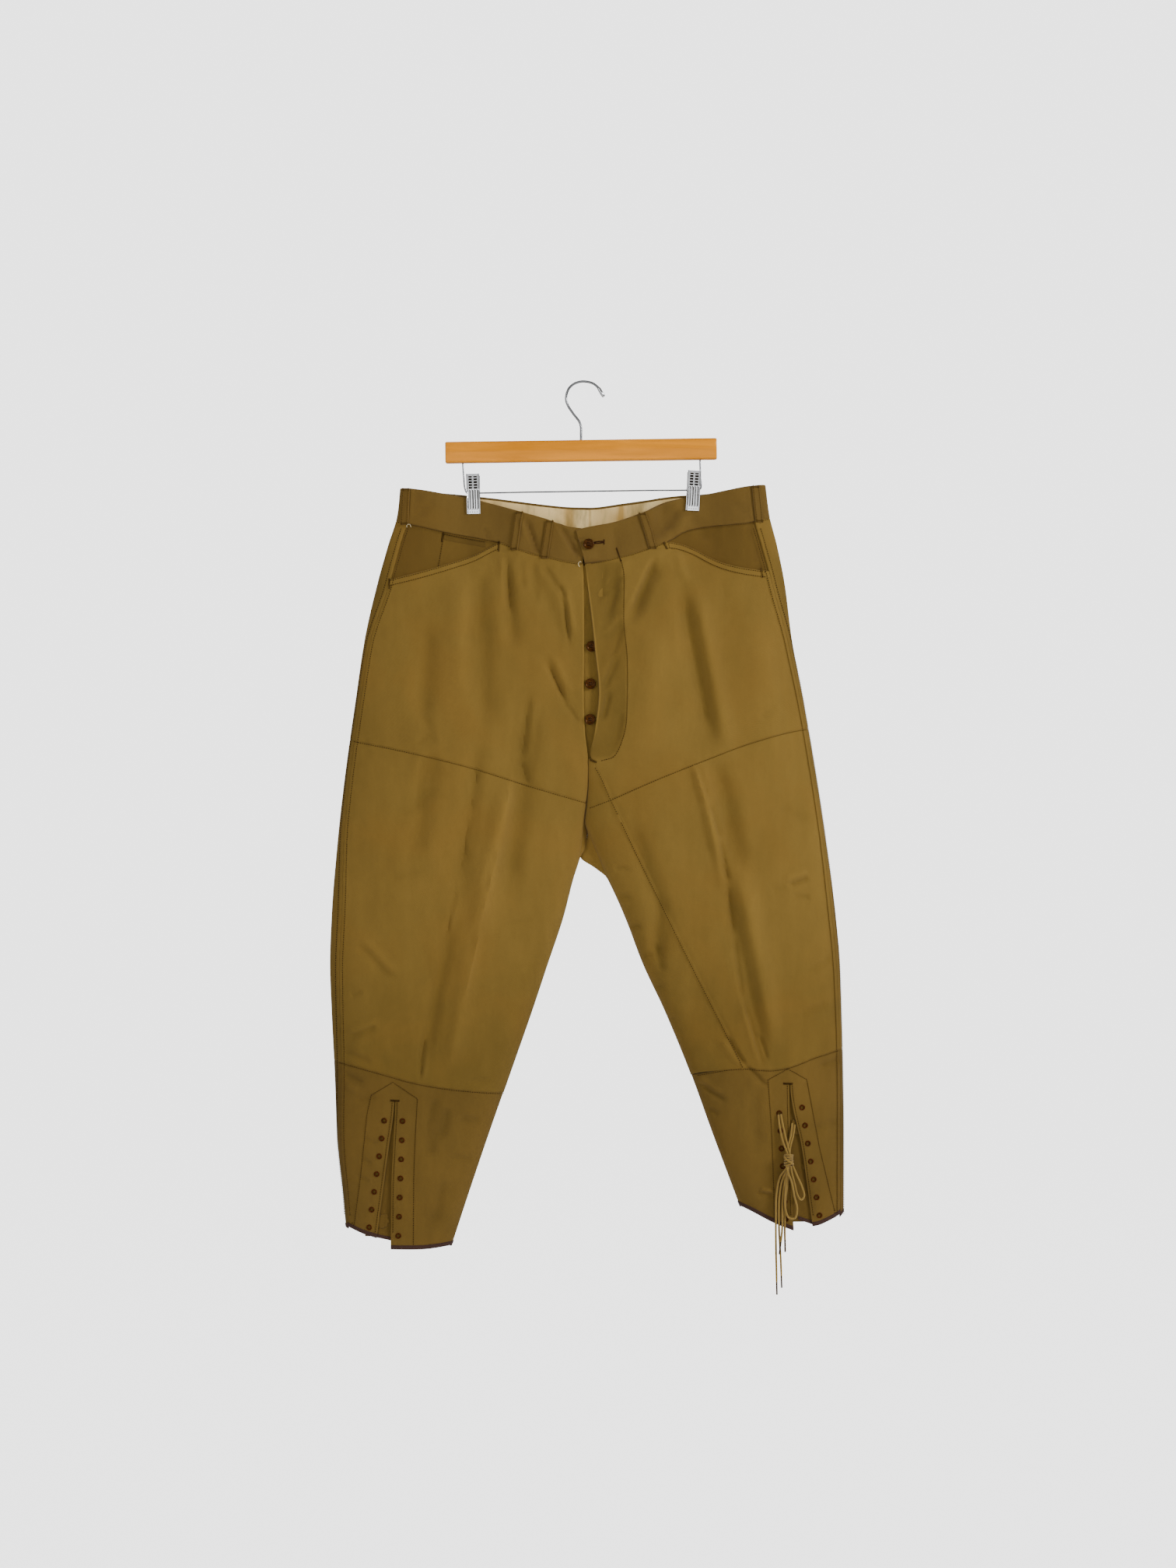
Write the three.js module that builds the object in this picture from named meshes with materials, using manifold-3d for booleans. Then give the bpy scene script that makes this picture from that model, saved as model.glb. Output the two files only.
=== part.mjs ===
// Lace-up work breeches, hung by the waistband from a wooden hanger with two spring clips.
// Millimetres, +Z up. The origin is the underside of the hook's crown, where a nail or a rail bears.
// The breeches face -Y, and the wearer's right is at -X. A "drop" is a distance below the origin.
import * as THREE from "three";
import { mergeVertices } from "three/addons/utils/BufferGeometryUtils.js";
import Module from "manifold-3d";

const wasm = await Module();
wasm.setup();

// ---------------------------------------------------------------- driving dimensions
const CLOTH = 1.5; // wall of one panel, seam allowances and all
const SEAM_GAP = 0.4; // between two pieces that meet
const WAISTBAND_WALL = 2.2; // two layers and an interlining
const LOOP = { width: 10, wall: 1.2, overhang: 2.5, below: 0.6, lift: 0.9 };
const POCKET_HEM = { share: 0.74, wall: 1.0 };
const BINDING = { height: 5, wall: 1.2 };
const BUTTON = { radius: 6.9, thickness: 3, rim: 1.1, holes: 4, holeRadius: 0.9, holeCircle: 2, stand: 0.9 };
const EYELET = { rimRadius: 3.8, holeRadius: 2.2, rimHeight: 0.9, sides: 6, perRow: 7, tolerance: 0.08 };
const LACE = { diameter: 2.4, sides: 8 };
const KNOT = { x: 263.3, drop: 998, bore: 3.6, wraps: 5, standOff: 8.2 };
const BAR = {
  length: 350, height: 27, thickness: 14, topDrop: 74.5, centreX: -2, tiltDegrees: 0.82,
  corner: 3, bevel: 1.5,
};
const HOOK = { wire: 3.2, sleeveExtra: 1.6, intoBar: 0.3 };
const ROD = {
  wire: 2,
  right: { drop: 142.5, atBar: -154.8, upright: -152, corner: -149.5 },
  left: { drop: 138, atBar: 151.5, upright: 153, corner: 151 },
  bend: 4, // height at which an upright turns into its corner
};
const CLIP = {
  width: 17, plate: 1.2, height: 51, jawShare: 0.54, flare: 6, springRadius: 3.4, springWall: 0.5, sleeve: 10,
  nip: 6, pivot: 4, // heights from the rod of the two bends of a jaw
  cheek: { wall: 1, foot: -8, middle: 3, inset: 1.1, top: 2 },
  slot: { rows: 4, columns: [0.3, 0.7], pitch: 3.8, first: 8, width: 3.8, height: 1.7, through: 14 },
  leanDegrees: { right: 1.5, left: -3 },
};
const COLUMNS = {
  right: { outerFlap: 5, innerFlap: 9 }, left: { outerFlap: 8, innerFlap: 5 },
  back: 9, innerLeg: 3, waistBack: 24,
};
const ROWS = { calf: 6, waistband: 2 };
const UPPER_ROWS = [0, 0.045, 0.11, 0.2, 0.33, 0.47, 0.61, 0.75, 0.868, 1];
const THIGH_ROWS = [0, 0.03, 0.14, 0.25, 0.38, 0.5, 0.63, 0.75, 0.88, 1];

const OVERLAP = { full: 10, end: 40 };
const LINING = { skip: 4, top: 0.12, wall: 0.8 };
const STAND = { top: 238, bottom: 470, reach: 26, gap: 0.7, sink: 2.5 };
const POCKET = {
  gap: 0.4, belowSeam: 0.5, edge: 0.006,
  facing: { right: 8, left: 7 }, hem: { right: 7, left: 6 }, // last column of each
};
const WELT = { columns: [4, 5, 6], top: 0.05, bottom: 0.3, wall: 0.5 };
const TONGUE = {
  gap: 0.6,
  right: { outer: -16, inner: 9, endDrop: 1099 },
  left: { outer: 12, inner: -10, endDrop: 1080 },
};
const BACK_START = 1.0001; // the turn at which the back begins

const KHAKI = 0x86682f;
const KHAKI_DARK = 0x76592a;
const CREAM = 0xc6b088;
const BINDING_BROWN = 0x3a241c;
const BUTTON_BROWN = 0x52301c;
const LACE_OCHRE = 0x8a6c2c;
const BEECH = 0xd59f5e;
const STEEL = 0xc8cacd;

// ---------------------------------------------------------------- tables of the cut
// The two side folds of the hanging garment.
const SIDE_FOLDS = [
  { drop: 131, right: -235, left: 236 },
  { drop: 170, right: -239, left: 241 },
  { drop: 210, right: -251, left: 251 },
  { drop: 260, right: -265, left: 261 },
  { drop: 330, right: -281, left: 270 },
  { drop: 410, right: -293, left: 285 },
  { drop: 510, right: -307, left: 302 },
  { drop: 590, right: -316, left: 314 },
  { drop: 690, right: -324, left: 327 },
  { drop: 750, right: -326, left: 332 },
  { drop: 810, right: -324, left: 334 },
  { drop: 890, right: -320, left: 336 },
  { drop: 970, right: -317, left: 337 },
  { drop: 1050, right: -309, left: 337 },
  { drop: 1120, right: -303, left: 336 },
];
// The inner edge of each front: centre front or fly edge down to the crotch, then the leg's inner fold.
const FRONT_INNER = [
  { drop: 190, right: 1, left: -9 },
  { drop: 236, right: 0.5, left: 3 },
  { drop: 262, right: 1.5, left: 6.5 },
  { drop: 311, right: 2, left: 12.8 },
  { drop: 353, right: 2, left: 17.2 },
  { drop: 400, right: 1.6, left: 21.5 },
  { drop: 450, right: 3, left: 16 },
  { drop: 478, right: 6.4, left: 10.2 },
  { drop: 515, right: 7.2, left: 8.2 },
  { drop: 545, right: 4.8, left: 5.7 },
  { drop: 566, right: 2.4, left: 3.6 },
  { drop: 590, right: 0, left: 11 },
  { drop: 612, right: -3.5, left: 20 },
  { drop: 640, right: -12, left: 32 },
  { drop: 690, right: -25, left: 55 },
  { drop: 750, right: -45, left: 78 },
  { drop: 810, right: -65, left: 106 },
  { drop: 890, right: -93, left: 139 },
  { drop: 970, right: -121, left: 168 },
  { drop: 1050, right: -148, left: 198 },
  { drop: 1120, right: -171, left: 224 },
];
// The inner edge of each back: centre back down to the fork, then the same inner fold.
const BACK_INNER = [
  { drop: 131, right: 9, left: 9 },
  { drop: 551, right: 8, left: 8 },
  { drop: 600, right: 3.2, left: 4.8 },
  { drop: 612, right: -4.4, left: -2.4 },
  { drop: 626, right: -7.5, left: 15 },
  { drop: 640, right: -12, left: 32 },
  { drop: 690, right: -25, left: 55 },
  { drop: 750, right: -45, left: 78 },
  { drop: 810, right: -65, left: 106 },
  { drop: 890, right: -93, left: 139 },
  { drop: 970, right: -121, left: 168 },
  { drop: 1050, right: -148, left: 198 },
  { drop: 1120, right: -171, left: 224 },
];
// How far the outseam lies inside the side fold, on the front.
const OUTSEAM_INSET = [
  { drop: 131, right: 13, left: 21 },
  { drop: 186, right: 15, left: 21 },
  { drop: 260, right: 16, left: 17 },
  { drop: 342, right: 8, left: 6 },
  { drop: 462, right: 7, left: 4 },
  { drop: 567, right: 8, left: 4 },
  { drop: 686, right: 14, left: 6 },
  { drop: 840, right: 11, left: 4 },
  { drop: 1022, right: 4, left: 5 },
  { drop: 1120, right: 3, left: 5 },
];
// Half depth of the hanging garment, front and back, and how square its oval is.
const DEPTHS = [
  { drop: 131, front: 12, back: 10, squareness: 6 },
  { drop: 180, front: 14, back: 11, squareness: 5 },
  { drop: 260, front: 24, back: 17, squareness: 3 },
  { drop: 410, front: 34, back: 23, squareness: 2.6 },
  { drop: 560, front: 34, back: 24, squareness: 2.4 },
  { drop: 690, front: 31, back: 23, squareness: 2.2 },
  { drop: 850, front: 27, back: 20, squareness: 2.2 },
  { drop: 1000, front: 23, back: 17, squareness: 2.2 },
  { drop: 1120, front: 20, back: 15, squareness: 2.2 },
];
const CLIP_X = { right: -141, left: 143 };
const PINCH = { flat: 14, reach: 66, full: 168, end: 290, depth: 0.7 };

// Seams and edges that run across, each as a drop at x.
const WAIST_TOP_FRONT_RIGHT = [
  { x: -260, drop: 136 }, { x: -235, drop: 136.5 }, { x: -185, drop: 143 }, { x: -141, drop: 151 },
  { x: -85, drop: 166.5 }, { x: -48, drop: 177 }, { x: -19, drop: 187 }, { x: 24, drop: 192 },
];
const WAIST_TOP_FRONT_LEFT = [
  { x: -14, drop: 195 }, { x: -6, drop: 191.5 }, { x: 44, drop: 180.5 }, { x: 72, drop: 171 },
  { x: 131, drop: 149 }, { x: 154, drop: 145.5 }, { x: 236, drop: 132 }, { x: 260, drop: 131 },
];
const WAIST_TOP_BACK = [
  { x: -260, drop: 136 }, { x: -235, drop: 136.5 }, { x: -185, drop: 142.5 }, { x: -90, drop: 152.5 },
  { x: -13, drop: 160.5 }, { x: 8, drop: 161 }, { x: 58, drop: 155 }, { x: 121, drop: 147 },
  { x: 154, drop: 145 }, { x: 236, drop: 132 }, { x: 260, drop: 131 },
];
const WAIST_SEAM_FRONT = [
  { x: -260, drop: 176 }, { x: -241, drop: 179 }, { x: -223, drop: 183 }, { x: -179, drop: 193 },
  { x: -107, drop: 207 }, { x: -88, drop: 215 }, { x: -45, drop: 227 }, { x: 0, drop: 235 },
  { x: 55, drop: 225 }, { x: 86, drop: 215 }, { x: 109, drop: 206 }, { x: 136, drop: 191 },
  { x: 153, drop: 187 }, { x: 208, drop: 182 }, { x: 243, drop: 175 }, { x: 260, drop: 172 },
];
const WAIST_SEAM_BACK = [
  { x: -260, drop: 176 }, { x: -241, drop: 179 }, { x: -150, drop: 190 }, { x: 8, drop: 205 },
  { x: 150, drop: 190 }, { x: 243, drop: 175 }, { x: 260, drop: 172 },
];
const SCOOP_RIGHT = [
  { x: -260, drop: 258 }, { x: -246, drop: 254.5 }, { x: -206, drop: 245 }, { x: -169, drop: 234 },
  { x: -140, drop: 224 }, { x: -117, drop: 212 }, { x: -105, drop: 206.5 },
];
const SCOOP_LEFT = [
  { x: 108, drop: 206 }, { x: 124, drop: 208.5 }, { x: 142, drop: 215 }, { x: 161, drop: 225.5 },
  { x: 181, drop: 234 }, { x: 205, drop: 240 }, { x: 227, drop: 243 }, { x: 260, drop: 246 },
];
const THIGH_SEAM_RIGHT = [
  { x: -305, drop: 460 }, { x: -217, drop: 478 }, { x: -141, drop: 497 }, { x: -71, drop: 519 },
  { x: 10, drop: 543 },
];
const THIGH_SEAM_LEFT = [
  { x: -5, drop: 553 }, { x: 37, drop: 537 }, { x: 87, drop: 515 }, { x: 150, drop: 489.5 },
  { x: 214, drop: 465.5 }, { x: 265, drop: 451 }, { x: 291, drop: 446 },
];
const CALF_SEAM_RIGHT = [
  { x: -325, drop: 873 }, { x: -310, drop: 876 }, { x: -252, drop: 890.5 }, { x: -213, drop: 901 },
  { x: -170, drop: 908.5 }, { x: -100, drop: 916 },
];
const CALF_SEAM_LEFT = [
  { x: 140, drop: 893 }, { x: 205, drop: 882 }, { x: 240, drop: 884 }, { x: 262, drop: 881 },
  { x: 299, drop: 868 }, { x: 336, drop: 858 },
];
// The front edge of the inside-leg panel: it shows on the wearer's left leg, and on the back of the right.
const INNER_PANEL_LEFT = [
  { drop: 488, x: 8.6 }, { drop: 496, x: 17 }, { drop: 537, x: 37 }, { drop: 601, x: 67 },
  { drop: 664, x: 98 }, { drop: 773, x: 152 }, { drop: 826, x: 179 }, { drop: 890, x: 211 },
];
const INNER_PANEL_WIDTH_RIGHT = [
  { drop: 543, width: 0 }, { drop: 601, width: 48 }, { drop: 664, width: 58 },
  { drop: 773, width: 66 }, { drop: 916, width: 72 },
];
// The laced slit of each leg: its two edges, and the hem on each side of it.
const SLIT = {
  right: { topDrop: 924, edges: [
    { drop: 870, outer: -241.2, inner: -240 }, { drop: 924, outer: -241.2, inner: -240 },
    { drop: 984, outer: -248.5, inner: -242.6 }, { drop: 1032, outer: -255, inner: -245 },
    { drop: 1120, outer: -267, inner: -246 },
  ] },
  left: { topDrop: 902, edges: [
    { drop: 850, outer: 266, inner: 264.8 }, { drop: 902, outer: 266, inner: 264.8 },
    { drop: 984, outer: 281, inner: 266.6 }, { drop: 1040, outer: 289, inner: 268.6 },
    { drop: 1120, outer: 300, inner: 272 },
  ] },
};
const HEM = {
  right: {
    outer: [
      { x: -320, drop: 1082 }, { x: -306, drop: 1086 }, { x: -280, drop: 1096 }, { x: -240, drop: 1106 },
    ],
    inner: [
      { x: -260, drop: 1114 }, { x: -246, drop: 1114.5 }, { x: -210, drop: 1115 }, { x: -160, drop: 1111 },
    ],
  },
  left: {
    outer: [{ x: 270, drop: 1082 }, { x: 295, drop: 1085 }, { x: 320, drop: 1077 }, { x: 340, drop: 1065 }],
    inner: [{ x: 200, drop: 1060 }, { x: 215, drop: 1066 }, { x: 246, drop: 1081 }, { x: 280, drop: 1094 }],
  },
};
// First and last eyelet of each row, from top to hem.
const EYELET_ROWS = {
  right: [
    { name: "outer", x: -254.2, drop: 949.4, endX: -273.9, endDrop: 1087.1 },
    { name: "inner", x: -230.5, drop: 949.6, endX: -236.1, endDrop: 1097.2 },
  ],
  left: [
    { name: "outer", x: 281.4, drop: 932.4, endX: 304.1, endDrop: 1071.5 },
    { name: "inner", x: 251.9, drop: 939.4, endX: 260.6, endDrop: 1076 },
  ],
};
// The large folds: a ridge stands out by height, a trough has a negative one.
const FOLDS_FRONT = [
  { x: 124, drop: 250, endX: 168, endDrop: 479, width: 12, height: -6 },
  { x: 143, drop: 250, endX: 190, endDrop: 500, width: 13, height: 5 },
  { x: 168, drop: 479, endX: 204, endDrop: 640, width: 13, height: -5 },
  { x: 142, drop: 470, endX: 181, endDrop: 630, width: 9, height: 4 },
  { x: 181, drop: 620, endX: 236, endDrop: 880, width: 10, height: -4 },
  { x: 196, drop: 600, endX: 250, endDrop: 870, width: 14, height: 4 },
  { x: 100, drop: 225, endX: 54, endDrop: 320, width: 11, height: -5 },
  { x: 96, drop: 300, endX: 84, endDrop: 500, width: 22, height: 4 },
  { x: 100, drop: 655, endX: 96, endDrop: 750, width: 10, height: -4 },
  { x: 60, drop: 560, endX: 104, endDrop: 690, width: 11, height: -3 },
  { x: 226, drop: 300, endX: 252, endDrop: 560, width: 20, height: 3 },
  { x: -129, drop: 440, endX: -164, endDrop: 690, width: 12, height: -4 },
  { x: -164, drop: 680, endX: -210, endDrop: 898, width: 9, height: -4 },
  { x: -86, drop: 490, endX: -141, endDrop: 730, width: 13, height: 6 },
  { x: -141, drop: 710, endX: -168, endDrop: 890, width: 12, height: 4 },
  { x: -66, drop: 400, endX: -99, endDrop: 680, width: 15, height: -5 },
  { x: -191, drop: 470, endX: -217, endDrop: 620, width: 13, height: -4 },
  { x: -199, drop: 300, endX: -206, endDrop: 450, width: 14, height: -4 },
  { x: -131, drop: 222, endX: -125, endDrop: 470, width: 15, height: -4 },
  { x: -152, drop: 235, endX: -160, endDrop: 430, width: 18, height: 4 },
  { x: -98, drop: 235, endX: -88, endDrop: 350, width: 9, height: -4 },
  { x: -62, drop: 240, endX: -20, endDrop: 345, width: 9, height: -4 },
  { x: -50, drop: 345, endX: -22, endDrop: 425, width: 8, height: -3 },
  { x: 108, drop: 150, endX: 94, endDrop: 206, width: 10, height: -4 },
];
const FOLDS_BACK = [
  { x: 150, drop: 420, endX: 232, endDrop: 870, width: 15, height: 5 },
  { x: 124, drop: 440, endX: 196, endDrop: 800, width: 14, height: -4 },
  { x: -140, drop: 430, endX: -212, endDrop: 880, width: 15, height: 5 },
  { x: -112, drop: 430, endX: -180, endDrop: 820, width: 14, height: -4 },
  { x: 60, drop: 210, endX: 96, endDrop: 460, width: 18, height: -4 },
  { x: -52, drop: 210, endX: -84, endDrop: 470, width: 18, height: -4 },
  { x: 176, drop: 215, endX: 190, endDrop: 420, width: 16, height: 4 },
  { x: -168, drop: 215, endX: -186, endDrop: 400, width: 16, height: 4 },
  { x: 20, drop: 330, endX: 120, endDrop: 560, width: 14, height: -4 },
  { x: -16, drop: 340, endX: -110, endDrop: 570, width: 14, height: -4 },
];
const BELT_LOOPS = [
  { name: "right_side", face: "front", x: -227, endX: -229 },
  { name: "right_front", face: "front", x: -81, endX: -88 },
  { name: "right_fly", face: "front", x: -42, endX: -49 },
  { name: "left_front", face: "front", x: 76.5, endX: 90 },
  { name: "left_side", face: "front", x: 222.5, endX: 227.5 },
  { name: "back_right", face: "back", x: -108, endX: -110 },
  { name: "back_centre", face: "back", x: 9, endX: 9 },
  { name: "back_left", face: "back", x: 124, endX: 126 },
];
const FLY_BUTTONS = [
  { name: "fly_button_upper", x: 11.5, drop: 342 },
  { name: "fly_button_middle", x: 10, drop: 390 },
  { name: "fly_button_lower", x: 9.6, drop: 435.6 },
];
const WAIST_BUTTON = { x: 7.8, drop: 210.4 };

// The hook's wire from its tip over the crown and down to the bar, and the sleeve on its tip.
const HOOK_PATH = [
  { x: 25.8, z: -15.5 }, { x: 22, z: -8.5 }, { x: 13.5, z: -1 }, { x: 0, z: 1.6 }, { x: -10.5, z: -1.2 },
  { x: -18, z: -8 }, { x: -21.3, z: -19.4 }, { x: -19.6, z: -28 }, { x: -12, z: -40 }, { x: -4.4, z: -50 },
  { x: -2.3, z: -56 }, { x: -2, z: -66 }, { x: -2, z: -BAR.topDrop + HOOK.intoBar },
];
const HOOK_SLEEVE = [{ x: 27.2, z: -17.8 }, { x: 20.6, z: -6.4 }];

// Shape of the split: where the torso's oval turns into two legs.
const SPLIT = { frontTop: 430, frontEnd: 600, backTop: 470, backEnd: 618 };
const FOLD_WRAP = 0.02; // share of a turn that the inside-leg panel takes round the inner fold
const CROTCH = { allowance: 0.06, start: 545, full: 580, wrapStart: 558, wrapEnd: 590, panelTop: 494 };
const FLY_LIFT = { top: 240, end: 486, reach: 34, height: 5.5 };

// ---------------------------------------------------------------- curves and the skin
const lerp = (a, b, t) => a + (b - a) * t;
const clamp = (v, low, high) => Math.min(high, Math.max(low, v));
const smoothstep = (low, high, v) => {
  const t = clamp((v - low) / (high - low), 0, 1);
  return t * t * (3 - 2 * t);
};

// A smooth curve through one column of a table, which keeps flat beyond both ends and never overshoots.
function curve(table, key, column) {
  const xs = table.map((row) => row[key]);
  const ys = table.map((row) => row[column]);
  const steps = xs.slice(1).map((x, i) => (ys[i + 1] - ys[i]) / (x - xs[i]));
  const slopes = xs.map((_, i) => {
    if (i === 0) return steps[0];
    if (i === xs.length - 1) return steps[i - 1];
    const product = steps[i - 1] * steps[i];
    return product > 0 ? (2 * product) / (steps[i - 1] + steps[i]) : 0;
  });
  return (value) => {
    if (value <= xs[0]) return ys[0];
    if (value >= xs[xs.length - 1]) return ys[ys.length - 1];
    const i = xs.findIndex((x) => x > value) - 1;
    const width = xs[i + 1] - xs[i];
    const t = (value - xs[i]) / width;
    const rise = (1 - t) * (1 - t) * (ys[i] + t * (2 * ys[i] + width * slopes[i]));
    return rise + t * t * (ys[i + 1] + (1 - t) * (2 * ys[i + 1] - width * slopes[i + 1]));
  };
}

const sideCurves = (name) => ({
  name,
  outer: curve(SIDE_FOLDS, "drop", name),
  frontInner: curve(FRONT_INNER, "drop", name),
  backInner: curve(BACK_INNER, "drop", name),
  outseamInset: curve(OUTSEAM_INSET, "drop", name),
});
const RIGHT = sideCurves("right");
const LEFT = sideCurves("left");
const frontDepth = curve(DEPTHS, "drop", "front");
const backDepth = curve(DEPTHS, "drop", "back");
const squareness = curve(DEPTHS, "drop", "squareness");
const along = (table) => curve(table, "x", "drop");

// How far the folds lift the cloth at x and drop.
function foldHeight(folds, x, drop) {
  let height = 0;
  for (const fold of folds) {
    const length = fold.endDrop - fold.drop;
    const t = (drop - fold.drop) / length;
    if (t <= 0 || t >= 1) continue;
    const lean = Math.cos(Math.atan2(fold.endX - fold.x, length));
    const away = ((x - lerp(fold.x, fold.endX, t)) * lean) / fold.width;
    height += fold.height * Math.exp(-away * away) * smoothstep(0, 0.25, t) * smoothstep(0, 0.25, 1 - t);
  }
  return height;
}

// The clips press front and back together at the waist.
function clipPinch(x, drop) {
  const near = (centre) => 1 - smoothstep(PINCH.flat, PINCH.reach, Math.abs(x - centre));
  const share = 1 - smoothstep(PINCH.full, PINCH.end, drop);
  return 1 - PINCH.depth * share * (near(CLIP_X.right) + near(CLIP_X.left));
}

// The loose fly edge stands forward of the button stand.
function flyLift(x, drop) {
  const inside = smoothstep(FLY_LIFT.top, 330, drop) * (1 - smoothstep(440, FLY_LIFT.end, drop));
  const share = clamp(1 - (x - LEFT.frontInner(drop)) / FLY_LIFT.reach, 0, 1);
  return FLY_LIFT.height * inside * share * share;
}

// Half depth of the garment at x: an oval torso that turns into an oval for each leg.
function depthAt(side, x, drop, front, turn) {
  const right = RIGHT.outer(drop);
  const left = LEFT.outer(drop);
  const across = clamp(Math.abs((2 * x - right - left) / (left - right)), 0, 1);
  const torso = Math.sqrt(1 - across ** squareness(drop));
  const leg = Math.abs(Math.sin(Math.PI * turn));
  const split = front
    ? smoothstep(SPLIT.frontTop, SPLIT.frontEnd, drop)
    : smoothstep(SPLIT.backTop, SPLIT.backEnd, drop);
  const share = lerp(torso, leg, split);
  const half = front ? frontDepth(drop) : backDepth(drop);
  const folds = foldHeight(front ? FOLDS_FRONT : FOLDS_BACK, x, drop) * smoothstep(0.1, 0.6, share);
  const lift = front && side === LEFT ? flyLift(x, drop) : 0;
  return half * share * clipPinch(x, drop) + folds + lift;
}

// The share of a half turn at which the front or the back reaches x.
function turnAt(side, x, drop, front) {
  const outer = side.outer(drop);
  const inner = front ? side.frontInner(drop) : side.backInner(drop);
  const turn = Math.acos(1 - 2 * clamp((x - outer) / (inner - outer), 0, 1)) / Math.PI;
  return front ? turn : 2 - turn;
}

// A point on the garment's outer skin. Turn 0 is the side fold, 0 to 1 the front, 1 to 2 the back.
function skin(side, drop, turn) {
  const wrapped = turn > 2 ? turn - 2 : turn < 0 ? turn + 2 : turn;
  const front = wrapped <= 1;
  const outer = side.outer(drop);
  const inner = front ? side.frontInner(drop) : side.backInner(drop);
  const x = lerp(outer, inner, (1 - Math.cos(Math.PI * wrapped)) / 2);
  const depth = depthAt(side, x, drop, front, wrapped);
  return new THREE.Vector3(x, front ? -depth : depth, -drop);
}

// The skin's outward normal; both samples stay on the same side of the centre seam.
function skinNormal(side, drop, turn) {
  const step = 0.004;
  const low = turn > 1 ? Math.max(turn - step, 1.0001) : turn - step;
  const high = turn <= 1 ? Math.min(turn + step, 1) : turn + step;
  const across = skin(side, drop, high).sub(skin(side, drop, low));
  const down = skin(side, drop + 1, turn).sub(skin(side, drop - 1, turn));
  const normal = down.cross(across).normalize();
  return side === LEFT ? normal.negate() : normal;
}

const onSkin = (side, drop, turn, out) =>
  skin(side, drop, turn).addScaledVector(skinNormal(side, drop, turn), out);

// A point over the front or back at x; beyond a front's inner edge the skin runs on flat.
function overX(side, x, drop, front, out) {
  const turn = turnAt(side, x, drop, front);
  const normal = skinNormal(side, drop, clamp(turn, 0.06, 1.94));
  const depth = depthAt(side, x, drop, front, turn);
  return new THREE.Vector3(x, front ? -depth : depth, -drop).addScaledVector(normal, out);
}

// ---------------------------------------------------------------- meshes
const group = new THREE.Group();

function add(name, geometry, color, roughness = 0.9, metalness = 0) {
  const mesh = new THREE.Mesh(geometry, new THREE.MeshStandardMaterial({ color, roughness, metalness }));
  mesh.name = name;
  group.add(mesh);
  return mesh;
}

const signedVolume = (points, faces) =>
  faces.reduce((sum, [a, b, c]) => sum + points[a].dot(points[b].clone().cross(points[c])), 0);

// A closed wall between an outer and an inner grid of points. Cells that keep() turns down are left open.
function wall(outer, inner, keep = () => true) {
  const rows = outer.length;
  const cols = outer[0].length;
  const points = [...outer.flat(), ...inner.flat()];
  const behind = rows * cols;
  const faces = [];
  const quad = (a, b, c, d) => faces.push([a, b, c], [a, c, d]);
  const kept = (r, c) => r >= 0 && c >= 0 && r < rows - 1 && c < cols - 1 && keep(r, c);
  const rim = (a, b) => quad(a, b, b + behind, a + behind);
  for (let r = 0; r < rows - 1; r += 1) {
    for (let c = 0; c < cols - 1; c += 1) {
      if (!kept(r, c)) continue;
      const a = r * cols + c;
      const [b, d, e] = [a + 1, a + cols, a + cols + 1];
      quad(a, d, e, b);
      quad(a + behind, b + behind, e + behind, d + behind);
      if (!kept(r - 1, c)) rim(a, b);
      if (!kept(r + 1, c)) rim(e, d);
      if (!kept(r, c - 1)) rim(d, a);
      if (!kept(r, c + 1)) rim(b, e);
    }
  }
  if (signedVolume(points, faces) < 0) faces.forEach((face) => face.reverse());
  const used = new Map();
  const index = faces.flat().map((i) => {
    if (!used.has(i)) used.set(i, used.size);
    return used.get(i);
  });
  const geometry = new THREE.BufferGeometry();
  const kept3 = [...used.keys()].flatMap((i) => points[i].toArray());
  geometry.setAttribute("position", new THREE.Float32BufferAttribute(kept3, 3));
  geometry.setIndex(index);
  return geometry;
}

// Pulls the first and last column of a grid in along its rows, and so parts it from its neighbours.
function partFromNeighbours(grids, by = SEAM_GAP / 2) {
  const last = grids[0][0].length - 1;
  grids[0].forEach((row, r) => {
    [[0, 1], [last, last - 1]].forEach(([edge, next]) => {
      const shift = row[next].clone().sub(row[edge]).setLength(by);
      grids.forEach((grid) => grid[r][edge].add(shift));
    });
  });
}

const counted = (last) => Array.from({ length: last + 1 }, (_, i) => i);
const steps = (count) => counted(count).map((i) => i / count);

// The outer grids of the panels already made, for what rests on them.
const panels = [];

// Adds a wall between two grids, parted from its neighbours, and records its outer face.
function addWall(name, grids, color) {
  partFromNeighbours(grids);
  panels.push({ name, grid: grids[0] });
  add(name, wall(...grids), color);
}

// A panel of cloth: at(k, v) gives [side, drop, turn] for k across and v down.
function clothPanel({ name, across, down, at, thickness = CLOTH, color = KHAKI }) {
  const grid = (out) => down.map((v) => across.map((k) => onSkin(...at(k, v), out)));
  addWall(name, [grid(0), grid(-thickness)], color);
}

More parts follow.
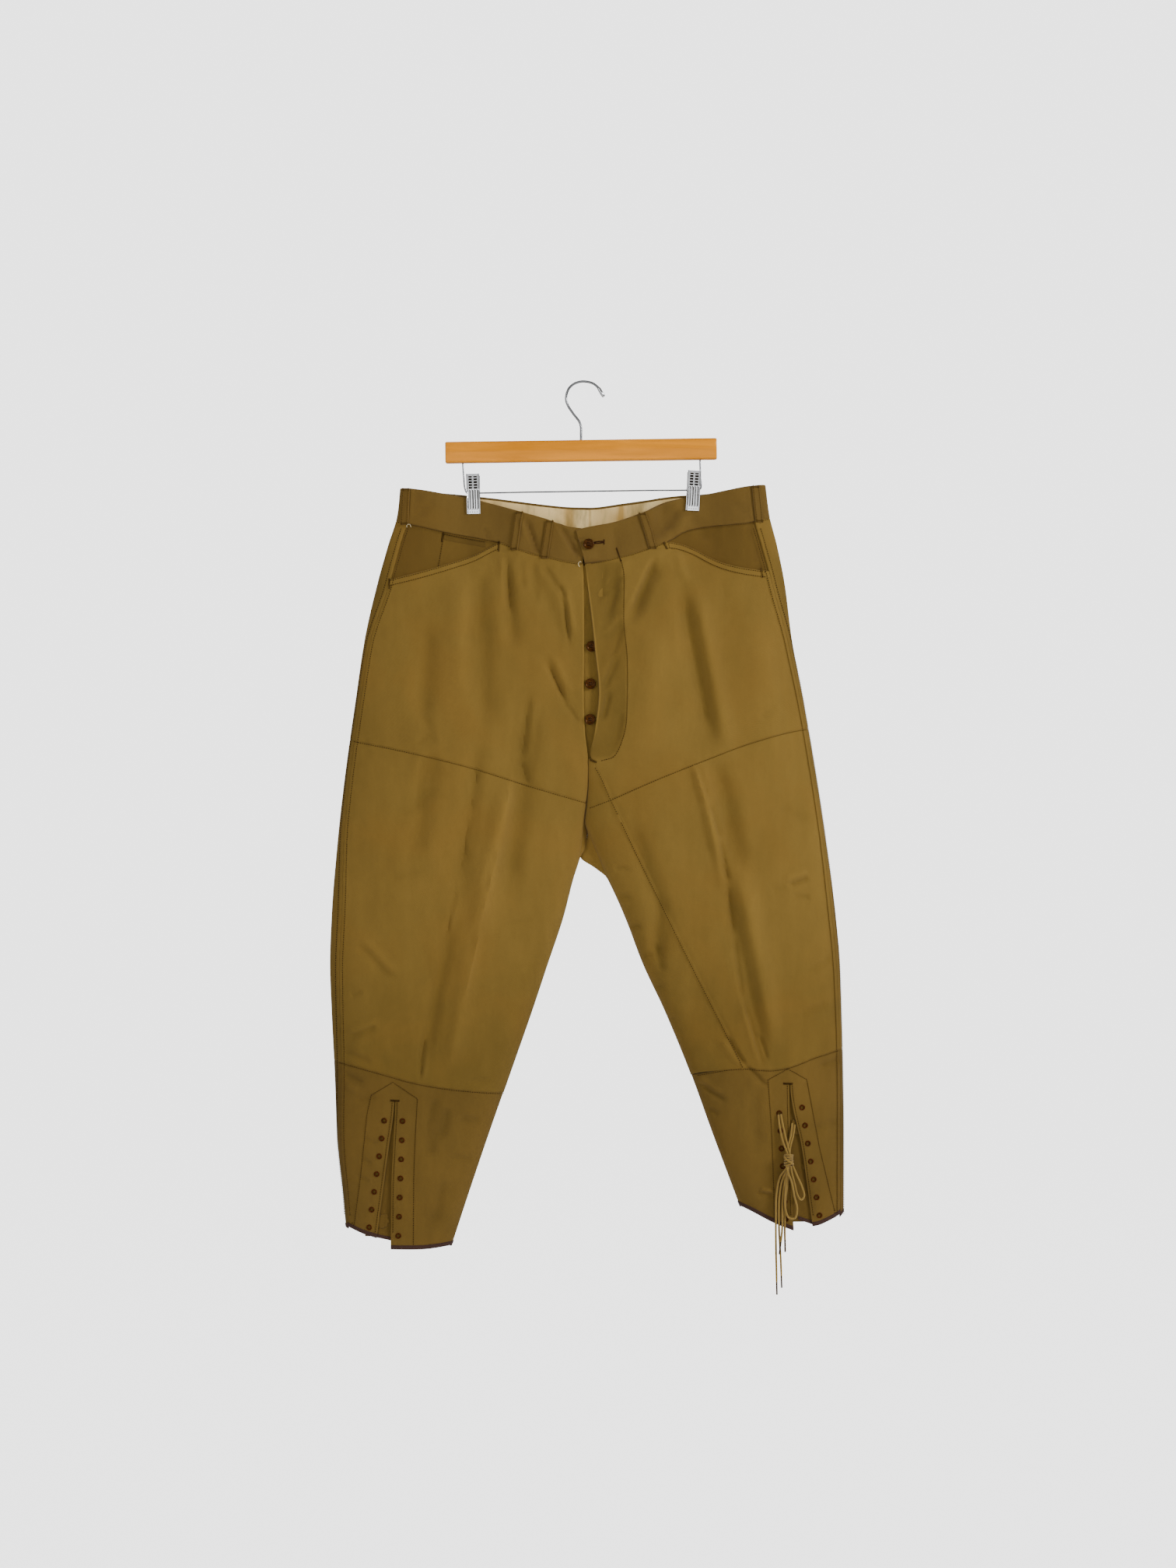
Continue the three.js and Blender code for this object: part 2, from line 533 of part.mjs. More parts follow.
// The place on the panels at x and drop: its point and outward normal. Takes the outermost of those there.
function resting(x, drop, front, names) {
  let best = null;
  panels.forEach(({ name, grid }) => {
    if (names && !names.includes(name)) return;
    for (let r = 0; r < grid.length - 1; r += 1) {
      for (let c = 0; c < grid[r].length - 1; c += 1) {
        const [a, b, d, e] = [grid[r][c], grid[r][c + 1], grid[r + 1][c], grid[r + 1][c + 1]];
        [[a, d, e], [a, e, b]].forEach(([p, q, w]) => {
          const y = heightOver(p, q, w, x, -drop);
          if (y === null || (front ? y > 0 : y < 0)) return;
          if (best && Math.abs(best.y) >= Math.abs(y)) return;
          const normal = q.clone().sub(p).cross(w.clone().sub(p)).normalize();
          if (front ? normal.y > 0 : normal.y < 0) normal.negate();
          best = { y, normal };
        });
      }
    }
  });
  if (!best) throw new Error(`nothing lies under x ${x}, drop ${drop}`);
  return [new THREE.Vector3(x, best.y, -drop), best.normal];
}

// The y of a triangle at x and z, or null outside it.
function heightOver(p, q, w, x, z) {
  const area = (q.x - p.x) * (w.z - p.z) - (w.x - p.x) * (q.z - p.z);
  if (Math.abs(area) < 1e-9) return null;
  const v = ((x - p.x) * (w.z - p.z) - (w.x - p.x) * (z - p.z)) / area;
  const t = ((q.x - p.x) * (z - p.z) - (x - p.x) * (q.z - p.z)) / area;
  const slack = 0.12;
  if (v < -slack || t < -slack || v + t > 1 + slack) return null;
  return p.y + v * (q.y - p.y) + t * (w.y - p.y);
}

// The drop at which a line of turns meets a seam given as a drop at x, by halving.
function meet(side, turnAlong, seam, shift = 0) {
  let [above, below] = [120, 1130];
  for (let i = 0; i < 26; i += 1) {
    const drop = (above + below) / 2;
    if (seam(skin(side, drop, turnAlong(drop)).x) + shift > drop) above = drop;
    else below = drop;
  }
  return above;
}

// The place k across and v down between two edges (turn at a drop) and two seams (drop at x).
function patch(side, firstTurn, lastTurn, topSeam, bottomSeam) {
  return (k, v) => {
    const turnAlong = (drop) => lerp(firstTurn(drop), lastTurn(drop), k);
    const top = meet(side, turnAlong, topSeam, SEAM_GAP / 2);
    const bottom = meet(side, turnAlong, bottomSeam, -SEAM_GAP / 2);
    const drop = lerp(top, bottom, v);
    return [side, drop, lerp(firstTurn(drop), lastTurn(drop), k)];
  };
}

// A tube along a path: a many-sided section swept by ExtrudeGeometry.
function tube(path, diameter, sides, segments) {
  const section = new THREE.Shape(
    Array.from({ length: sides }, (_, i) => {
      const angle = (2 * Math.PI * i) / sides;
      return new THREE.Vector2((diameter / 2) * Math.cos(angle), (diameter / 2) * Math.sin(angle));
    }),
  );
  return new THREE.ExtrudeGeometry(section, { steps: segments, extrudePath: path, bevelEnabled: false });
}

const smoothPath = (points) => new THREE.CatmullRomCurve3(points, false, "centripetal");

// A mesh geometry as a solid for booleans, and a solid back as a geometry.
function toSolid(geometry) {
  const bare = new THREE.BufferGeometry();
  bare.setAttribute("position", geometry.getAttribute("position"));
  if (geometry.index) bare.setIndex(geometry.index);
  const merged = mergeVertices(bare, 1e-4);
  return new wasm.Manifold(new wasm.Mesh({
    numProp: 3,
    vertProperties: new Float32Array(merged.attributes.position.array),
    triVerts: new Uint32Array(merged.index.array),
  }));
}

function toGeometry(solid) {
  const { vertProperties, triVerts } = solid.getMesh();
  const geometry = new THREE.BufferGeometry();
  geometry.setAttribute("position", new THREE.BufferAttribute(new Float32Array(vertProperties), 3));
  geometry.setIndex(new THREE.BufferAttribute(new Uint32Array(triVerts), 1));
  return geometry;
}

// A closed geometry as a solid with its faces outward.
function outward(geometry) {
  const solid = toSolid(geometry);
  if (solid.volume() > 0) return solid;
  const turned = geometry.clone();
  const { array } = turned.index;
  for (let i = 0; i < array.length; i += 3) [array[i + 1], array[i + 2]] = [array[i + 2], array[i + 1]];
  return toSolid(turned);
}

// Places a geometry that was made along +Z so that +Z points along the normal.
function aimed(geometry, position, normal) {
  const turn = new THREE.Quaternion().setFromUnitVectors(new THREE.Vector3(0, 0, 1), normal);
  return geometry.clone().applyQuaternion(turn).translate(position.x, position.y, position.z);
}

const ring = (innerRadius, outerRadius, low, high, sides) =>
  toGeometry(outward(new THREE.LatheGeometry(
    [[innerRadius, low], [outerRadius, low], [outerRadius, high], [innerRadius, high], [innerRadius, low]]
      .map(([r, z]) => new THREE.Vector2(r, z)),
    sides,
  ).rotateX(Math.PI / 2)));

const rod = (radius, low, high, sides) =>
  new THREE.CylinderGeometry(radius, radius, high - low, sides)
    .rotateX(Math.PI / 2)
    .translate(0, 0, (low + high) / 2);

// ---------------------------------------------------------------- leg and body panels
const outseam = (side) => (drop) => {
  const outer = side.outer(drop);
  return turnAt(side, outer - Math.sign(outer) * side.outseamInset(drop), drop, true);
};
const frontCentre = () => 1;
const backCentre = () => BACK_START;
const pastOutseam = (side) => (drop) => 2 + outseam(side)(drop);
const innerPanelEdgeLeft = curve(INNER_PANEL_LEFT, "drop", "x");
const innerPanelWidthRight = curve(INNER_PANEL_WIDTH_RIGHT, "drop", "width");
const wrap = (drop) => FOLD_WRAP * smoothstep(CROTCH.wrapStart, CROTCH.wrapEnd, drop);

const frontEdge = {
  right: (drop) => 1 - wrap(drop),
  left: (drop) => (drop < INNER_PANEL_LEFT[0].drop ? 1 : turnAt(LEFT, innerPanelEdgeLeft(drop), drop, true)),
};
const backThighEdge = {
  right: (drop) => turnAt(RIGHT, RIGHT.backInner(drop) - innerPanelWidthRight(drop), drop, false),
  left: (drop) => BACK_START + wrap(drop),
};
const waistSeam = along(WAIST_SEAM_FRONT);
const waistSeamBack = along(WAIST_SEAM_BACK);
const scoop = { right: along(SCOOP_RIGHT), left: along(SCOOP_LEFT) };
const thighSeam = { right: along(THIGH_SEAM_RIGHT), left: along(THIGH_SEAM_LEFT) };
const calfSeam = { right: along(CALF_SEAM_RIGHT), left: along(CALF_SEAM_LEFT) };

// The front's top edge: the scooped pocket mouth, then the waistband seam.
const frontTop = {
  right: (x) => (x < -105 ? scoop.right(x) : waistSeam(x)),
  left: (x) => (x > 108 ? scoop.left(x) : waistSeam(x)),
};

// The patches of cloth between the seams, as places k across and v down.
const patches = (side) => {
  const { name } = side;
  return {
    frontUpper: patch(side, outseam(side), frontEdge[name], frontTop[name], thighSeam[name]),
    backUpper: patch(side, backCentre, pastOutseam(side), waistSeamBack, thighSeam[name]),
    frontThigh: patch(side, outseam(side), frontEdge[name], thighSeam[name], calfSeam[name]),
    backThigh: patch(side, backThighEdge[name], pastOutseam(side), thighSeam[name], calfSeam[name]),
  };
};
const PATCHES = { right: patches(RIGHT), left: patches(LEFT) };

// The front's columns, set so that they run on into the two flaps of the calf.
function frontColumns(side) {
  const { name } = side;
  const slit = slitEdge(side, "outer");
  const drop = meet(side, slit, calfSeam[name]);
  const first = outseam(side)(drop);
  const share = (slit(drop) - first) / (frontEdge[name](drop) - first);
  return [
    ...steps(COLUMNS[name].outerFlap).map((k) => k * share),
    ...steps(COLUMNS[name].innerFlap).slice(1).map((k) => lerp(share, 1, k)),
  ];
}
const slitEdge = (side, column) => {
  const x = curve(SLIT[side.name].edges, "drop", column);
  return (drop) => turnAt(side, x(drop), drop, true);
};
const FRONT_COLUMNS = { right: frontColumns(RIGHT), left: frontColumns(LEFT) };

function addBodyPanels(side) {
  const { name } = side;
  const { frontUpper, backUpper, frontThigh, backThigh } = PATCHES[name];
  const front = FRONT_COLUMNS[name];
  const back = steps(COLUMNS.back);
  clothPanel({ name: `front_upper_${name}`, across: front, down: UPPER_ROWS, at: frontUpper });
  // Below the pocket the back's rows meet the front's at the outseam.
  const [backTop, backBottom] = [0, 1].map((v) => backUpper(1, v)[1]);
  const backRows = UPPER_ROWS.map((v) => (frontUpper(0, v)[1] - backTop) / (backBottom - backTop));
  const upperRows = [0, backRows[0] / 2, ...backRows];
  clothPanel({ name: `back_upper_${name}`, across: back, down: upperRows, at: backUpper });
  clothPanel({ name: `front_thigh_${name}`, across: front, down: THIGH_ROWS, at: frontThigh });
  clothPanel({ name: `back_thigh_${name}`, across: back, down: THIGH_ROWS, at: backThigh });
}

// The inside-leg panel. Its rows are those of its neighbours, so that the seams match.
// On the wearer's left it lies on the front and closes the leg; on the right it closes and lies on the back.
function addInnerLegPanel(side) {
  const { name } = side;
  const isLeft = side === LEFT;
  const { frontUpper, frontThigh, backThigh } = PATCHES[name];
  const dropOf = (at, k, v) => at(k, v)[1];
  const upperRows = UPPER_ROWS
    .map((v) => dropOf(frontUpper, 1, v))
    .filter((drop) => isLeft && drop > CROTCH.panelTop)
    .map((drop) => [drop, drop]);
  const thighRows = THIGH_ROWS
    .map((v) => [dropOf(frontThigh, 1, v), dropOf(backThigh, 0, v)])
    .filter(([drop]) => isLeft || drop > CROTCH.start);
  const outer = [];
  const inner = [];
  [...upperRows, ...thighRows].forEach(([frontDrop, backDrop]) => {
    const foldDrop = isLeft ? backDrop : frontDrop;
    const frontTurn = 1 - wrap(foldDrop);
    const backTurn = BACK_START + wrap(foldDrop);
    const share = Math.max(CROTCH.allowance, smoothstep(CROTCH.start, CROTCH.full, foldDrop));
    const sheet = (start, end, dropA, dropB) => steps(3).map((k) => {
      const drop = lerp(dropA, dropB, k);
      const turn = lerp(start(drop), end(drop), k);
      return [onSkin(side, drop, turn, 0), onSkin(side, drop, turn, -CLOTH)];
    });
    // The strip turns from the front's face to the back's, and ends on their own normals.
    const ends = [frontTurn, backTurn].map((turn) => onSkin(side, foldDrop, turn, 0));
    const inward = [frontTurn, backTurn]
      .map((turn) => skinNormal(side, foldDrop, turn).multiplyScalar(-CLOTH));
    const across = new THREE.Vector3(ends[0].y - ends[1].y, ends[1].x - ends[0].x, 0).setLength(CLOTH);
    if (across.x * side.outer(foldDrop) < 0) across.negate();
    const strip = [0, 0.5, 1].map((k) => {
      const p = ends[0].clone().lerp(ends[1], k * share);
      const offset = [inward[0], across, share < 1 ? across : inward[1]][2 * k];
      return [p, p.clone().add(offset)];
    });
    const row = isLeft
      ? [...sheet(frontEdge.left, (drop) => 1 - wrap(drop), frontDrop, foldDrop).slice(0, -1), ...strip]
      : [
        ...strip.slice(0, -1),
        ...sheet(() => BACK_START + wrap(foldDrop), backThighEdge.right, foldDrop, backDrop),
      ];
    outer.push(row.map(([p]) => p));
    inner.push(row.map(([, q]) => q));
  });
  addWall(`inner_leg_${name}`, [outer, inner], KHAKI);
}

// ---------------------------------------------------------------- calves
// The columns of a calf and its hem. They continue the columns of the panels above, and the inner flap
// turns round the inner fold.
function calfColumns(side, part) {
  const { name } = side;
  const hem = HEM[name];
  const span = (from, to, ks) => ks.map((k) => (drop) => lerp(from(drop), to(drop), k));
  const foldFront = (drop) => 1 - wrap(drop);
  const foldBack = (drop) => BACK_START + wrap(drop);
  const innerLeg = steps(COLUMNS.innerLeg);
  const turns = {
    outerFlap: () => span(outseam(side), slitEdge(side, "outer"), steps(COLUMNS[name].outerFlap)),
    innerFlap: () => [
      ...span(slitEdge(side, "inner"), frontEdge[name], steps(COLUMNS[name].innerFlap)),
      ...(side === LEFT ? span(frontEdge.left, foldFront, innerLeg).slice(1) : []),
      foldBack,
    ],
    back: () => [
      ...(side === RIGHT ? span(foldBack, backThighEdge.right, innerLeg).slice(0, -1) : []),
      ...span(backThighEdge[name], pastOutseam(side), steps(COLUMNS.back)),
    ],
  }[part]();
  const hemTables = { outerFlap: hem.outer, innerFlap: hem.inner, back: backHem(side) };
  const hemDrop = along(hemTables[part]);
  return turns.map((turn) => ({ turn, hemDrop }));
}

// The back hem runs from the inner fold to the outseam, level with the front hem at both.
function backHem(side) {
  const { inner, outer } = HEM[side.name];
  return side === RIGHT
    ? [...outer.slice(0, 2), { x: -235, drop: 1104 }, { x: -170, drop: 1111 }]
    : [inner[0], { x: 225, drop: 1062 }, { x: 290, drop: 1072 }, ...outer.slice(2)];
}

// The rows of a calf: seam, top of the slit, then evenly to the bound hem.
function calfGrid(side, columns) {
  const slitTop = SLIT[side.name].topDrop;
  const drops = columns.map((column) => {
    const seamDrop = meet(side, column.turn, calfSeam[side.name], SEAM_GAP / 2);
    const hemDrop = meet(side, column.turn, column.hemDrop, -BINDING.height - 1.5 * SEAM_GAP);
    return [seamDrop, ...steps(ROWS.calf - 1).map((v) => lerp(slitTop, hemDrop, v))];
  });
  return [0, -CLOTH].map((out) => steps(ROWS.calf).map((_, r) =>
    columns.map((column, c) => onSkin(side, drops[c][r], column.turn(drops[c][r]), out))));
}

const eyeletPlaces = (side) => EYELET_ROWS[side.name].flatMap((row) =>
  steps(EYELET.perRow - 1).map((t) => (
    { x: lerp(row.x, row.endX, t), drop: lerp(row.drop, row.endDrop, t) }
  )));

// The calf's front: two flaps that part at a slit, with eyelets set along both edges.
function addFrontCalf(side) {
  const name = `front_calf_${side.name}`;
  const grids = calfGrid(side, [...calfColumns(side, "outerFlap"), ...calfColumns(side, "innerFlap")]);
  partFromNeighbours(grids);
  panels.push({ name, grid: grids[0] });
  const slitColumn = COLUMNS[side.name].outerFlap;
  let solid = toSolid(wall(...grids, (r, c) => !(c === slitColumn && r >= 1)));
  const rim = ring(EYELET.holeRadius, EYELET.rimRadius, -CLOTH / 2, EYELET.rimHeight, EYELET.sides);
  const hole = rod(EYELET.holeRadius, -CLOTH - 2, EYELET.rimHeight + 2, EYELET.sides);
  eyeletPlaces(side).forEach(({ x, drop }) => {
    const place = resting(x, drop, true, [name]);
    solid = solid.add(toSolid(aimed(rim, ...place))).subtract(toSolid(aimed(hole, ...place)));
  });
  add(name, toGeometry(solid.asOriginal().simplify(EYELET.tolerance)), KHAKI);
}

function addBackCalf(side) {
  addWall(`back_calf_${side.name}`, calfGrid(side, calfColumns(side, "back")), KHAKI);
}

// The tongue behind the slit, a little longer than the outer flap.
function addTongue(side) {
  const { name } = side;
  const tongue = TONGUE[name];
  const outerX = curve(SLIT[name].edges, "drop", "outer");
  const innerX = curve(SLIT[name].edges, "drop", "inner");
  const behind = -CLOTH - TONGUE.gap;
  const grid = (out) => steps(6).map((v) => steps(3).map((k) => {
    const drop = lerp(SLIT[name].topDrop - 4, tongue.endDrop, v);
    const x = lerp(outerX(drop) + tongue.outer, innerX(drop) + tongue.inner, k);
    return overX(side, x, drop, true, out);
  }));
  add(`tongue_${name}`, wall(grid(behind), grid(behind - CLOTH)), KHAKI_DARK);
}

// The bound hem: from one slit edge round the leg to the other.
function addBinding(side) {
  const columns = ["innerFlap", "back", "outerFlap"].flatMap((part, i) =>
    calfColumns(side, part).slice(i === 0 ? 0 : 1));
  const grid = (out) => [-BINDING.height, 0].map((shift) => columns.map((column) => {
    const drop = meet(side, column.turn, column.hemDrop, shift);
    return onSkin(side, drop, column.turn(drop), out);
  }));
  addWall(`hem_binding_${side.name}`, [grid(0), grid(-BINDING.wall)], BINDING_BROWN);
}

// ---------------------------------------------------------------- waistband, loops, fly, pockets
function addWaistband() {
  const rows = steps(ROWS.waistband);
  clothPanel({
    name: "waistband_front_right", across: FRONT_COLUMNS.right, down: rows,
    thickness: WAISTBAND_WALL, color: KHAKI_DARK,
    at: patch(RIGHT, outseam(RIGHT), frontCentre, along(WAIST_TOP_FRONT_RIGHT), waistSeam),
  });
  // The left end laps over the right; its last column reaches past the fly edge.
  const leftAt = patch(LEFT, outseam(LEFT), frontCentre, along(WAIST_TOP_FRONT_LEFT), waistSeam);
  const lifted = (out) => rows.map((v) => FRONT_COLUMNS.left.map((k) => {
    const [, drop, turn] = leftAt(k, v);
    const overlap = 1 - smoothstep(OVERLAP.full, OVERLAP.end, skin(LEFT, drop, turn).x);
    return onSkin(LEFT, drop, turn, out + overlap * (WAISTBAND_WALL + SEAM_GAP));
  }));
  addWall("waistband_front_left", [lifted(0), lifted(-WAISTBAND_WALL)], KHAKI_DARK);
  const backPatches = [RIGHT, LEFT].map((side) =>
    patch(side, backCentre, pastOutseam(side), along(WAIST_TOP_BACK), waistSeamBack));
  const backAt = (k, v) => (k < 0.5 ? backPatches[0](1 - 2 * k, v) : backPatches[1](2 * k - 1, v));
  clothPanel({
    name: "waistband_back", across: steps(COLUMNS.waistBack), down: rows, thickness: WAISTBAND_WALL,
    color: KHAKI_DARK, at: backAt,
  });
  // The lining repeats the band's own columns, inside it and a little below its top edge.
  const liningColumns = steps(COLUMNS.waistBack).slice(LINING.skip, -LINING.skip);
  const behind = -WAISTBAND_WALL - SEAM_GAP;
  const liningRows = [LINING.top, 0.5, 1];
  const grid = (out) => liningRows.map((v) => liningColumns.map((k) => onSkin(...backAt(k, v), out)));
  add("waistband_lining", wall(grid(behind), grid(behind - LINING.wall)), CREAM);
}

function addBeltLoops() {
  BELT_LOOPS.forEach(({ name, face, x, endX }) => {
    const front = face === "front";
    const tops = x < 0 ? WAIST_TOP_FRONT_RIGHT : WAIST_TOP_FRONT_LEFT;
    const top = along(front ? tops : WAIST_TOP_BACK);
    const bottom = front ? waistSeam : waistSeamBack;
    const grid = (out) => steps(3).map((v) => [-0.5, 0, 0.5].map((across) => {
      const middle = lerp(x, endX, v);
      const drop = lerp(top(middle) + LOOP.below, bottom(endX) + LOOP.overhang, v);
      const [point, normal] = resting(middle + across * LOOP.width, drop, front);
      return point.addScaledVector(normal, out);
    }));
    add(`belt_loop_${name}`, wall(grid(LOOP.lift + LOOP.wall), grid(LOOP.lift)), KHAKI_DARK);
  });
}

function addFly() {
  const behind = -CLOTH - STAND.gap;
  const grid = (out) => steps(7).map((v) => {
    const drop = lerp(STAND.top, STAND.bottom, v);
    const sunk = out - STAND.sink * smoothstep(0.7, 1, v);
    const under = FRONT_COLUMNS.right.slice(-3, -1).map((k) =>
      onSkin(RIGHT, drop, lerp(outseam(RIGHT)(drop), 1, k), sunk));
    const reach = lerp(STAND.reach, RIGHT.frontInner(drop) + 4, smoothstep(0.8, 1, v));
    return [...under, under[1].clone().setX(reach)];
  });
  add("fly_button_stand", wall(grid(behind), grid(behind - CLOTH)), KHAKI_DARK);
  const button = buttonGeometry();
  const forward = new THREE.Vector3(0, -1, 0);
  FLY_BUTTONS.forEach(({ name, x, drop }) => {
    const base = onSkin(RIGHT, drop, lerp(outseam(RIGHT)(drop), 1, FRONT_COLUMNS.right.at(-2)), behind);
    const seat = base.setX(x).addScaledVector(forward, BUTTON.stand);
    add(name, aimed(button, seat, forward), BUTTON_BROWN, 0.35);
  });
  const [base] = resting(WAIST_BUTTON.x, WAIST_BUTTON.drop, true);
  const waist = aimed(button, base.addScaledVector(forward, BUTTON.stand), forward);
  add("waist_button", waist, BUTTON_BROWN, 0.35);
}

// A sewn-through button: a dished disc with a rim and four holes.
function buttonGeometry() {
  const { radius, thickness, rim, holes, holeRadius, holeCircle } = BUTTON;
  const profile = [
    [0, 0], [radius * 0.85, 0], [radius, thickness * 0.5], [radius - rim * 0.5, thickness],
    [radius - rim * 1.8, thickness * 0.6], [0, thickness * 0.55],
  ].map(([r, z]) => new THREE.Vector2(r, z));
  let solid = outward(new THREE.LatheGeometry(profile, 12).rotateX(Math.PI / 2));
  for (let i = 0; i < holes; i += 1) {
    const angle = ((i + 0.5) * 2 * Math.PI) / holes;
    const hole = rod(holeRadius, -1, thickness + 1, 4)
      .translate(holeCircle * Math.cos(angle), holeCircle * Math.sin(angle), 0);
    solid = solid.subtract(toSolid(hole));
  }
  return toGeometry(solid);
}

// The facing lies behind the scooped mouth, the hem band along it, the welt under the waistband.
function addPockets() {
  [RIGHT, LEFT].forEach((side) => {
    const { name } = side;
    // The lines across a pocket: under the waistband, the mouth, and the panel's next row.
    const place = (line, c) => {
      const k = FRONT_COLUMNS[name][c];
      const turnAlong = (drop) => lerp(outseam(side)(drop), 1, k) + (c === 0 ? POCKET.edge : 0);
      if (line === "tuck") {
        const [, drop] = PATCHES[name].frontUpper(k, UPPER_ROWS[1]);
        return [side, drop, turnAlong(drop)];
      }
      const seamDrop = meet(side, turnAlong, waistSeam, POCKET.belowSeam);
      const mouthDrop = meet(side, turnAlong, frontTop[name], SEAM_GAP / 2);
      const drop = line === "seam" ? seamDrop : Math.max(mouthDrop, seamDrop + 1);
      return [side, drop, turnAlong(drop)];
    };
    const between = (first, last, share, c, out) =>
      onSkin(...place(first, c), out).lerp(onSkin(...place(last, c), out), share);
    const behind = -CLOTH - POCKET.gap;
    const facing = (out) => ["seam", "mouth", "tuck"].map((line) =>
      counted(POCKET.facing[name]).map((c) => onSkin(...place(line, c), out)));
    add(`pocket_facing_${name}`, wall(facing(behind), facing(behind - CLOTH)), KHAKI_DARK);
    const hem = (out) => [0.02, POCKET_HEM.share].map((share) =>
      counted(POCKET.hem[name]).map((c) => between("mouth", "tuck", share, c, out)));
    add(`pocket_hem_${name}`, wall(hem(SEAM_GAP + POCKET_HEM.wall), hem(SEAM_GAP)), KHAKI);
    if (side === RIGHT) {
      const welt = (out) => [WELT.top, WELT.bottom].map((share) =>
        WELT.columns.map((c) => between("seam", "mouth", share, c, out)));
      const onFacing = behind + SEAM_GAP;
      add("watch_pocket_welt", wall(welt(onFacing + WELT.wall), welt(onFacing)), KHAKI);
    }
  });
}

// ---------------------------------------------------------------- lace
// The routes as x and drop, with how far each point stands in front of the cloth.
const LACE_ROUTES = {
  lace_first: [
    { x: 250.7, drop: 941, off: 3.6 }, { x: 251.6, drop: 952, off: 4.6 }, { x: 255.6, drop: 973, off: 6.4 },
    { x: 261.6, drop: 990, off: 9.5 }, { x: 261.9, drop: 998, off: 9.6 }, { x: 261.4, drop: 1007, off: 9.3 },
    { x: 253, drop: 1020, off: 5 }, { x: 248, drop: 1045, off: 2.8 }, { x: 247.4, drop: 1080, off: 2.8 },
    { x: 247.6, drop: 1110, off: 2.6 }, { x: 248.3, drop: 1140, off: 1.6 }, { x: 249, drop: 1172, off: 0.6 },
  ],
  lace_second: [
    { x: 253.7, drop: 940.5, off: 3.6 }, { x: 255.8, drop: 952, off: 4.6 }, { x: 260.4, drop: 973, off: 6.4 },
    { x: 264.4, drop: 990, off: 9.5 }, { x: 264.7, drop: 998, off: 9.6 }, { x: 264, drop: 1007, off: 9.5 },
    { x: 256.6, drop: 1021, off: 6.4 }, { x: 252, drop: 1045, off: 3.4 }, { x: 251.6, drop: 1088, off: 3.2 },
    { x: 253.6, drop: 1125, off: 2.6 }, { x: 255, drop: 1163, off: 1.6 },
  ],
  lace_third: [
    { x: 268.6, drop: 952, off: 1.2 }, { x: 266.8, drop: 966, off: 3 }, { x: 262.8, drop: 982, off: 5.4 },
    { x: 261.9, drop: 991, off: 6.8 }, { x: 261.9, drop: 998, off: 6.8 }, { x: 261.6, drop: 1007, off: 6.5 },
    { x: 259, drop: 1022, off: 3.4 }, { x: 256, drop: 1050, off: 3.4 }, { x: 255.4, drop: 1084, off: 5.6 },
    { x: 251.6, drop: 1119, off: 7.4 },
  ],
  lace_fourth: [
    { x: 271.8, drop: 954, off: 1.4 }, { x: 269.4, drop: 968, off: 3.4 }, { x: 265.6, drop: 982, off: 5.6 },
    { x: 264.7, drop: 991, off: 6.8 }, { x: 264.7, drop: 998, off: 6.8 }, { x: 264.4, drop: 1007, off: 6.5 },
    { x: 262.8, drop: 1024, off: 3.2 }, { x: 260, drop: 1050, off: 2.8 }, { x: 258.8, drop: 1084, off: 2.8 },
    { x: 259.4, drop: 1117, off: 2.4 },
  ],
  bow_short: [
    { x: 268.6, drop: 1005.5, off: 8.4 }, { x: 274, drop: 1018, off: 8 }, { x: 281, drop: 1034, off: 6.4 },
    { x: 283.4, drop: 1045, off: 5.6 }, { x: 279.6, drop: 1049.6, off: 5.4 },
    { x: 275, drop: 1044, off: 5.8 }, { x: 271, drop: 1029, off: 7.2 },
    { x: 267.6, drop: 1016, off: 8.6 }, { x: 265.8, drop: 1005.5, off: 11.2 },
  ],
  bow_long: [
    { x: 262.6, drop: 1005.5, off: 12.4 }, { x: 261.4, drop: 1018, off: 11 },
    { x: 259.4, drop: 1038, off: 7.4 },
    { x: 259.2, drop: 1060, off: 6 }, { x: 264, drop: 1072.6, off: 5.6 }, { x: 271.6, drop: 1073, off: 5.6 },
    { x: 274.4, drop: 1061, off: 6 }, { x: 270.4, drop: 1044, off: 9.6 }, { x: 267, drop: 1026, off: 12 },
    { x: 262.2, drop: 1014, off: 14.6 }, { x: 260.2, drop: 1005.5, off: 11.6 },
  ],
};

function addLace() {
  const [{ y: base }] = resting(KNOT.x, KNOT.drop, true);
  const routePoint = ({ x, drop, off }) => new THREE.Vector3(x, base - off, -drop);
  Object.entries(LACE_ROUTES).forEach(([name, route]) => {
    const path = smoothPath(route.map(routePoint));
    const segments = Math.round(path.getLength() / (3 * LACE.diameter));
    add(name, tube(path, LACE.diameter, LACE.sides, segments), LACE_OCHRE);
  });
  const wrapRadius = LACE.diameter / 2;
  const half = KNOT.wraps * wrapRadius;
  const outline = [new THREE.Vector2(KNOT.bore, -half)];
  for (let i = 0; i < KNOT.wraps; i += 1) {
    const middle = -half + wrapRadius * (2 * i + 1);
    [-0.7, 0, 0.7].forEach((share) => {
      const bulge = Math.sqrt(1 - share * share);
      outline.push(new THREE.Vector2(KNOT.bore + wrapRadius * (1 + bulge), middle + share * wrapRadius));
    });
  }
  outline.push(new THREE.Vector2(KNOT.bore, half), outline[0].clone());
  const knot = outward(new THREE.LatheGeometry(outline, 10).rotateX(Math.PI / 2));
  add("lace_knot", toGeometry(knot.translate([KNOT.x, base - KNOT.standOff, -KNOT.drop])), LACE_OCHRE);
}

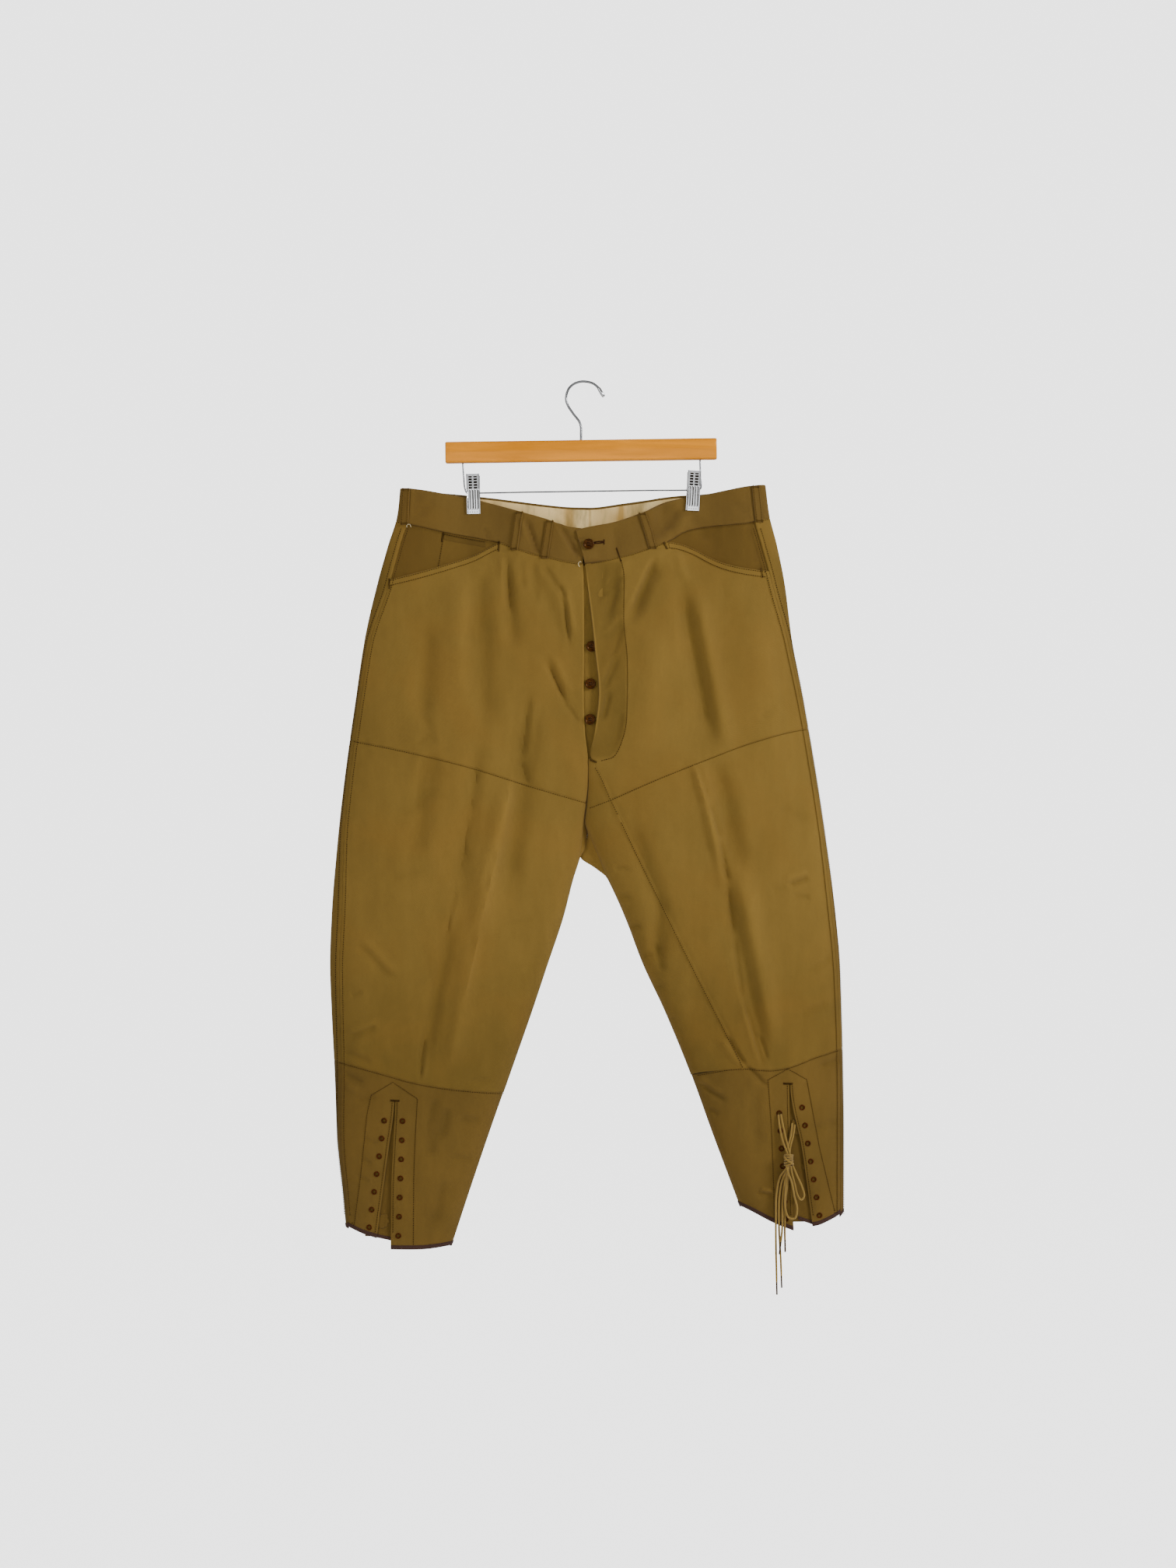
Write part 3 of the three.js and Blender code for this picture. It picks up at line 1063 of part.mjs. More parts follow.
// ---------------------------------------------------------------- hanger
function addHanger() {
  const tilt = THREE.MathUtils.degToRad(BAR.tiltDegrees);
  const inPlane = ({ x, z }) => new THREE.Vector3(x, 0, z);
  const wire = toSolid(tube(smoothPath(HOOK_PATH.map(inPlane)), HOOK.wire, 8, 34));
  const sleevePath = new THREE.LineCurve3(...HOOK_SLEEVE.map(inPlane));
  const sleeve = toSolid(tube(sleevePath, HOOK.wire + HOOK.sleeveExtra, 8, 1));
  add("hanger_hook", toGeometry(wire.add(sleeve)), STEEL, 0.25, 1);

  const { length, height, thickness, corner, bevel } = BAR;
  const section = new THREE.Shape();
  const [w, h] = [thickness / 2, height / 2];
  section.moveTo(-w + corner, -h);
  section.lineTo(w - corner, -h).absarc(w - corner, -h + corner, corner, -Math.PI / 2, 0);
  section.lineTo(w, h - corner).absarc(w - corner, h - corner, corner, 0, Math.PI / 2);
  section.lineTo(-w + corner, h).absarc(-w + corner, h - corner, corner, Math.PI / 2, Math.PI);
  section.lineTo(-w, -h + corner).absarc(-w + corner, -h + corner, corner, Math.PI, 1.5 * Math.PI);
  const bar = new THREE.ExtrudeGeometry(section, {
    depth: length - 2 * bevel, curveSegments: 3, bevelEnabled: true,
    bevelThickness: bevel, bevelSize: bevel, bevelOffset: -bevel, bevelSegments: 1,
  });
  bar.translate(0, 0, -length / 2 + bevel).rotateX(Math.PI / 2).rotateZ(Math.PI / 2).rotateY(-tilt);
  const barDrop = BAR.topDrop + height / 2;
  bar.translate(BAR.centreX, 0, -barDrop);
  add("hanger_bar", bar, BEECH, 0.45);

  const underBar = (x) => barDrop + height / 2 - (x - BAR.centreX) * Math.tan(tilt) + SEAM_GAP;
  const rodEnd = ({ drop, atBar, upright, corner: turn }) => [
    { x: atBar, z: -underBar(atBar) }, { x: upright, z: ROD.bend - drop }, { x: turn, z: -drop },
  ].map(inPlane);
  const corners = [...rodEnd(ROD.right), ...rodEnd(ROD.left).reverse()];
  let rodSolid = null;
  corners.slice(1).forEach((end, i) => {
    const run = toSolid(tube(new THREE.LineCurve3(corners[i], end), ROD.wire, 8, 1));
    rodSolid = rodSolid ? rodSolid.add(run).add(ball(corners[i], ROD.wire / 2)) : run;
  });
  add("hanger_rod", toGeometry(rodSolid), STEEL, 0.3, 1);
  ["right", "left"].forEach((name) => addClip(name, CLIP_X[name], CLIP.leanDegrees[name]));
}

const ball = (centre, radius) =>
  toSolid(new THREE.SphereGeometry(radius, 8, 4)).translate([centre.x, centre.y, centre.z]);

// One spring clip: two stamped jaws that meet the cloth below, and a spring sleeve round the rod.
function addClip(name, x, leanDegrees) {
  const lean = THREE.MathUtils.degToRad(leanDegrees);
  const { width, plate, height, flare, cheek, slot, nip, pivot, springRadius, sleeve } = CLIP;
  const span = ROD.left.corner - ROD.right.corner;
  const rodDrop = lerp(ROD.right.drop, ROD.left.drop, (x - ROD.right.corner) / span);
  const below = height * CLIP.jawShare;
  const above = height - below;
  const atRod = springRadius + SEAM_GAP;
  // The farthest the cloth stands out under a jaw.
  const clothDepth = (front) => Math.max(...[-12, -6, 0, 6, 12].flatMap((across) =>
    [0.3, 0.65, 1].map((share) => {
      const drop = Math.max(rodDrop + below * share, waistTopAt(x + across, front) + 1);
      return Math.abs(resting(x + across, drop, front)[0].y);
    })));
  const jaw = (sign, label) => {
    const tip = clothDepth(sign < 0) + SEAM_GAP;
    const face = [
      [tip, -below], [Math.max(tip, atRod), nip - below / 2], [atRod, pivot], [atRod + flare, above],
    ];
    const back = face.map(([y, z]) => [y + plate, z]).reverse();
    const profile = new THREE.Shape([...face, ...back].map(([y, z]) => new THREE.Vector2(y, z)));
    const sheetMetal = new THREE.ExtrudeGeometry(profile, { depth: width, bevelEnabled: false });
    const cheekOutline = new THREE.Shape([
      [atRod + plate / 2, cheek.foot], [atRod - cheek.inset, cheek.middle],
      [atRod + flare - cheek.top, above - cheek.top], [atRod + flare + plate / 2, above - cheek.top],
      [atRod + plate / 2, cheek.middle],
    ].map(([y, z]) => new THREE.Vector2(y, z)));
    const cheekPlate = new THREE.ExtrudeGeometry(cheekOutline, { depth: cheek.wall, bevelEnabled: false });
    let solid = toSolid(sheetMetal)
      .add(toSolid(cheekPlate))
      .add(toSolid(cheekPlate.clone().translate(0, 0, width - cheek.wall)));
    for (let i = 0; i < slot.rows; i += 1) {
      slot.columns.forEach((share) => {
        const cut = new THREE.BoxGeometry(slot.through, slot.height, slot.width);
        cut.translate(atRod + flare / 2, slot.first + i * slot.pitch, width * share);
        solid = solid.subtract(toSolid(cut));
      });
    }
    // The profile's first direction becomes outward, and the extrusion runs along x.
    const basis = new THREE.Matrix4().makeBasis(
      new THREE.Vector3(0, sign, 0), new THREE.Vector3(0, 0, 1), new THREE.Vector3(sign, 0, 0),
    );
    const geometry = toGeometry(solid).translate(0, 0, -width / 2);
    geometry.applyMatrix4(basis).rotateY(-lean).translate(x, 0, -rodDrop);
    add(`clip_${name}_${label}_jaw`, geometry, STEEL, 0.2, 1);
  };
  jaw(-1, "front");
  jaw(1, "back");
  const spring = ring(ROD.wire / 2 + CLIP.springWall, springRadius, -sleeve / 2, sleeve / 2, 10)
    .rotateY(Math.PI / 2 - Math.atan((ROD.right.drop - ROD.left.drop) / span))
    .translate(x, 0, -rodDrop);
  add(`clip_${name}_spring`, spring, STEEL, 0.3, 1);
}

const waistTops = {
  right: along(WAIST_TOP_FRONT_RIGHT),
  left: along(WAIST_TOP_FRONT_LEFT),
  back: along(WAIST_TOP_BACK),
};
function waistTopAt(x, front) {
  if (!front) return waistTops.back(x);
  return x < 0 ? waistTops.right(x) : waistTops.left(x);
}

// ---------------------------------------------------------------- assembly
addWaistband();
[RIGHT, LEFT].forEach((side) => {
  addBodyPanels(side);
  addInnerLegPanel(side);
  addFrontCalf(side);
  addBackCalf(side);
  addTongue(side);
  addBinding(side);
});
addHanger();
addBeltLoops();
addFly();
addPockets();
addLace();

export default group;
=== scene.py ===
"""Lace-up work breeches of khaki cotton twill, hung by the waistband from a two-clip trouser hanger.

Working lengths are millimetres; meshes are made in metres. +Z is up, the breeches face -Y and the wearer's
right is at -X. A "drop" is a distance below the origin, which is the underside of the hook's crown.
"""

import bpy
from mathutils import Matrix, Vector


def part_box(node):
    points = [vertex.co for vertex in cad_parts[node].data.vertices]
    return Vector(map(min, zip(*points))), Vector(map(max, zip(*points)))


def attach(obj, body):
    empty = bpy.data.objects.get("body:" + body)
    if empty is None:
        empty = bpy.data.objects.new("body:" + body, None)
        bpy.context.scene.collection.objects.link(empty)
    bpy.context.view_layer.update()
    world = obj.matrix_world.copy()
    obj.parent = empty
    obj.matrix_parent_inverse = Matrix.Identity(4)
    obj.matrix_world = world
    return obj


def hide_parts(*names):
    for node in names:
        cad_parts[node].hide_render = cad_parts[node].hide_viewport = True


bl_info = {
    "name": "Lace-up work breeches",
    "version": (1, 0, 0),
    "blender": (4, 5, 0),
    "location": "View3D > Sidebar > Breeches",
    "description": "Builds laced work breeches and their clip hanger",
    "category": "Object",
}

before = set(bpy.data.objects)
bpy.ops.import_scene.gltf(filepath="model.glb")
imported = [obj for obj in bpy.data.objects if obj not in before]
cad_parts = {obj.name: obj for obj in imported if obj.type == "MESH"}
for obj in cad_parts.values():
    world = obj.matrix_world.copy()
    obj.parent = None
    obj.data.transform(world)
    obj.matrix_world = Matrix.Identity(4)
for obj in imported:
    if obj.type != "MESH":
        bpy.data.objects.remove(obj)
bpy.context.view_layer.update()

import math

import bpy
import numpy as np
from bpy.props import FloatProperty, FloatVectorProperty, IntProperty, PointerProperty
from mathutils import Vector

MM = 0.001

# ---------------------------------------------------------------- sizes of the cut, in mm
CLOTH = 1.5  # wall of one panel, seam allowances and all
SEAM_GAP = 0.1  # between two pieces that meet
WAISTBAND_WALL = 2.2  # the band is doubled
POCKET_HEM_WIDTH = 9.0
BINDING_HEIGHT = 5.0
REACH = {"top": 120.0, "bottom": 1130.0}  # drops just beyond the garment's ends
# Belt loops: how far each hangs below the waist seam and starts below the band's top.
LOOP = {"width": 10.0, "wall": 1.2, "overhang": 2.5, "below": 0.6, "lift": 0.9}
# The band's left end lies over the right one as far as this x.
OVERLAP = {"full": 10.0, "end": 40.0}
# The button stand behind the fly.
STAND = {"top": 238.0, "bottom": 487.0, "reach": 26.0, "gap": 0.7, "sink": 2.5}
CLIP_X = {"right": -141.0, "left": 143.0}
# One jaw: the share of its height below the rod, its plate, and how far its grip stands off.
CLIP = {"width": 17.0, "height": 51.0, "below_rod": 0.54, "plate": 1.2, "flare": 6.0, "at_rod": 3.8,
        "rib_pitch": 3.3, "rows": 85, "columns": 34}
# How the clips press the waist flat: beside a clip, and on the way down.
PINCH = {"flat": 14.0, "reach": 66.0, "full": 168.0, "end": 290.0, "depth": 0.7}
# The drops over which the torso turns into two legs.
SPLIT = {"front_top": 430.0, "front_end": 600.0, "back_top": 470.0, "back_end": 618.0}
FOLD_WRAP = 0.02  # the turn that the wrap of the inner fold takes up on each side
# The fork: where the inside-leg panels begin, and where their strips close the legs.
CROTCH = {"allowance": 0.06, "start": 545.0, "full": 580.0, "wrap_start": 558.0, "wrap_end": 590.0,
          "top": 484.0}
# The loose fly edge between its buttons.
FLY_LIFT = {"top": 240.0, "open": 330.0, "close": 440.0, "end": 486.0, "reach": 34.0, "height": 5.5}
BACK_START = 1.0001  # the turn where the back begins
RELIEF = {"large": 1.3, "small": 1.3}  # scales of the folds and of the creases
SCOOP_END = {"right": -105.0, "left": 108.0}  # where a pocket's mouth meets the waist seam
PANEL_EDGE = {"right": 14.0, "left": 17.0}  # least width and x of the inside-leg panels
SEAM_LAP = 0.8  # how far the inside of a panel runs on behind its neighbour
LACE_WIDTH = 2.6
PAPER = 3.2  # brightness of the background as the camera sees it
# The knot of the lace, and how far its middle stands in front of the slit.
KNOT = {"x": 263.3, "drop": 998.0, "bore": 3.6, "stand_off": 8.2}
ROD_DROP = {"right": 142.5, "left": 138.0}
ROD = {"start": -149.5, "length": 300.5}  # the straight run of the lower rod
BAR = {"length": 350.0, "height": 27.0, "thickness": 14.0, "top": 74.5, "tilt": 0.82}


def table(columns, *rows):
    """A table of sizes as named columns of numbers."""
    return dict(zip(columns.split(), np.array(rows, float).T))


# Outlines and seams: the x of a line at each drop, or its drop at each x.
SIDE_FOLDS = table(
    "drop right left",
    (131, -235, 236), (170, -239, 241), (210, -251, 251), (260, -265, 261), (330, -281, 270),
    (410, -293, 285), (510, -307, 302), (590, -316, 314), (690, -324, 327), (750, -326, 332),
    (810, -324, 334), (890, -320, 336), (970, -317, 337), (1050, -309, 337), (1120, -303, 336),
)
FRONT_INNER = table(
    "drop right left",
    (190, 1, -9), (236, 0.5, 3), (262, 1.5, 6.5), (311, 2, 12.8), (353, 2, 17.2), (400, 1.6, 21.5),
    (450, 3, 16), (478, 6.4, 9.2), (487, 7.1, 7.5), (496, 7.2, 7.5), (515, 7.2, 7.5), (545, 4.8, 5.1),
    (566, 2.4, 2.8), (590, 0, 11), (612, -3.5, 20), (640, -12, 32), (690, -25, 55), (750, -45, 78),
    (810, -65, 106),
    (890, -93, 139), (970, -121, 168), (1050, -148, 198), (1120, -171, 224),
)
BACK_INNER = table(
    "drop right left",
    (131, 9, 9), (551, 8, 8), (600, 4.9, 3.6), (612, -2.5, -3.4), (626, -7.5, 15), (640, -12, 32),
    (690, -25, 55), (750, -45, 78), (810, -65, 106), (890, -93, 139), (970, -121, 168),
    (1050, -148, 198), (1120, -171, 224),
)
OUTSEAM_INSET = table(
    "drop right left",
    (131, 13, 21), (186, 15, 21), (260, 16, 17), (342, 8, 6), (462, 7, 4), (567, 8, 4), (686, 14, 6),
    (840, 11, 4), (1022, 4, 5), (1120, 3, 5),
)
# Half depths of the front and of the back, and how square the torso's oval is.
DEPTHS = table(
    "drop front back squareness",
    (131, 12, 10, 6), (180, 14, 11, 5), (260, 24, 17, 3), (410, 34, 23, 2.6), (560, 34, 24, 2.4),
    (690, 31, 23, 2.2), (850, 27, 20, 2.2), (1000, 23, 17, 2.2), (1120, 20, 15, 2.2),
)
WAIST_TOP = {
    "right": table("x drop", (-260, 136), (-235, 136.5), (-185, 143), (-141, 151), (-85, 166.5),
                   (-48, 177), (-19, 187), (24, 192)),
    "left": table("x drop", (-14, 195), (-6, 191.5), (44, 180.5), (72, 171), (131, 149), (154, 145.5),
                  (236, 132), (260, 131)),
    "back": table("x drop", (-260, 136), (-235, 136.5), (-185, 142.5), (-90, 152.5), (-13, 160.5),
                  (8, 161), (58, 155), (121, 147), (154, 145), (236, 132), (260, 131)),
}
WAIST_SEAM_FRONT = table(
    "x drop",
    (-260, 176), (-241, 179), (-223, 183), (-179, 193), (-107, 207), (-88, 215), (-45, 227), (0, 235),
    (55, 225), (86, 215), (109, 206), (136, 191), (153, 187), (208, 182), (243, 175), (260, 172),
)
WAIST_SEAM_BACK = table(
    "x drop", (-260, 176), (-241, 179), (-150, 190), (8, 205), (150, 190), (243, 175), (260, 172))
SCOOP = {
    "right": table("x drop", (-260, 258), (-246, 254.5), (-206, 245), (-169, 234), (-140, 224),
                   (-117, 212), (-105, 206.5)),
    "left": table("x drop", (108, 206), (124, 208.5), (142, 215), (161, 225.5), (181, 234), (205, 240),
                  (227, 243), (260, 246)),
}
THIGH_SEAM = {
    "right": table("x drop", (-305, 460), (-217, 478), (-141, 497), (-71, 519), (10, 543)),
    "left": table("x drop", (-5, 553), (37, 537), (87, 515), (150, 489.5), (214, 465.5), (265, 451),
                  (291, 446)),
}
CALF_SEAM = {
    "right": table("x drop", (-325, 873), (-310, 876), (-252, 890.5), (-213, 901), (-170, 908.5),
                   (-100, 916)),
    "left": table("x drop", (140, 893), (205, 882), (240, 884), (262, 881), (299, 868), (336, 858)),
}
INNER_PANEL_LEFT = table(
    "drop x", (488, 8.6), (496, 17), (537, 37), (601, 67), (664, 98), (773, 152), (826, 179), (890, 211))
INNER_PANEL_WIDTH_RIGHT = table("drop width", (543, 0), (601, 48), (664, 58), (773, 66), (916, 72))
SLIT_TOP = {"right": 924.0, "left": 902.0}
SLIT_EDGES = {
    "right": table("drop outer inner", (870, -241.2, -240), (924, -241.2, -240), (984, -248.5, -242.6),
                   (1032, -255, -245), (1120, -267, -246)),
    "left": table("drop outer inner", (850, 266, 264.8), (902, 266, 264.8), (984, 281, 266.6),
                  (1040, 289, 268.6), (1120, 300, 272)),
}
HEM = {
    "right": {
        "outer": table("x drop", (-320, 1082), (-306, 1086), (-280, 1096), (-240, 1106)),
        "inner": table("x drop", (-260, 1114), (-246, 1114.5), (-210, 1115), (-160, 1111)),
        "back": table("x drop", (-320, 1084), (-306, 1089), (-235, 1108), (-170, 1114)),
    },
    "left": {
        "outer": table("x drop", (270, 1082), (295, 1085), (320, 1077), (340, 1065)),
        "inner": table("x drop", (200, 1060), (215, 1066), (246, 1081), (280, 1094)),
        "back": table("x drop", (200, 1063), (225, 1066), (290, 1077), (320, 1081), (340, 1068)),
    },
}
# First and last eyelet of each row of seven.
EYELET_ROWS = {
    "right": table("x drop end_x end_drop", (-254.2, 949.4, -273.9, 1087.1), (-230.5, 949.6, -236.1, 1097.2)),
    "left": table("x drop end_x end_drop", (281.4, 932.4, 304.1, 1071.5), (251.9, 939.4, 260.6, 1076)),
}
# How far each tongue reaches past the edges of its slit, and the drop at its end.
TONGUE = {
    "right": {"outer": -16.0, "inner": 9.0, "end": 1099.0},
    "left": {"outer": 12.0, "inner": -10.0, "end": 1080.0},
}
# The large folds: a ridge stands out by its height, a trough has a negative one.
FOLDS_FRONT = table(
    "x drop end_x end_drop width height",
    (124, 250, 168, 479, 12, -6), (143, 250, 190, 500, 13, 5), (168, 479, 204, 640, 13, -5),
    (142, 470, 181, 630, 9, 4), (181, 620, 236, 880, 10, -4), (196, 600, 250, 870, 14, 4),
    (100, 225, 58, 318, 9, -5), (96, 300, 84, 500, 22, 4), (100, 655, 96, 750, 10, -4),
    (60, 560, 104, 690, 11, -3), (226, 300, 252, 560, 20, 3), (-129, 440, -164, 690, 12, -4),
    (-164, 680, -210, 898, 9, -4), (-86, 490, -141, 730, 13, 6), (-141, 710, -168, 890, 12, 4),
    (-66, 400, -99, 680, 15, -5), (-191, 470, -217, 620, 13, -4), (-199, 300, -206, 450, 14, -4),
    (-131, 222, -125, 470, 15, -4), (-152, 235, -160, 430, 18, 4), (-98, 235, -88, 350, 9, -4),
    (-62, 240, -20, 345, 9, -1.8), (-50, 345, -22, 425, 8, -0.8), (108, 150, 94, 206, 10, -4),
)
FOLDS_BACK = table(
    "x drop end_x end_drop width height",
    (150, 420, 232, 870, 15, 5), (124, 440, 196, 800, 14, -4), (-140, 430, -212, 880, 15, 5),
    (-112, 430, -180, 820, 14, -4), (60, 210, 96, 460, 18, -4), (-52, 210, -84, 470, 18, -4),
    (176, 215, 190, 420, 16, 4), (-168, 215, -186, 400, 16, 4), (20, 330, 120, 560, 14, -4),
    (-16, 340, -110, 570, 14, -4),
)
# The small creases, placed one by one.
CREASES_FRONT = table(
    "x drop end_x end_drop width height",
    # waistband
    (-74, 172, -56, 226, 3.5, -2.4), (-80, 168, -70, 210, 4, 1.0), (-32, 182, -5, 228, 4, -3.0),
    (-34, 182, -10, 226, 4, 1.4), (-127, 186, -122, 206, 2.5, -1.2), (122, 162, 106, 194, 6, -2.4),
    (134, 168, 122, 200, 6, 1.6), (146, 170, 158, 205, 8, -1.2), (-20, 200, 4, 206, 4, -0.8),
    (40, 186, 44, 226, 5, -0.9), (190, 150, 214, 172, 5, -0.7), (-190, 150, -212, 176, 6, -0.8),
    # gathers under the waistband
    (-97, 218, -92, 306, 3.6, -2.2), (-105, 218, -100, 300, 4, 1.4), (-64, 228, -58, 290, 6, -1.8),
    (-50, 236, -27, 274, 4, -2.0), (-27, 268, -17, 336, 3.5, -1.4), (-21, 262, -10, 330, 4.5, 1.5),
    (-48, 356, -23, 408, 3.6, -1.3), (-40, 350, -15, 402, 5, 1.4), (-34, 388, -18, 424, 3, -1.1),
    (-20, 416, -5, 440, 3, -1.4), (-129, 240, -140, 350, 9, -1.6), (-79, 224, -76, 270, 4, -1.2),
    (30, 232, 20, 290, 5, -1.4), (46, 232, 30, 320, 6, -1.4), (52, 300, 30, 350, 4, -1.2),
    (40, 330, 24, 390, 5, 1.0), (60, 225, 40, 262, 6, 1.2), (36, 398, 26, 440, 4, -1.2),
    (120, 214, 134, 262, 6, 1.8), (100, 214, 96, 250, 5, 1.2), (176, 246, 196, 330, 10, -1.2),
    (97, 222, 63, 304, 4, -2.1), (90, 222, 55, 302, 4.5, 1.5), (52, 247, 20, 282, 5, -1.8),
    (46, 262, 30, 305, 5, -1.6), (52, 312, 34, 360, 4.5, -2.2), (46, 352, 26, 400, 4, -2.0),
    (50, 300, 24, 330, 5, 1.2), (34, 395, 24, 440, 4, -1.8), (50, 424, 40, 470, 5, -1.6),
    (-44, 365, -20, 415, 2.4, -1.6), (-30, 262, -22, 280, 2.4, -1.4), (-22, 280, -17, 345, 2.4, -1.6),
    # thighs
    (-67, 396, -80, 494, 4, -1.6), (-59, 400, -72, 500, 5, 1.4), (-80, 486, -70, 520, 4, -1.8),
    (-134, 494, -146, 560, 3.5, -2.0), (-144, 548, -158, 650, 3.2, -2.0), (-158, 640, -176, 720, 3, -1.8),
    (-138, 500, -152, 610, 4.5, 1.3), (-150, 600, -172, 720, 4.5, 1.3), (-88, 500, -104, 590, 4, 1.6),
    (-102, 580, -130, 700, 3.4, 1.8), (-128, 690, -152, 800, 3.4, 1.6), (-110, 600, -126, 660, 5, -1.6),
    (-202, 478, -212, 560, 5, -1.6), (-201, 430, -190, 470, 5, -1.2), (-212, 470, -196, 452, 3.5, -1.2),
    (-230, 566, -190, 520, 7, -0.9), (-251, 640, -205, 630, 6, -0.8), (-289, 720, -242, 772, 6, -1.4),
    (-284, 712, -236, 764, 6, 1.0), (-303, 845, -262, 828, 4, -1.6), (-306, 838, -258, 820, 4, 1.2),
    (-310, 862, -268, 876, 4, -1.4), (-299, 790, -282, 784, 4, -1.0), (-60, 690, -104, 700, 4, -0.7),
    (146, 488, 164, 544, 3.2, -2.4), (162, 536, 178, 592, 3.2, -2.4), (176, 584, 187, 650, 3.2, -2.4),
    (186, 642, 194, 716, 3.2, -2.2), (140, 486, 158, 548, 5, 1.6), (156, 536, 181, 660, 5, 1.6),
    (193, 706, 206, 800, 3.2, -2.0), (205, 790, 233, 884, 3, -2.0), (199, 780, 226, 880, 4.5, 1.3),
    (96, 720, 103, 762, 4.5, -1.8), (226, 434, 250, 418, 5, -1.0), (40, 627, 60, 626, 3.2, -1.4),
    (46, 662, 62, 664, 3.2, -1.4), (58, 702, 76, 700, 3.4, -1.6), (70, 742, 92, 736, 3.4, -1.4),
    (84, 784, 106, 776, 3.4, -1.2), (100, 826, 122, 820, 3.4, -1.2), (262, 648, 292, 638, 3, -2.0),
    (256, 640, 290, 629, 4, 1.5), (266, 660, 294, 664, 3.4, -1.4), (240, 655, 262, 649, 5, -0.9),
    (284, 760, 322, 742, 5, -1.1), (276, 812, 318, 800, 5, -1.0), (250, 546, 290, 566, 7, -1.0),
    # calves
    (-202, 834, -209, 902, 3, -1.8), (-197, 836, -204, 900, 4, 1.2), (-189, 920, -198, 960, 6, -1.1),
    (-198, 950, -194, 1000, 7, -1.1), (-170, 930, -186, 980, 7, -1.4), (-160, 946, -130, 952, 6, -1.3),
    (-150, 900, -116, 900, 4, -1.0), (-171, 996, -138, 1002, 5, -0.9), (-292, 926, -262, 918, 4, -1.0),
    (-283, 972, -262, 980, 3.4, -1.0), (-287, 998, -270, 1006, 3.4, -1.0),
    (-291, 1022, -272, 1028, 3.4, -0.9),
    (-308, 890, -280, 902, 4, -1.3), (-305, 905, -286, 912, 4, 1.0), (-176, 1020, -192, 1090, 9, -1.3),
    (183, 838, 209, 880, 3, -2.2), (208, 876, 236, 906, 3.4, -2.0), (176, 840, 203, 882, 4.5, 1.5),
    (226, 838, 237, 874, 3, -1.8), (150, 900, 186, 928, 3.6, -1.8), (146, 894, 180, 918, 4, 1.3),
    (222, 900, 226, 990, 9, -1.2), (160, 934, 176, 944, 3.4, -1.2), (226, 1038, 247, 1040, 2.6, 1.6),
    (222, 1043, 246, 1045, 3, -1.2), (300, 880, 334, 872, 4, -1.2), (292, 960, 330, 952, 5, -0.7),
)
CREASES_BACK = table(
    "x drop end_x end_drop width height",
    (-60, 165, -52, 208, 4, -1.4), (-30, 168, -22, 210, 5, -1.2), (60, 162, 52, 206, 4, -1.3),
    (96, 158, 104, 200, 5, 1.0), (140, 152, 150, 190, 6, -1.0), (-150, 152, -160, 192, 6, -1.0),
    (30, 206, 44, 300, 5, -2.0), (38, 206, 54, 296, 5, 1.4), (-24, 206, -40, 290, 5, -2.0),
    (-34, 206, -52, 296, 5, 1.3), (88, 200, 104, 270, 5, -1.6), (-90, 200, -104, 276, 5, -1.6),
    (130, 240, 160, 360, 9, -1.6), (-128, 240, -160, 370, 9, -1.6), (18, 400, 70, 520, 6, -1.8),
    (-4, 410, -60, 530, 6, -1.8), (30, 420, 84, 540, 6, 1.3), (-14, 430, -74, 548, 6, 1.3),
    (60, 620, 104, 720, 6, -1.6), (-60, 620, -100, 730, 6, -1.6), (220, 500, 250, 620, 8, -1.4),
    (-212, 500, -246, 640, 8, -1.4), (150, 620, 186, 760, 5, -1.9), (-150, 610, -184, 770, 5, -1.9),
    (250, 700, 300, 676, 5, -1.3), (-250, 700, -298, 682, 5, -1.3), (160, 820, 214, 800, 5, -1.2),
    (-150, 830, -206, 812, 5, -1.2), (190, 700, 216, 880, 4, 1.5), (-186, 700, -212, 880, 4, 1.5),
    (230, 900, 262, 930, 5, -1.5), (-230, 910, -258, 944, 5, -1.5), (180, 930, 214, 1010, 8, -1.4),
    (-176, 940, -206, 1020, 8, -1.4), (270, 980, 312, 966, 5, -1.0), (-262, 1000, -300, 990, 5, -1.0),
    (80, 700, 104, 694, 4, -1.3), (-50, 716, -76, 712, 4, -1.3), (108, 800, 132, 792, 4, -1.2),
    (-80, 806, -104, 800, 4, -1.2),
)


# ---------------------------------------------------------------- curves and the skin
def lerp(a, b, t):
    return a + (b - a) * t


def smoothstep(low, high, v):
    t = np.clip((v - low) / (high - low), 0, 1)
    return t * t * (3 - 2 * t)


def curve(rows, key, column):
    """A smooth curve through one column of a table: flat beyond both ends, and it never overshoots."""
    xs, ys = rows[key], rows[column]
    rises = np.diff(ys) / np.diff(xs)
    product = rises[:-1] * rises[1:]
    total = rises[:-1] + rises[1:]
    middle = np.where(product > 0, 2 * product / np.where(total == 0, 1, total), 0)
    slopes = np.concatenate([rises[:1], middle, rises[-1:]])

    def value(v):
        v = np.clip(v, xs[0], xs[-1])
        i = np.clip(np.searchsorted(xs, v, side="right") - 1, 0, len(xs) - 2)
        width = xs[i + 1] - xs[i]
        t = (v - xs[i]) / width
        rise = (1 - t) ** 2 * (ys[i] + t * (2 * ys[i] + width * slopes[i]))
        return rise + t**2 * (ys[i + 1] + (1 - t) * (2 * ys[i + 1] - width * slopes[i + 1]))

    return value


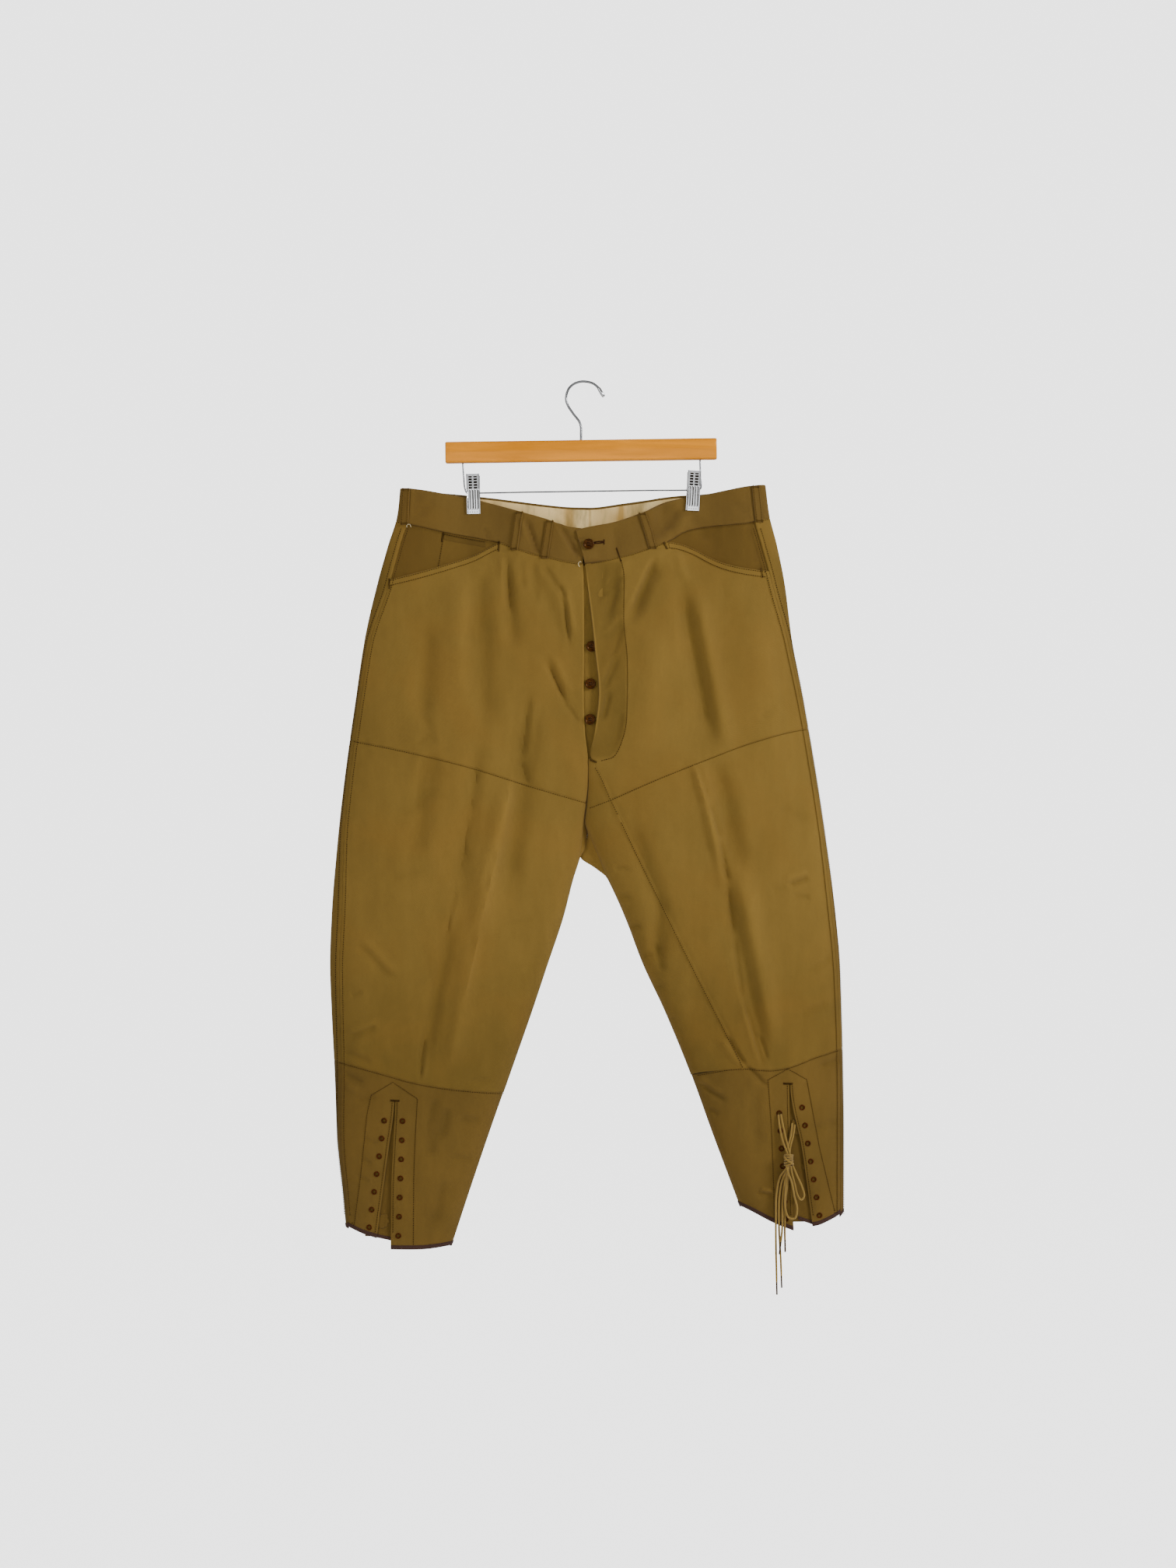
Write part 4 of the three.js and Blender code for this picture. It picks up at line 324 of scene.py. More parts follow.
class Side:
    """The edges of one half of the garment, each as x at a drop."""

    def __init__(self, name):
        self.name = name
        self.sign = -1 if name == "right" else 1
        self.outer = curve(SIDE_FOLDS, "drop", name)
        self.front_inner = curve(FRONT_INNER, "drop", name)
        self.back_inner = curve(BACK_INNER, "drop", name)
        self.inset = curve(OUTSEAM_INSET, "drop", name)
        self.thigh_seam = curve(THIGH_SEAM[name], "x", "drop")
        self.calf_seam = curve(CALF_SEAM[name], "x", "drop")
        self.scoop = curve(SCOOP[name], "x", "drop")
        self.slit_outer = curve(SLIT_EDGES[name], "drop", "outer")
        self.slit_inner = curve(SLIT_EDGES[name], "drop", "inner")


RIGHT = Side("right")
LEFT = Side("left")
SIDES = (RIGHT, LEFT)
front_depth = curve(DEPTHS, "drop", "front")
back_depth = curve(DEPTHS, "drop", "back")
squareness = curve(DEPTHS, "drop", "squareness")
waist_seam = curve(WAIST_SEAM_FRONT, "x", "drop")
waist_seam_back = curve(WAIST_SEAM_BACK, "x", "drop")
waist_top = {name: curve(rows, "x", "drop") for name, rows in WAIST_TOP.items()}
inner_panel_left = curve(INNER_PANEL_LEFT, "drop", "x")
inner_panel_width_right = curve(INNER_PANEL_WIDTH_RIGHT, "drop", "width")


def fold_height(folds, x, drop):
    """How far a table of folds lifts the cloth at x and drop."""
    height = np.zeros(np.broadcast(x, drop).shape)
    rows = zip(*(folds[name] for name in ("x", "drop", "end_x", "end_drop", "width", "height")))
    for start_x, start, end_x, end, width, lift in rows:
        run = np.array([end_x - start_x, end - start])
        length = np.hypot(*run)
        ahead = ((x - start_x) * run[0] + (drop - start) * run[1]) / length
        t = ahead / length if abs(run[0]) > abs(run[1]) else (drop - start) / run[1]
        aside = ((x - start_x) * run[1] - (drop - start) * run[0]) / length
        if abs(run[0]) <= abs(run[1]):
            aside = (x - lerp(start_x, end_x, t)) * run[1] / length
        inside = smoothstep(0, 0.25, t) * smoothstep(0, 0.25, 1 - t)
        height = height + lift * np.exp(-((aside / width) ** 2)) * inside
    return height


NOISE = np.random.RandomState(7).rand(8, 64, 64) * 2 - 1


def soft_noise(x, drop, size, layer):
    """Smooth noise from -1 to 1 whose waves are about size mm long."""
    u, v = np.asarray(x) / size + 500, np.asarray(drop) / size + 500
    i, j = np.floor(u).astype(int), np.floor(v).astype(int)
    s, t = smoothstep(0, 1, u - i), smoothstep(0, 1, v - j)
    field = NOISE[layer]
    near = lerp(field[i % 64, j % 64], field[(i + 1) % 64, j % 64], s)
    far = lerp(field[i % 64, (j + 1) % 64], field[(i + 1) % 64, (j + 1) % 64], s)
    return lerp(near, far, t)


def clip_pinch(x, drop):
    """The clips press front and back together at the waist."""
    near = sum(1 - smoothstep(PINCH["flat"], PINCH["reach"], np.abs(x - c)) for c in CLIP_X.values())
    return 1 - PINCH["depth"] * (1 - smoothstep(PINCH["full"], PINCH["end"], drop)) * near


def fly_lift(x, drop):
    """The loose fly edge stands forward of the button stand."""
    inside = smoothstep(FLY_LIFT["top"], FLY_LIFT["open"], drop)
    inside = inside * (1 - smoothstep(FLY_LIFT["close"], FLY_LIFT["end"], drop))
    share = np.clip(1 - (x - LEFT.front_inner(drop)) / FLY_LIFT["reach"], 0, 1)
    return FLY_LIFT["height"] * inside * share**2


def seam_relief(side, x, drop, front):
    """The felled outseam, the puckers along every seam and the ridge of the inside-leg seam."""
    beyond = np.abs(x - side.outer(drop)) - side.inset(drop)
    on_front = np.where(front, 1.0, 0.0)
    ladder = np.sin(2 * math.pi * (drop / 8.6 + 0.9 * soft_noise(drop, 0 * drop, 37, 0)))
    band = 0.45 * (smoothstep(-5.8, -4.6, beyond) - smoothstep(4.6, 5.8, beyond))
    lift = on_front * (band + 0.32 * ladder * np.exp(-((beyond / 6.5) ** 2)) * smoothstep(380, 620, drop))
    for seam, size in ((side.thigh_seam, 9), (side.calf_seam, 7)):
        away = drop - seam(x)
        lift = lift + 0.5 * soft_noise(x, 0 * x, size, 1) * np.exp(-((away / 6) ** 2))
    below = drop - np.where(front, waist_seam(x), waist_seam_back(x))
    gathers = soft_noise(x, drop * 0.2, 9, 2)
    lift = lift + 0.8 * gathers * np.exp(-np.clip(below, 0, None) / 20) * smoothstep(-2, 4, below)
    if side is LEFT:
        across = x - inner_panel_left(drop)
        ridge = 0.45 * np.exp(-(((across + 1.5) / 2) ** 2)) - 0.5 * np.exp(-(((across - 3) / 3) ** 2))
        lift = lift + on_front * ridge * smoothstep(494, 520, drop) * (1 - smoothstep(870, 892, drop))
    return lift


def relief(side, x, drop, front):
    """All that stands out from the smooth form, in mm."""
    large = np.where(front, fold_height(FOLDS_FRONT, x, drop), fold_height(FOLDS_BACK, x, drop))
    small = np.where(front, fold_height(CREASES_FRONT, x, drop), fold_height(CREASES_BACK, x, drop))
    slack = 0.55 * soft_noise(x, drop * 0.55, 31, 3) + 0.25 * soft_noise(x, drop, 13, 4)
    slack = slack + 0.9 * soft_noise(x, drop * 0.35, 58, 5) * smoothstep(230, 330, drop)
    slack = slack * smoothstep(150, 240, drop) + 0.12 * soft_noise(x, drop, 11, 6)
    return large * RELIEF["large"], small * RELIEF["small"] + slack + seam_relief(side, x, drop, front)


def depth_at(side, x, drop, front, turn):
    """Half depth of the garment at x: an oval torso that turns into an oval for each leg."""
    right, left = RIGHT.outer(drop), LEFT.outer(drop)
    across = np.clip(np.abs((2 * x - right - left) / (left - right)), 0, 1)
    torso = np.sqrt(1 - across ** squareness(drop))
    leg = np.abs(np.sin(math.pi * turn))
    split = np.where(
        front,
        smoothstep(SPLIT["front_top"], SPLIT["front_end"], drop),
        smoothstep(SPLIT["back_top"], SPLIT["back_end"], drop),
    )
    share = lerp(torso, leg, split)
    half = np.where(front, front_depth(drop), back_depth(drop))
    large, small = relief(side, x, drop, front)
    lift = np.where(front, fly_lift(x, drop), 0) if side is LEFT else 0
    folds = large * smoothstep(0.1, 0.6, share) + small * smoothstep(0.02, 0.3, share)
    return half * share * clip_pinch(x, drop) + folds + lift


def turn_at(side, x, drop, front):
    """The turn at an x on the front or on the back."""
    outer = side.outer(drop)
    inner = side.front_inner(drop) if front else side.back_inner(drop)
    turn = np.arccos(1 - 2 * np.clip((x - outer) / (inner - outer), 0, 1)) / math.pi
    return turn if front else 2 - turn


def place(side, drop, turn):
    """The x, the front flag and the wrapped turn. 0 is the side fold, 0 to 1 the front, 1 to 2 the back."""
    wrapped = np.where(turn > 2, turn - 2, np.where(turn < 0, turn + 2, turn))
    front = wrapped <= 1
    inner = np.where(front, side.front_inner(drop), side.back_inner(drop))
    return lerp(side.outer(drop), inner, (1 - np.cos(math.pi * wrapped)) / 2), front, wrapped


def skin(side, drop, turn):
    """Points of the cloth's outer face."""
    x, front, wrapped = place(side, drop, turn)
    depth = depth_at(side, x, drop, front, wrapped)
    return np.stack([x, np.where(front, -depth, depth), -drop + 0 * x], axis=-1)


def unit(v):
    return v / np.maximum(np.linalg.norm(v, axis=-1, keepdims=True), 1e-12)


def skin_normal(side, drop, turn):
    """The outward normal; both samples stay on the same side of the centre seam."""
    step = 0.004
    low = np.where(turn > 1, np.maximum(turn - step, BACK_START), turn - step)
    high = np.where(turn <= 1, np.minimum(turn + step, 1), turn + step)
    across = skin(side, drop, high) - skin(side, drop, low)
    down = skin(side, drop + 1, turn) - skin(side, drop - 1, turn)
    return -side.sign * unit(np.cross(down, across))


def on_skin(side, drop, turn, out):
    """Points that stand out from the skin along its normal."""
    drop, turn = np.broadcast_arrays(np.asarray(drop, float), np.asarray(turn, float))
    return skin(side, drop, turn) + skin_normal(side, drop, turn) * np.asarray(out)[..., None]


def over_x(x, drop, front, out, side):
    """A point over the front or back at x; beyond a front's inner edge the skin runs on flat."""
    x, drop = np.broadcast_arrays(np.asarray(x, float), np.asarray(drop, float))
    turn = turn_at(side, x, drop, front)
    normal = skin_normal(side, drop, np.clip(turn, 0.06, 1.94))
    depth = depth_at(side, x, drop, front, turn)
    point = np.stack([x, -depth if front else depth, -drop], axis=-1)
    return point + normal * np.asarray(out)[..., None]


def centre_front(drop):
    """The turn of the centre front."""
    return 1.0 + 0 * drop


def centre_back(drop):
    """The turn where the back begins."""
    return BACK_START + 0 * drop


def fold_front(drop):
    """The turn where a front meets the wrap of the inner fold."""
    return 1 - wrap(drop)


def fold_back(drop):
    """The turn where the wrap of the inner fold meets a back."""
    return BACK_START + wrap(drop)


def outseam(side):
    """The line of turns of the outseam."""
    return lambda drop: turn_at(side, side.outer(drop) - side.sign * side.inset(drop), drop, True)


def wrap(drop):
    """How much of a turn each side of the inner fold's wrap takes, below the fork."""
    return FOLD_WRAP * smoothstep(CROTCH["wrap_start"], CROTCH["wrap_end"], drop)


def front_edge(side):
    """The inner edge of a front: the centre, and then the inner fold or the inside-leg panel."""
    if side is RIGHT:
        return fold_front
    return lambda drop: lerp(
        1, turn_at(LEFT, np.maximum(inner_panel_left(drop), PANEL_EDGE["left"]), drop, True),
        smoothstep(470, 496, drop))


def back_thigh_edge(side):
    """The inner edge of a back below the seat."""
    if side is LEFT:
        return fold_back
    width = lambda drop: np.maximum(inner_panel_width_right(drop), PANEL_EDGE["right"])
    return lambda drop: lerp(
        BACK_START, turn_at(RIGHT, RIGHT.back_inner(drop) - width(drop), drop, False),
        smoothstep(544, 568, drop))


def past_outseam(side):
    """The outseam again, met after a whole turn."""
    return lambda drop: 2 + outseam(side)(drop)


def front_top(side):
    """The front's top edge: the pocket's scoop, and then the waist seam."""
    end = SCOOP_END[side.name]
    return lambda x: np.where(side.sign * (x - end) > 0, side.scoop(x), waist_seam(x))


def meet(side, turn_along, seam, like, shift=0.0):
    """The drop at which each line of turns meets a seam given as a drop at x, by halving."""
    above, below = (np.full(np.shape(like), REACH[end]) for end in ("top", "bottom"))
    for _ in range(26):
        drop = (above + below) / 2
        x, _, _ = place(side, drop, turn_along(drop))
        higher = seam(x) + shift > drop
        above, below = np.where(higher, drop, above), np.where(higher, below, drop)
    return above


def spread(length, pitch, rim=(0.5, 1.2, 2.2)):
    """Shares from 0 to 1: fine steps at both edges, then even ones of about the pitch."""
    rim = np.array(rim) / length
    count = max(2, int(round(length * (1 - 2 * rim[-1]) / pitch)) + 1)
    return np.concatenate([[0], rim[:-1], np.linspace(rim[-1], 1 - rim[-1], count), 1 - rim[-2::-1], [1]])


def patch(side, first, last, top_seam, bottom_seam, k, v):
    """Drops and turns of a patch between two edges (turn at a drop) and two seams (drop at x)."""
    along = lambda drop: lerp(first(drop), last(drop), k)
    top = meet(side, along, top_seam, k, SEAM_GAP / 2)
    bottom = meet(side, along, bottom_seam, k, -SEAM_GAP / 2)
    drop = lerp(top[None, :], bottom[None, :], v[:, None])
    return drop, lerp(first(drop), last(drop), k[None, :])


# ---------------------------------------------------------------- meshes
def grid_faces(rows, cols, keep):
    """The quads of a closed wall between two grids; cells that keep leaves out are open."""
    behind = rows * cols
    r, c = np.nonzero(keep)
    a = r * cols + c
    b, d, e = a + 1, a + cols, a + cols + 1
    faces = [np.stack([a, d, e, b], 1), np.stack([a, b, e, d], 1) + behind]
    padded = np.pad(keep, 1)
    for near, start, end in (
        (padded[r, c + 1], a, b), (padded[r + 2, c + 1], e, d),
        (padded[r + 1, c], d, a), (padded[r + 1, c + 2], b, e),
    ):
        s, t = start[~near], end[~near]
        faces.append(np.stack([s, t, t + behind, s + behind], 1))
    return np.concatenate(faces)


def signed_volume(points, faces):
    """A number whose sign says whether the quads face outward."""
    a, b, c, d = (points[faces[:, i]] for i in range(4))
    return np.sum(np.cross(a, b) * c + np.cross(a, c) * d)


def make_mesh(name, points, faces, material, uv, tone, sharp):
    """A mesh object at the origin from points in mm, with its cloth map in metres and its tone of wear and
    painted shade.
    """
    used, faces = np.unique(faces, return_inverse=True)
    faces = faces.reshape(-1, 4)
    points = points[used]
    if signed_volume(points, faces) < 0:
        faces = faces[:, ::-1]
    mesh = bpy.data.meshes.new(name)
    mesh.from_pydata((points * MM).tolist(), [], faces.tolist())
    mesh.polygons.foreach_set("use_smooth", np.ones(len(faces), bool))
    layer = mesh.uv_layers.new(name="Cloth")
    index = np.empty(len(mesh.loops), np.int32)
    mesh.loops.foreach_get("vertex_index", index)
    layer.uv.foreach_set("vector", (uv[used][index] * MM).astype(np.float32).ravel())
    level = np.full(len(points), 0.5) if tone is None else tone[used]
    mesh.attributes.new("tone", "FLOAT", "POINT").data.foreach_set("value", level.astype(np.float32))
    mesh.validate()
    mesh.set_sharp_from_angle(angle=math.radians(sharp))
    mesh.materials.append(material)
    return link(name, mesh)


def link(name, data):
    """A new object in the scene."""
    piece = bpy.data.objects.new(name, data)
    bpy.context.scene.collection.objects.link(piece)
    return piece


def settle(piece, slot, *nodes):
    """Every finished piece rides on the one body and stands for its CAD nodes."""
    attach(piece, "root")
    if nodes:
        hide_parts(*nodes)
    return piece


def cloth_map(outer):
    """Flat coordinates of a grid of points: arc lengths along its rows and columns, in mm."""
    across = np.linalg.norm(np.diff(outer, axis=1), axis=-1).cumsum(axis=1)
    down = np.linalg.norm(np.diff(outer, axis=0), axis=-1).cumsum(axis=0)
    u = np.pad(across, ((0, 0), (1, 0)))
    v = np.pad(down, ((1, 0), (0, 0)))
    return np.stack([u - u[:, -1:] / 2, -v], axis=-1)


def shell(name, outer, inner, material, keep=None, tone=None, sharp=40):
    """A wall of cloth between its outer and its inner grid."""
    rows, cols = outer.shape[:2]
    keep = np.ones((rows - 1, cols - 1), bool) if keep is None else keep
    points = np.concatenate([outer.reshape(-1, 3), inner.reshape(-1, 3)])
    uv = cloth_map(outer).reshape(-1, 2)
    level = None if tone is None else np.tile(tone.reshape(-1), 2)
    return make_mesh(name, points, grid_faces(rows, cols, keep), material, np.tile(uv, (2, 1)), level, sharp)


def declare_sheet(outer, keep):
    """Works out the flat size that a panel's threads give; the result is not kept."""
    uv = cloth_map(outer)
    a, b = outer[1:, 1:] - outer[:-1, :-1], outer[1:, :-1] - outer[:-1, 1:]
    area = np.linalg.norm(np.cross(a, b), axis=-1) / 2
    area = float((area if keep is None else area[keep]).sum())
    width = float(np.max(uv[:, -1, 0] - uv[:, 0, 0]))
    length = float(-np.min(uv[..., 1]))
    area = min(area, width * length)


def sew(node, outer, inner, material, slot=None, tone=None, keep=None, sheet=True, made_of="twill"):
    """A piece of cloth that stands for a CAD node; for a whole panel the flat size is also worked out."""
    piece = shell(f"{node}_{made_of}", outer, inner, MATERIALS[material], keep, tone)
    settle(piece, slot or material, node)
    if sheet:
        declare_sheet(outer, keep)


def part(outer, inner):
    """Pulls the first and last column in, and lets the inside run on behind the neighbours as a seam lap."""
    for edge, near in ((0, 1), (-1, -2)):
        shift = unit(outer[:, near] - outer[:, edge])
        outer[:, edge] += shift * SEAM_GAP / 2
        inner[:, edge] -= shift * SEAM_LAP
        inner[edge] -= unit(outer[near] - outer[edge]) * SEAM_LAP


def rounded_edges(shape, depth, cols=True):
    """How far the cloth rolls away at the edges of a grid made with spread."""
    amount = np.zeros(shape)
    for lines in (amount, amount.T) if cols else (amount,):
        for i, share in enumerate((1.0, 0.45, 0.12)):
            lines[i] = np.maximum(lines[i], share)
            lines[-1 - i] = np.maximum(lines[-1 - i], share)
    return -depth * amount


def wear_and_shade_tone(side, drop, turn):
    """Tone of the cloth's colour: rubbed wear and random tone, painted highlight on the ridges and painted
    shade in the troughs, painted shade low on the thighs, on the calves and at the side folds; paler along
    the fronts' inner edges beside the fly, and darker over the fly's facing.
    """
    x, front, _ = place(side, drop, turn)
    large, small = relief(side, x, drop, front)
    # Painted highlight and painted shade of the folds, mixed with rubbed wear: ridges paler, troughs darker;
    # then random tone.
    tone = 0.55 + 0.026 * large + 0.06 * small + 0.05 * soft_noise(x, drop, 90, 7)
    # Painted shade: darker towards the bottom of the thighs, and on the calves.
    painted_shade_below = np.where(drop < side.calf_seam(x), smoothstep(640, 900, drop), 0.25)
    tone = tone - 0.34 * painted_shade_below
    # Painted shade where the cloth turns away at the side folds, on both sides.
    from_fold = np.abs(x - side.outer(drop)) / (side.inset(drop) + 6)
    tone = tone - 0.3 * (1 - smoothstep(0, 1, from_fold)) * smoothstep(190, 240, drop)
    rim = np.where(front, 1, 0) * (1 - smoothstep(0.8, 2.4, np.abs(x - side.front_inner(drop))))
    tone = tone + 0.5 * rim * smoothstep(240, 260, drop) * (1 - smoothstep(440, 475, drop))
    if side is LEFT:
        facing = (1 - smoothstep(fly_line(drop) - 3, fly_line(drop), x)) * np.where(front, 1, 0)
        tone = tone - 0.32 * facing * smoothstep(228, 236, drop) * (1 - smoothstep(480, 488, drop))
    return np.clip(tone, 0, 1)


FLY_STITCH = table(
    "drop x", (232, 49.7), (249, 53), (311, 53), (355, 57), (418, 57), (446, 55), (468, 48.6), (483, 40),
    (488, 25))
fly_line = curve(FLY_STITCH, "drop", "x")


def panel(node, side, drop, turn, material, thickness=CLOTH, roll=0.45, extra=None):
    """A panel of cloth over a grid of drops and turns."""
    out = rounded_edges(drop.shape, roll)
    if extra is not None:
        out = out + extra
    outer = on_skin(side, drop, turn, out)
    inner = outer - skin_normal(side, drop, turn) * thickness
    part(outer, inner)
    sew(node, outer, inner, material, None, wear_and_shade_tone(side, drop, turn))


def lengths_along(points):
    """The length travelled at each point of a line."""
    return np.concatenate([[0], np.linalg.norm(np.diff(points, axis=0), axis=1).cumsum()])


def tube(points, radius, sides, closed=False):
    """Points and quads of a tube along points; radius may change along it. Ends are capped by small rings."""
    points = np.asarray(points, float)
    count = len(points)
    radius = np.broadcast_to(np.asarray(radius, float), count)
    ahead = np.roll(points, -1, axis=0) - np.roll(points, 1, axis=0)
    if not closed:
        ahead[0], ahead[-1] = points[1] - points[0], points[-1] - points[-2]
    ahead = unit(ahead)
    side_way = np.cross(ahead[0], [0.3, 1, 0.2])
    frames = []
    for tangent in ahead:
        side_way = unit(side_way - tangent * np.dot(side_way, tangent))
        frames.append((side_way, np.cross(tangent, side_way)))
    angles = np.arange(sides) * 2 * math.pi / sides
    rings = [
        p + r * (np.cos(angles)[:, None] * a + np.sin(angles)[:, None] * b)
        for p, r, (a, b) in zip(points, radius, frames)
    ]
    uv = [np.stack([angles / (2 * math.pi) * 7.5, np.full(sides, s)], 1) for s in lengths_along(points)]
    if not closed:
        for at, where in ((0, points[0]), (-1, points[-1])):
            tip = where + 0.02 * (rings[at] - where)
            rings = [tip] + rings if at == 0 else rings + [tip]
            uv = [uv[0]] + uv if at == 0 else uv + [uv[-1]]
        count += 2
    return np.concatenate(rings), tube_faces(count, sides, closed), np.concatenate(uv)


def ring_faces(count, sides, closed=False):
    """The quads between rings of points."""
    i, j = np.meshgrid(np.arange(count if closed else count - 1), np.arange(sides), indexing="ij")
    n = (i + 1) % count
    return np.stack([i * sides + j, i * sides + (j + 1) % sides,
                     n * sides + (j + 1) % sides, n * sides + j], -1).reshape(-1, 4)


def tube_faces(count, sides, closed=False):
    """The quads between rings of points, with flat ends unless the tube is closed on itself."""
    quads = ring_faces(count, sides, closed)
    if closed:
        return quads
    caps = np.array([[b + q, b + q + 1, b + (sides - 2 - q), b + (sides - 1 - q)]
                     for b in (0, (count - 1) * sides) for q in range(sides // 2 - 1)])
    caps[: len(caps) // 2] = caps[: len(caps) // 2, ::-1]
    return np.concatenate([quads, caps])


def joined(name, parts, material, sharp=40):
    """One mesh from many (points, quads, uv) parts."""
    points, quads, maps, offset = [], [], [], 0
    for p, q, m in parts:
        if signed_volume(p, q) < 0:
            q = q[:, ::-1]
        points.append(p)
        quads.append(q + offset)
        maps.append(m)
        offset += len(p)
    return make_mesh(name, np.concatenate(points), np.concatenate(quads), material,
                     np.concatenate(maps), None, sharp)


def smooth_path(points, pitch):
    """A centripetal Catmull-Rom curve through the points, at about one point for each pitch."""
    p = np.asarray(points, float)
    p = np.vstack([2 * p[0] - p[1], p, 2 * p[-1] - p[-2]])
    path = []
    for i in range(1, len(p) - 2):
        knots = [0.0]
        for a, b in zip(p[i - 1 : i + 2], p[i : i + 3]):
            knots.append(knots[-1] + max(np.linalg.norm(b - a), 1e-6) ** 0.5)
        count = max(2, int(math.ceil(np.linalg.norm(p[i + 1] - p[i]) / pitch)))
        for t in np.linspace(knots[1], knots[2], count, endpoint=False):
            def mix(a, b, s, e):
                return (e - t) / (e - s) * a + (t - s) / (e - s) * b
            a1 = mix(p[i - 1], p[i], knots[0], knots[1])
            a2 = mix(p[i], p[i + 1], knots[1], knots[2])
            a3 = mix(p[i + 1], p[i + 2], knots[2], knots[3])
            b1, b2 = mix(a1, a2, knots[0], knots[2]), mix(a2, a3, knots[1], knots[3])
            path.append(mix(b1, b2, knots[1], knots[2]))
    path.append(p[-2])
    return np.array(path)


def lathe(profile, sides):
    """A turned solid about +Z from (radius, height) points, closed on its axis."""
    profile = np.array(profile, float)
    profile[:, 0] = np.maximum(profile[:, 0], 0.02)
    angles = np.arange(sides) * 2 * math.pi / sides
    rings = [np.stack([r * np.cos(angles), r * np.sin(angles), np.full(sides, z)], 1) for r, z in profile]
    points = np.concatenate(rings)
    return points, tube_faces(len(rings), sides), points[:, :2]


def aimed(points, centre, normal):
    """Turns points made along +Z to the normal and moves them to the centre."""
    turn = np.array(Vector((0, 0, 1)).rotation_difference(Vector(normal)).to_matrix())
    return points @ turn.T + centre


# ---------------------------------------------------------------- materials
WAVE = 0.314  # scale of a wave texture whose ridges are one metre apart


def linear(colour):
    """An sRGB hex value as linear red, green, blue and alpha."""
    channels = [int(colour[i : i + 2], 16) / 255 for i in (1, 3, 5)]
    return [c / 12.92 if c <= 0.04045 else ((c + 0.055) / 1.055) ** 2.4 for c in channels] + [1.0]


def feed(tree, node, inputs):
    """Sets the inputs of a node; one that is given a socket is linked to it."""
    for key, value in inputs.items():
        if isinstance(value, bpy.types.NodeSocket):
            tree.links.new(value, node.inputs[key])
        else:
            node.inputs[key].default_value = value


def add(tree, kind, props=None, inputs=None):
    """Adds a node with its settings and links."""
    made = tree.nodes.new(kind)
    for key, value in (props or {}).items():
        setattr(made, key, value)
    feed(tree, made, inputs or {})
    return made


def new_material(name):
    """A material with one shader and nothing else yet."""
    material = bpy.data.materials.new(name)
    material.use_nodes = True
    tree = material.node_tree
    tree.nodes.clear()
    shader = add(tree, "ShaderNodeBsdfPrincipled")
    add(tree, "ShaderNodeOutputMaterial", None, {"Surface": shader.outputs["BSDF"]})
    return material, tree, shader


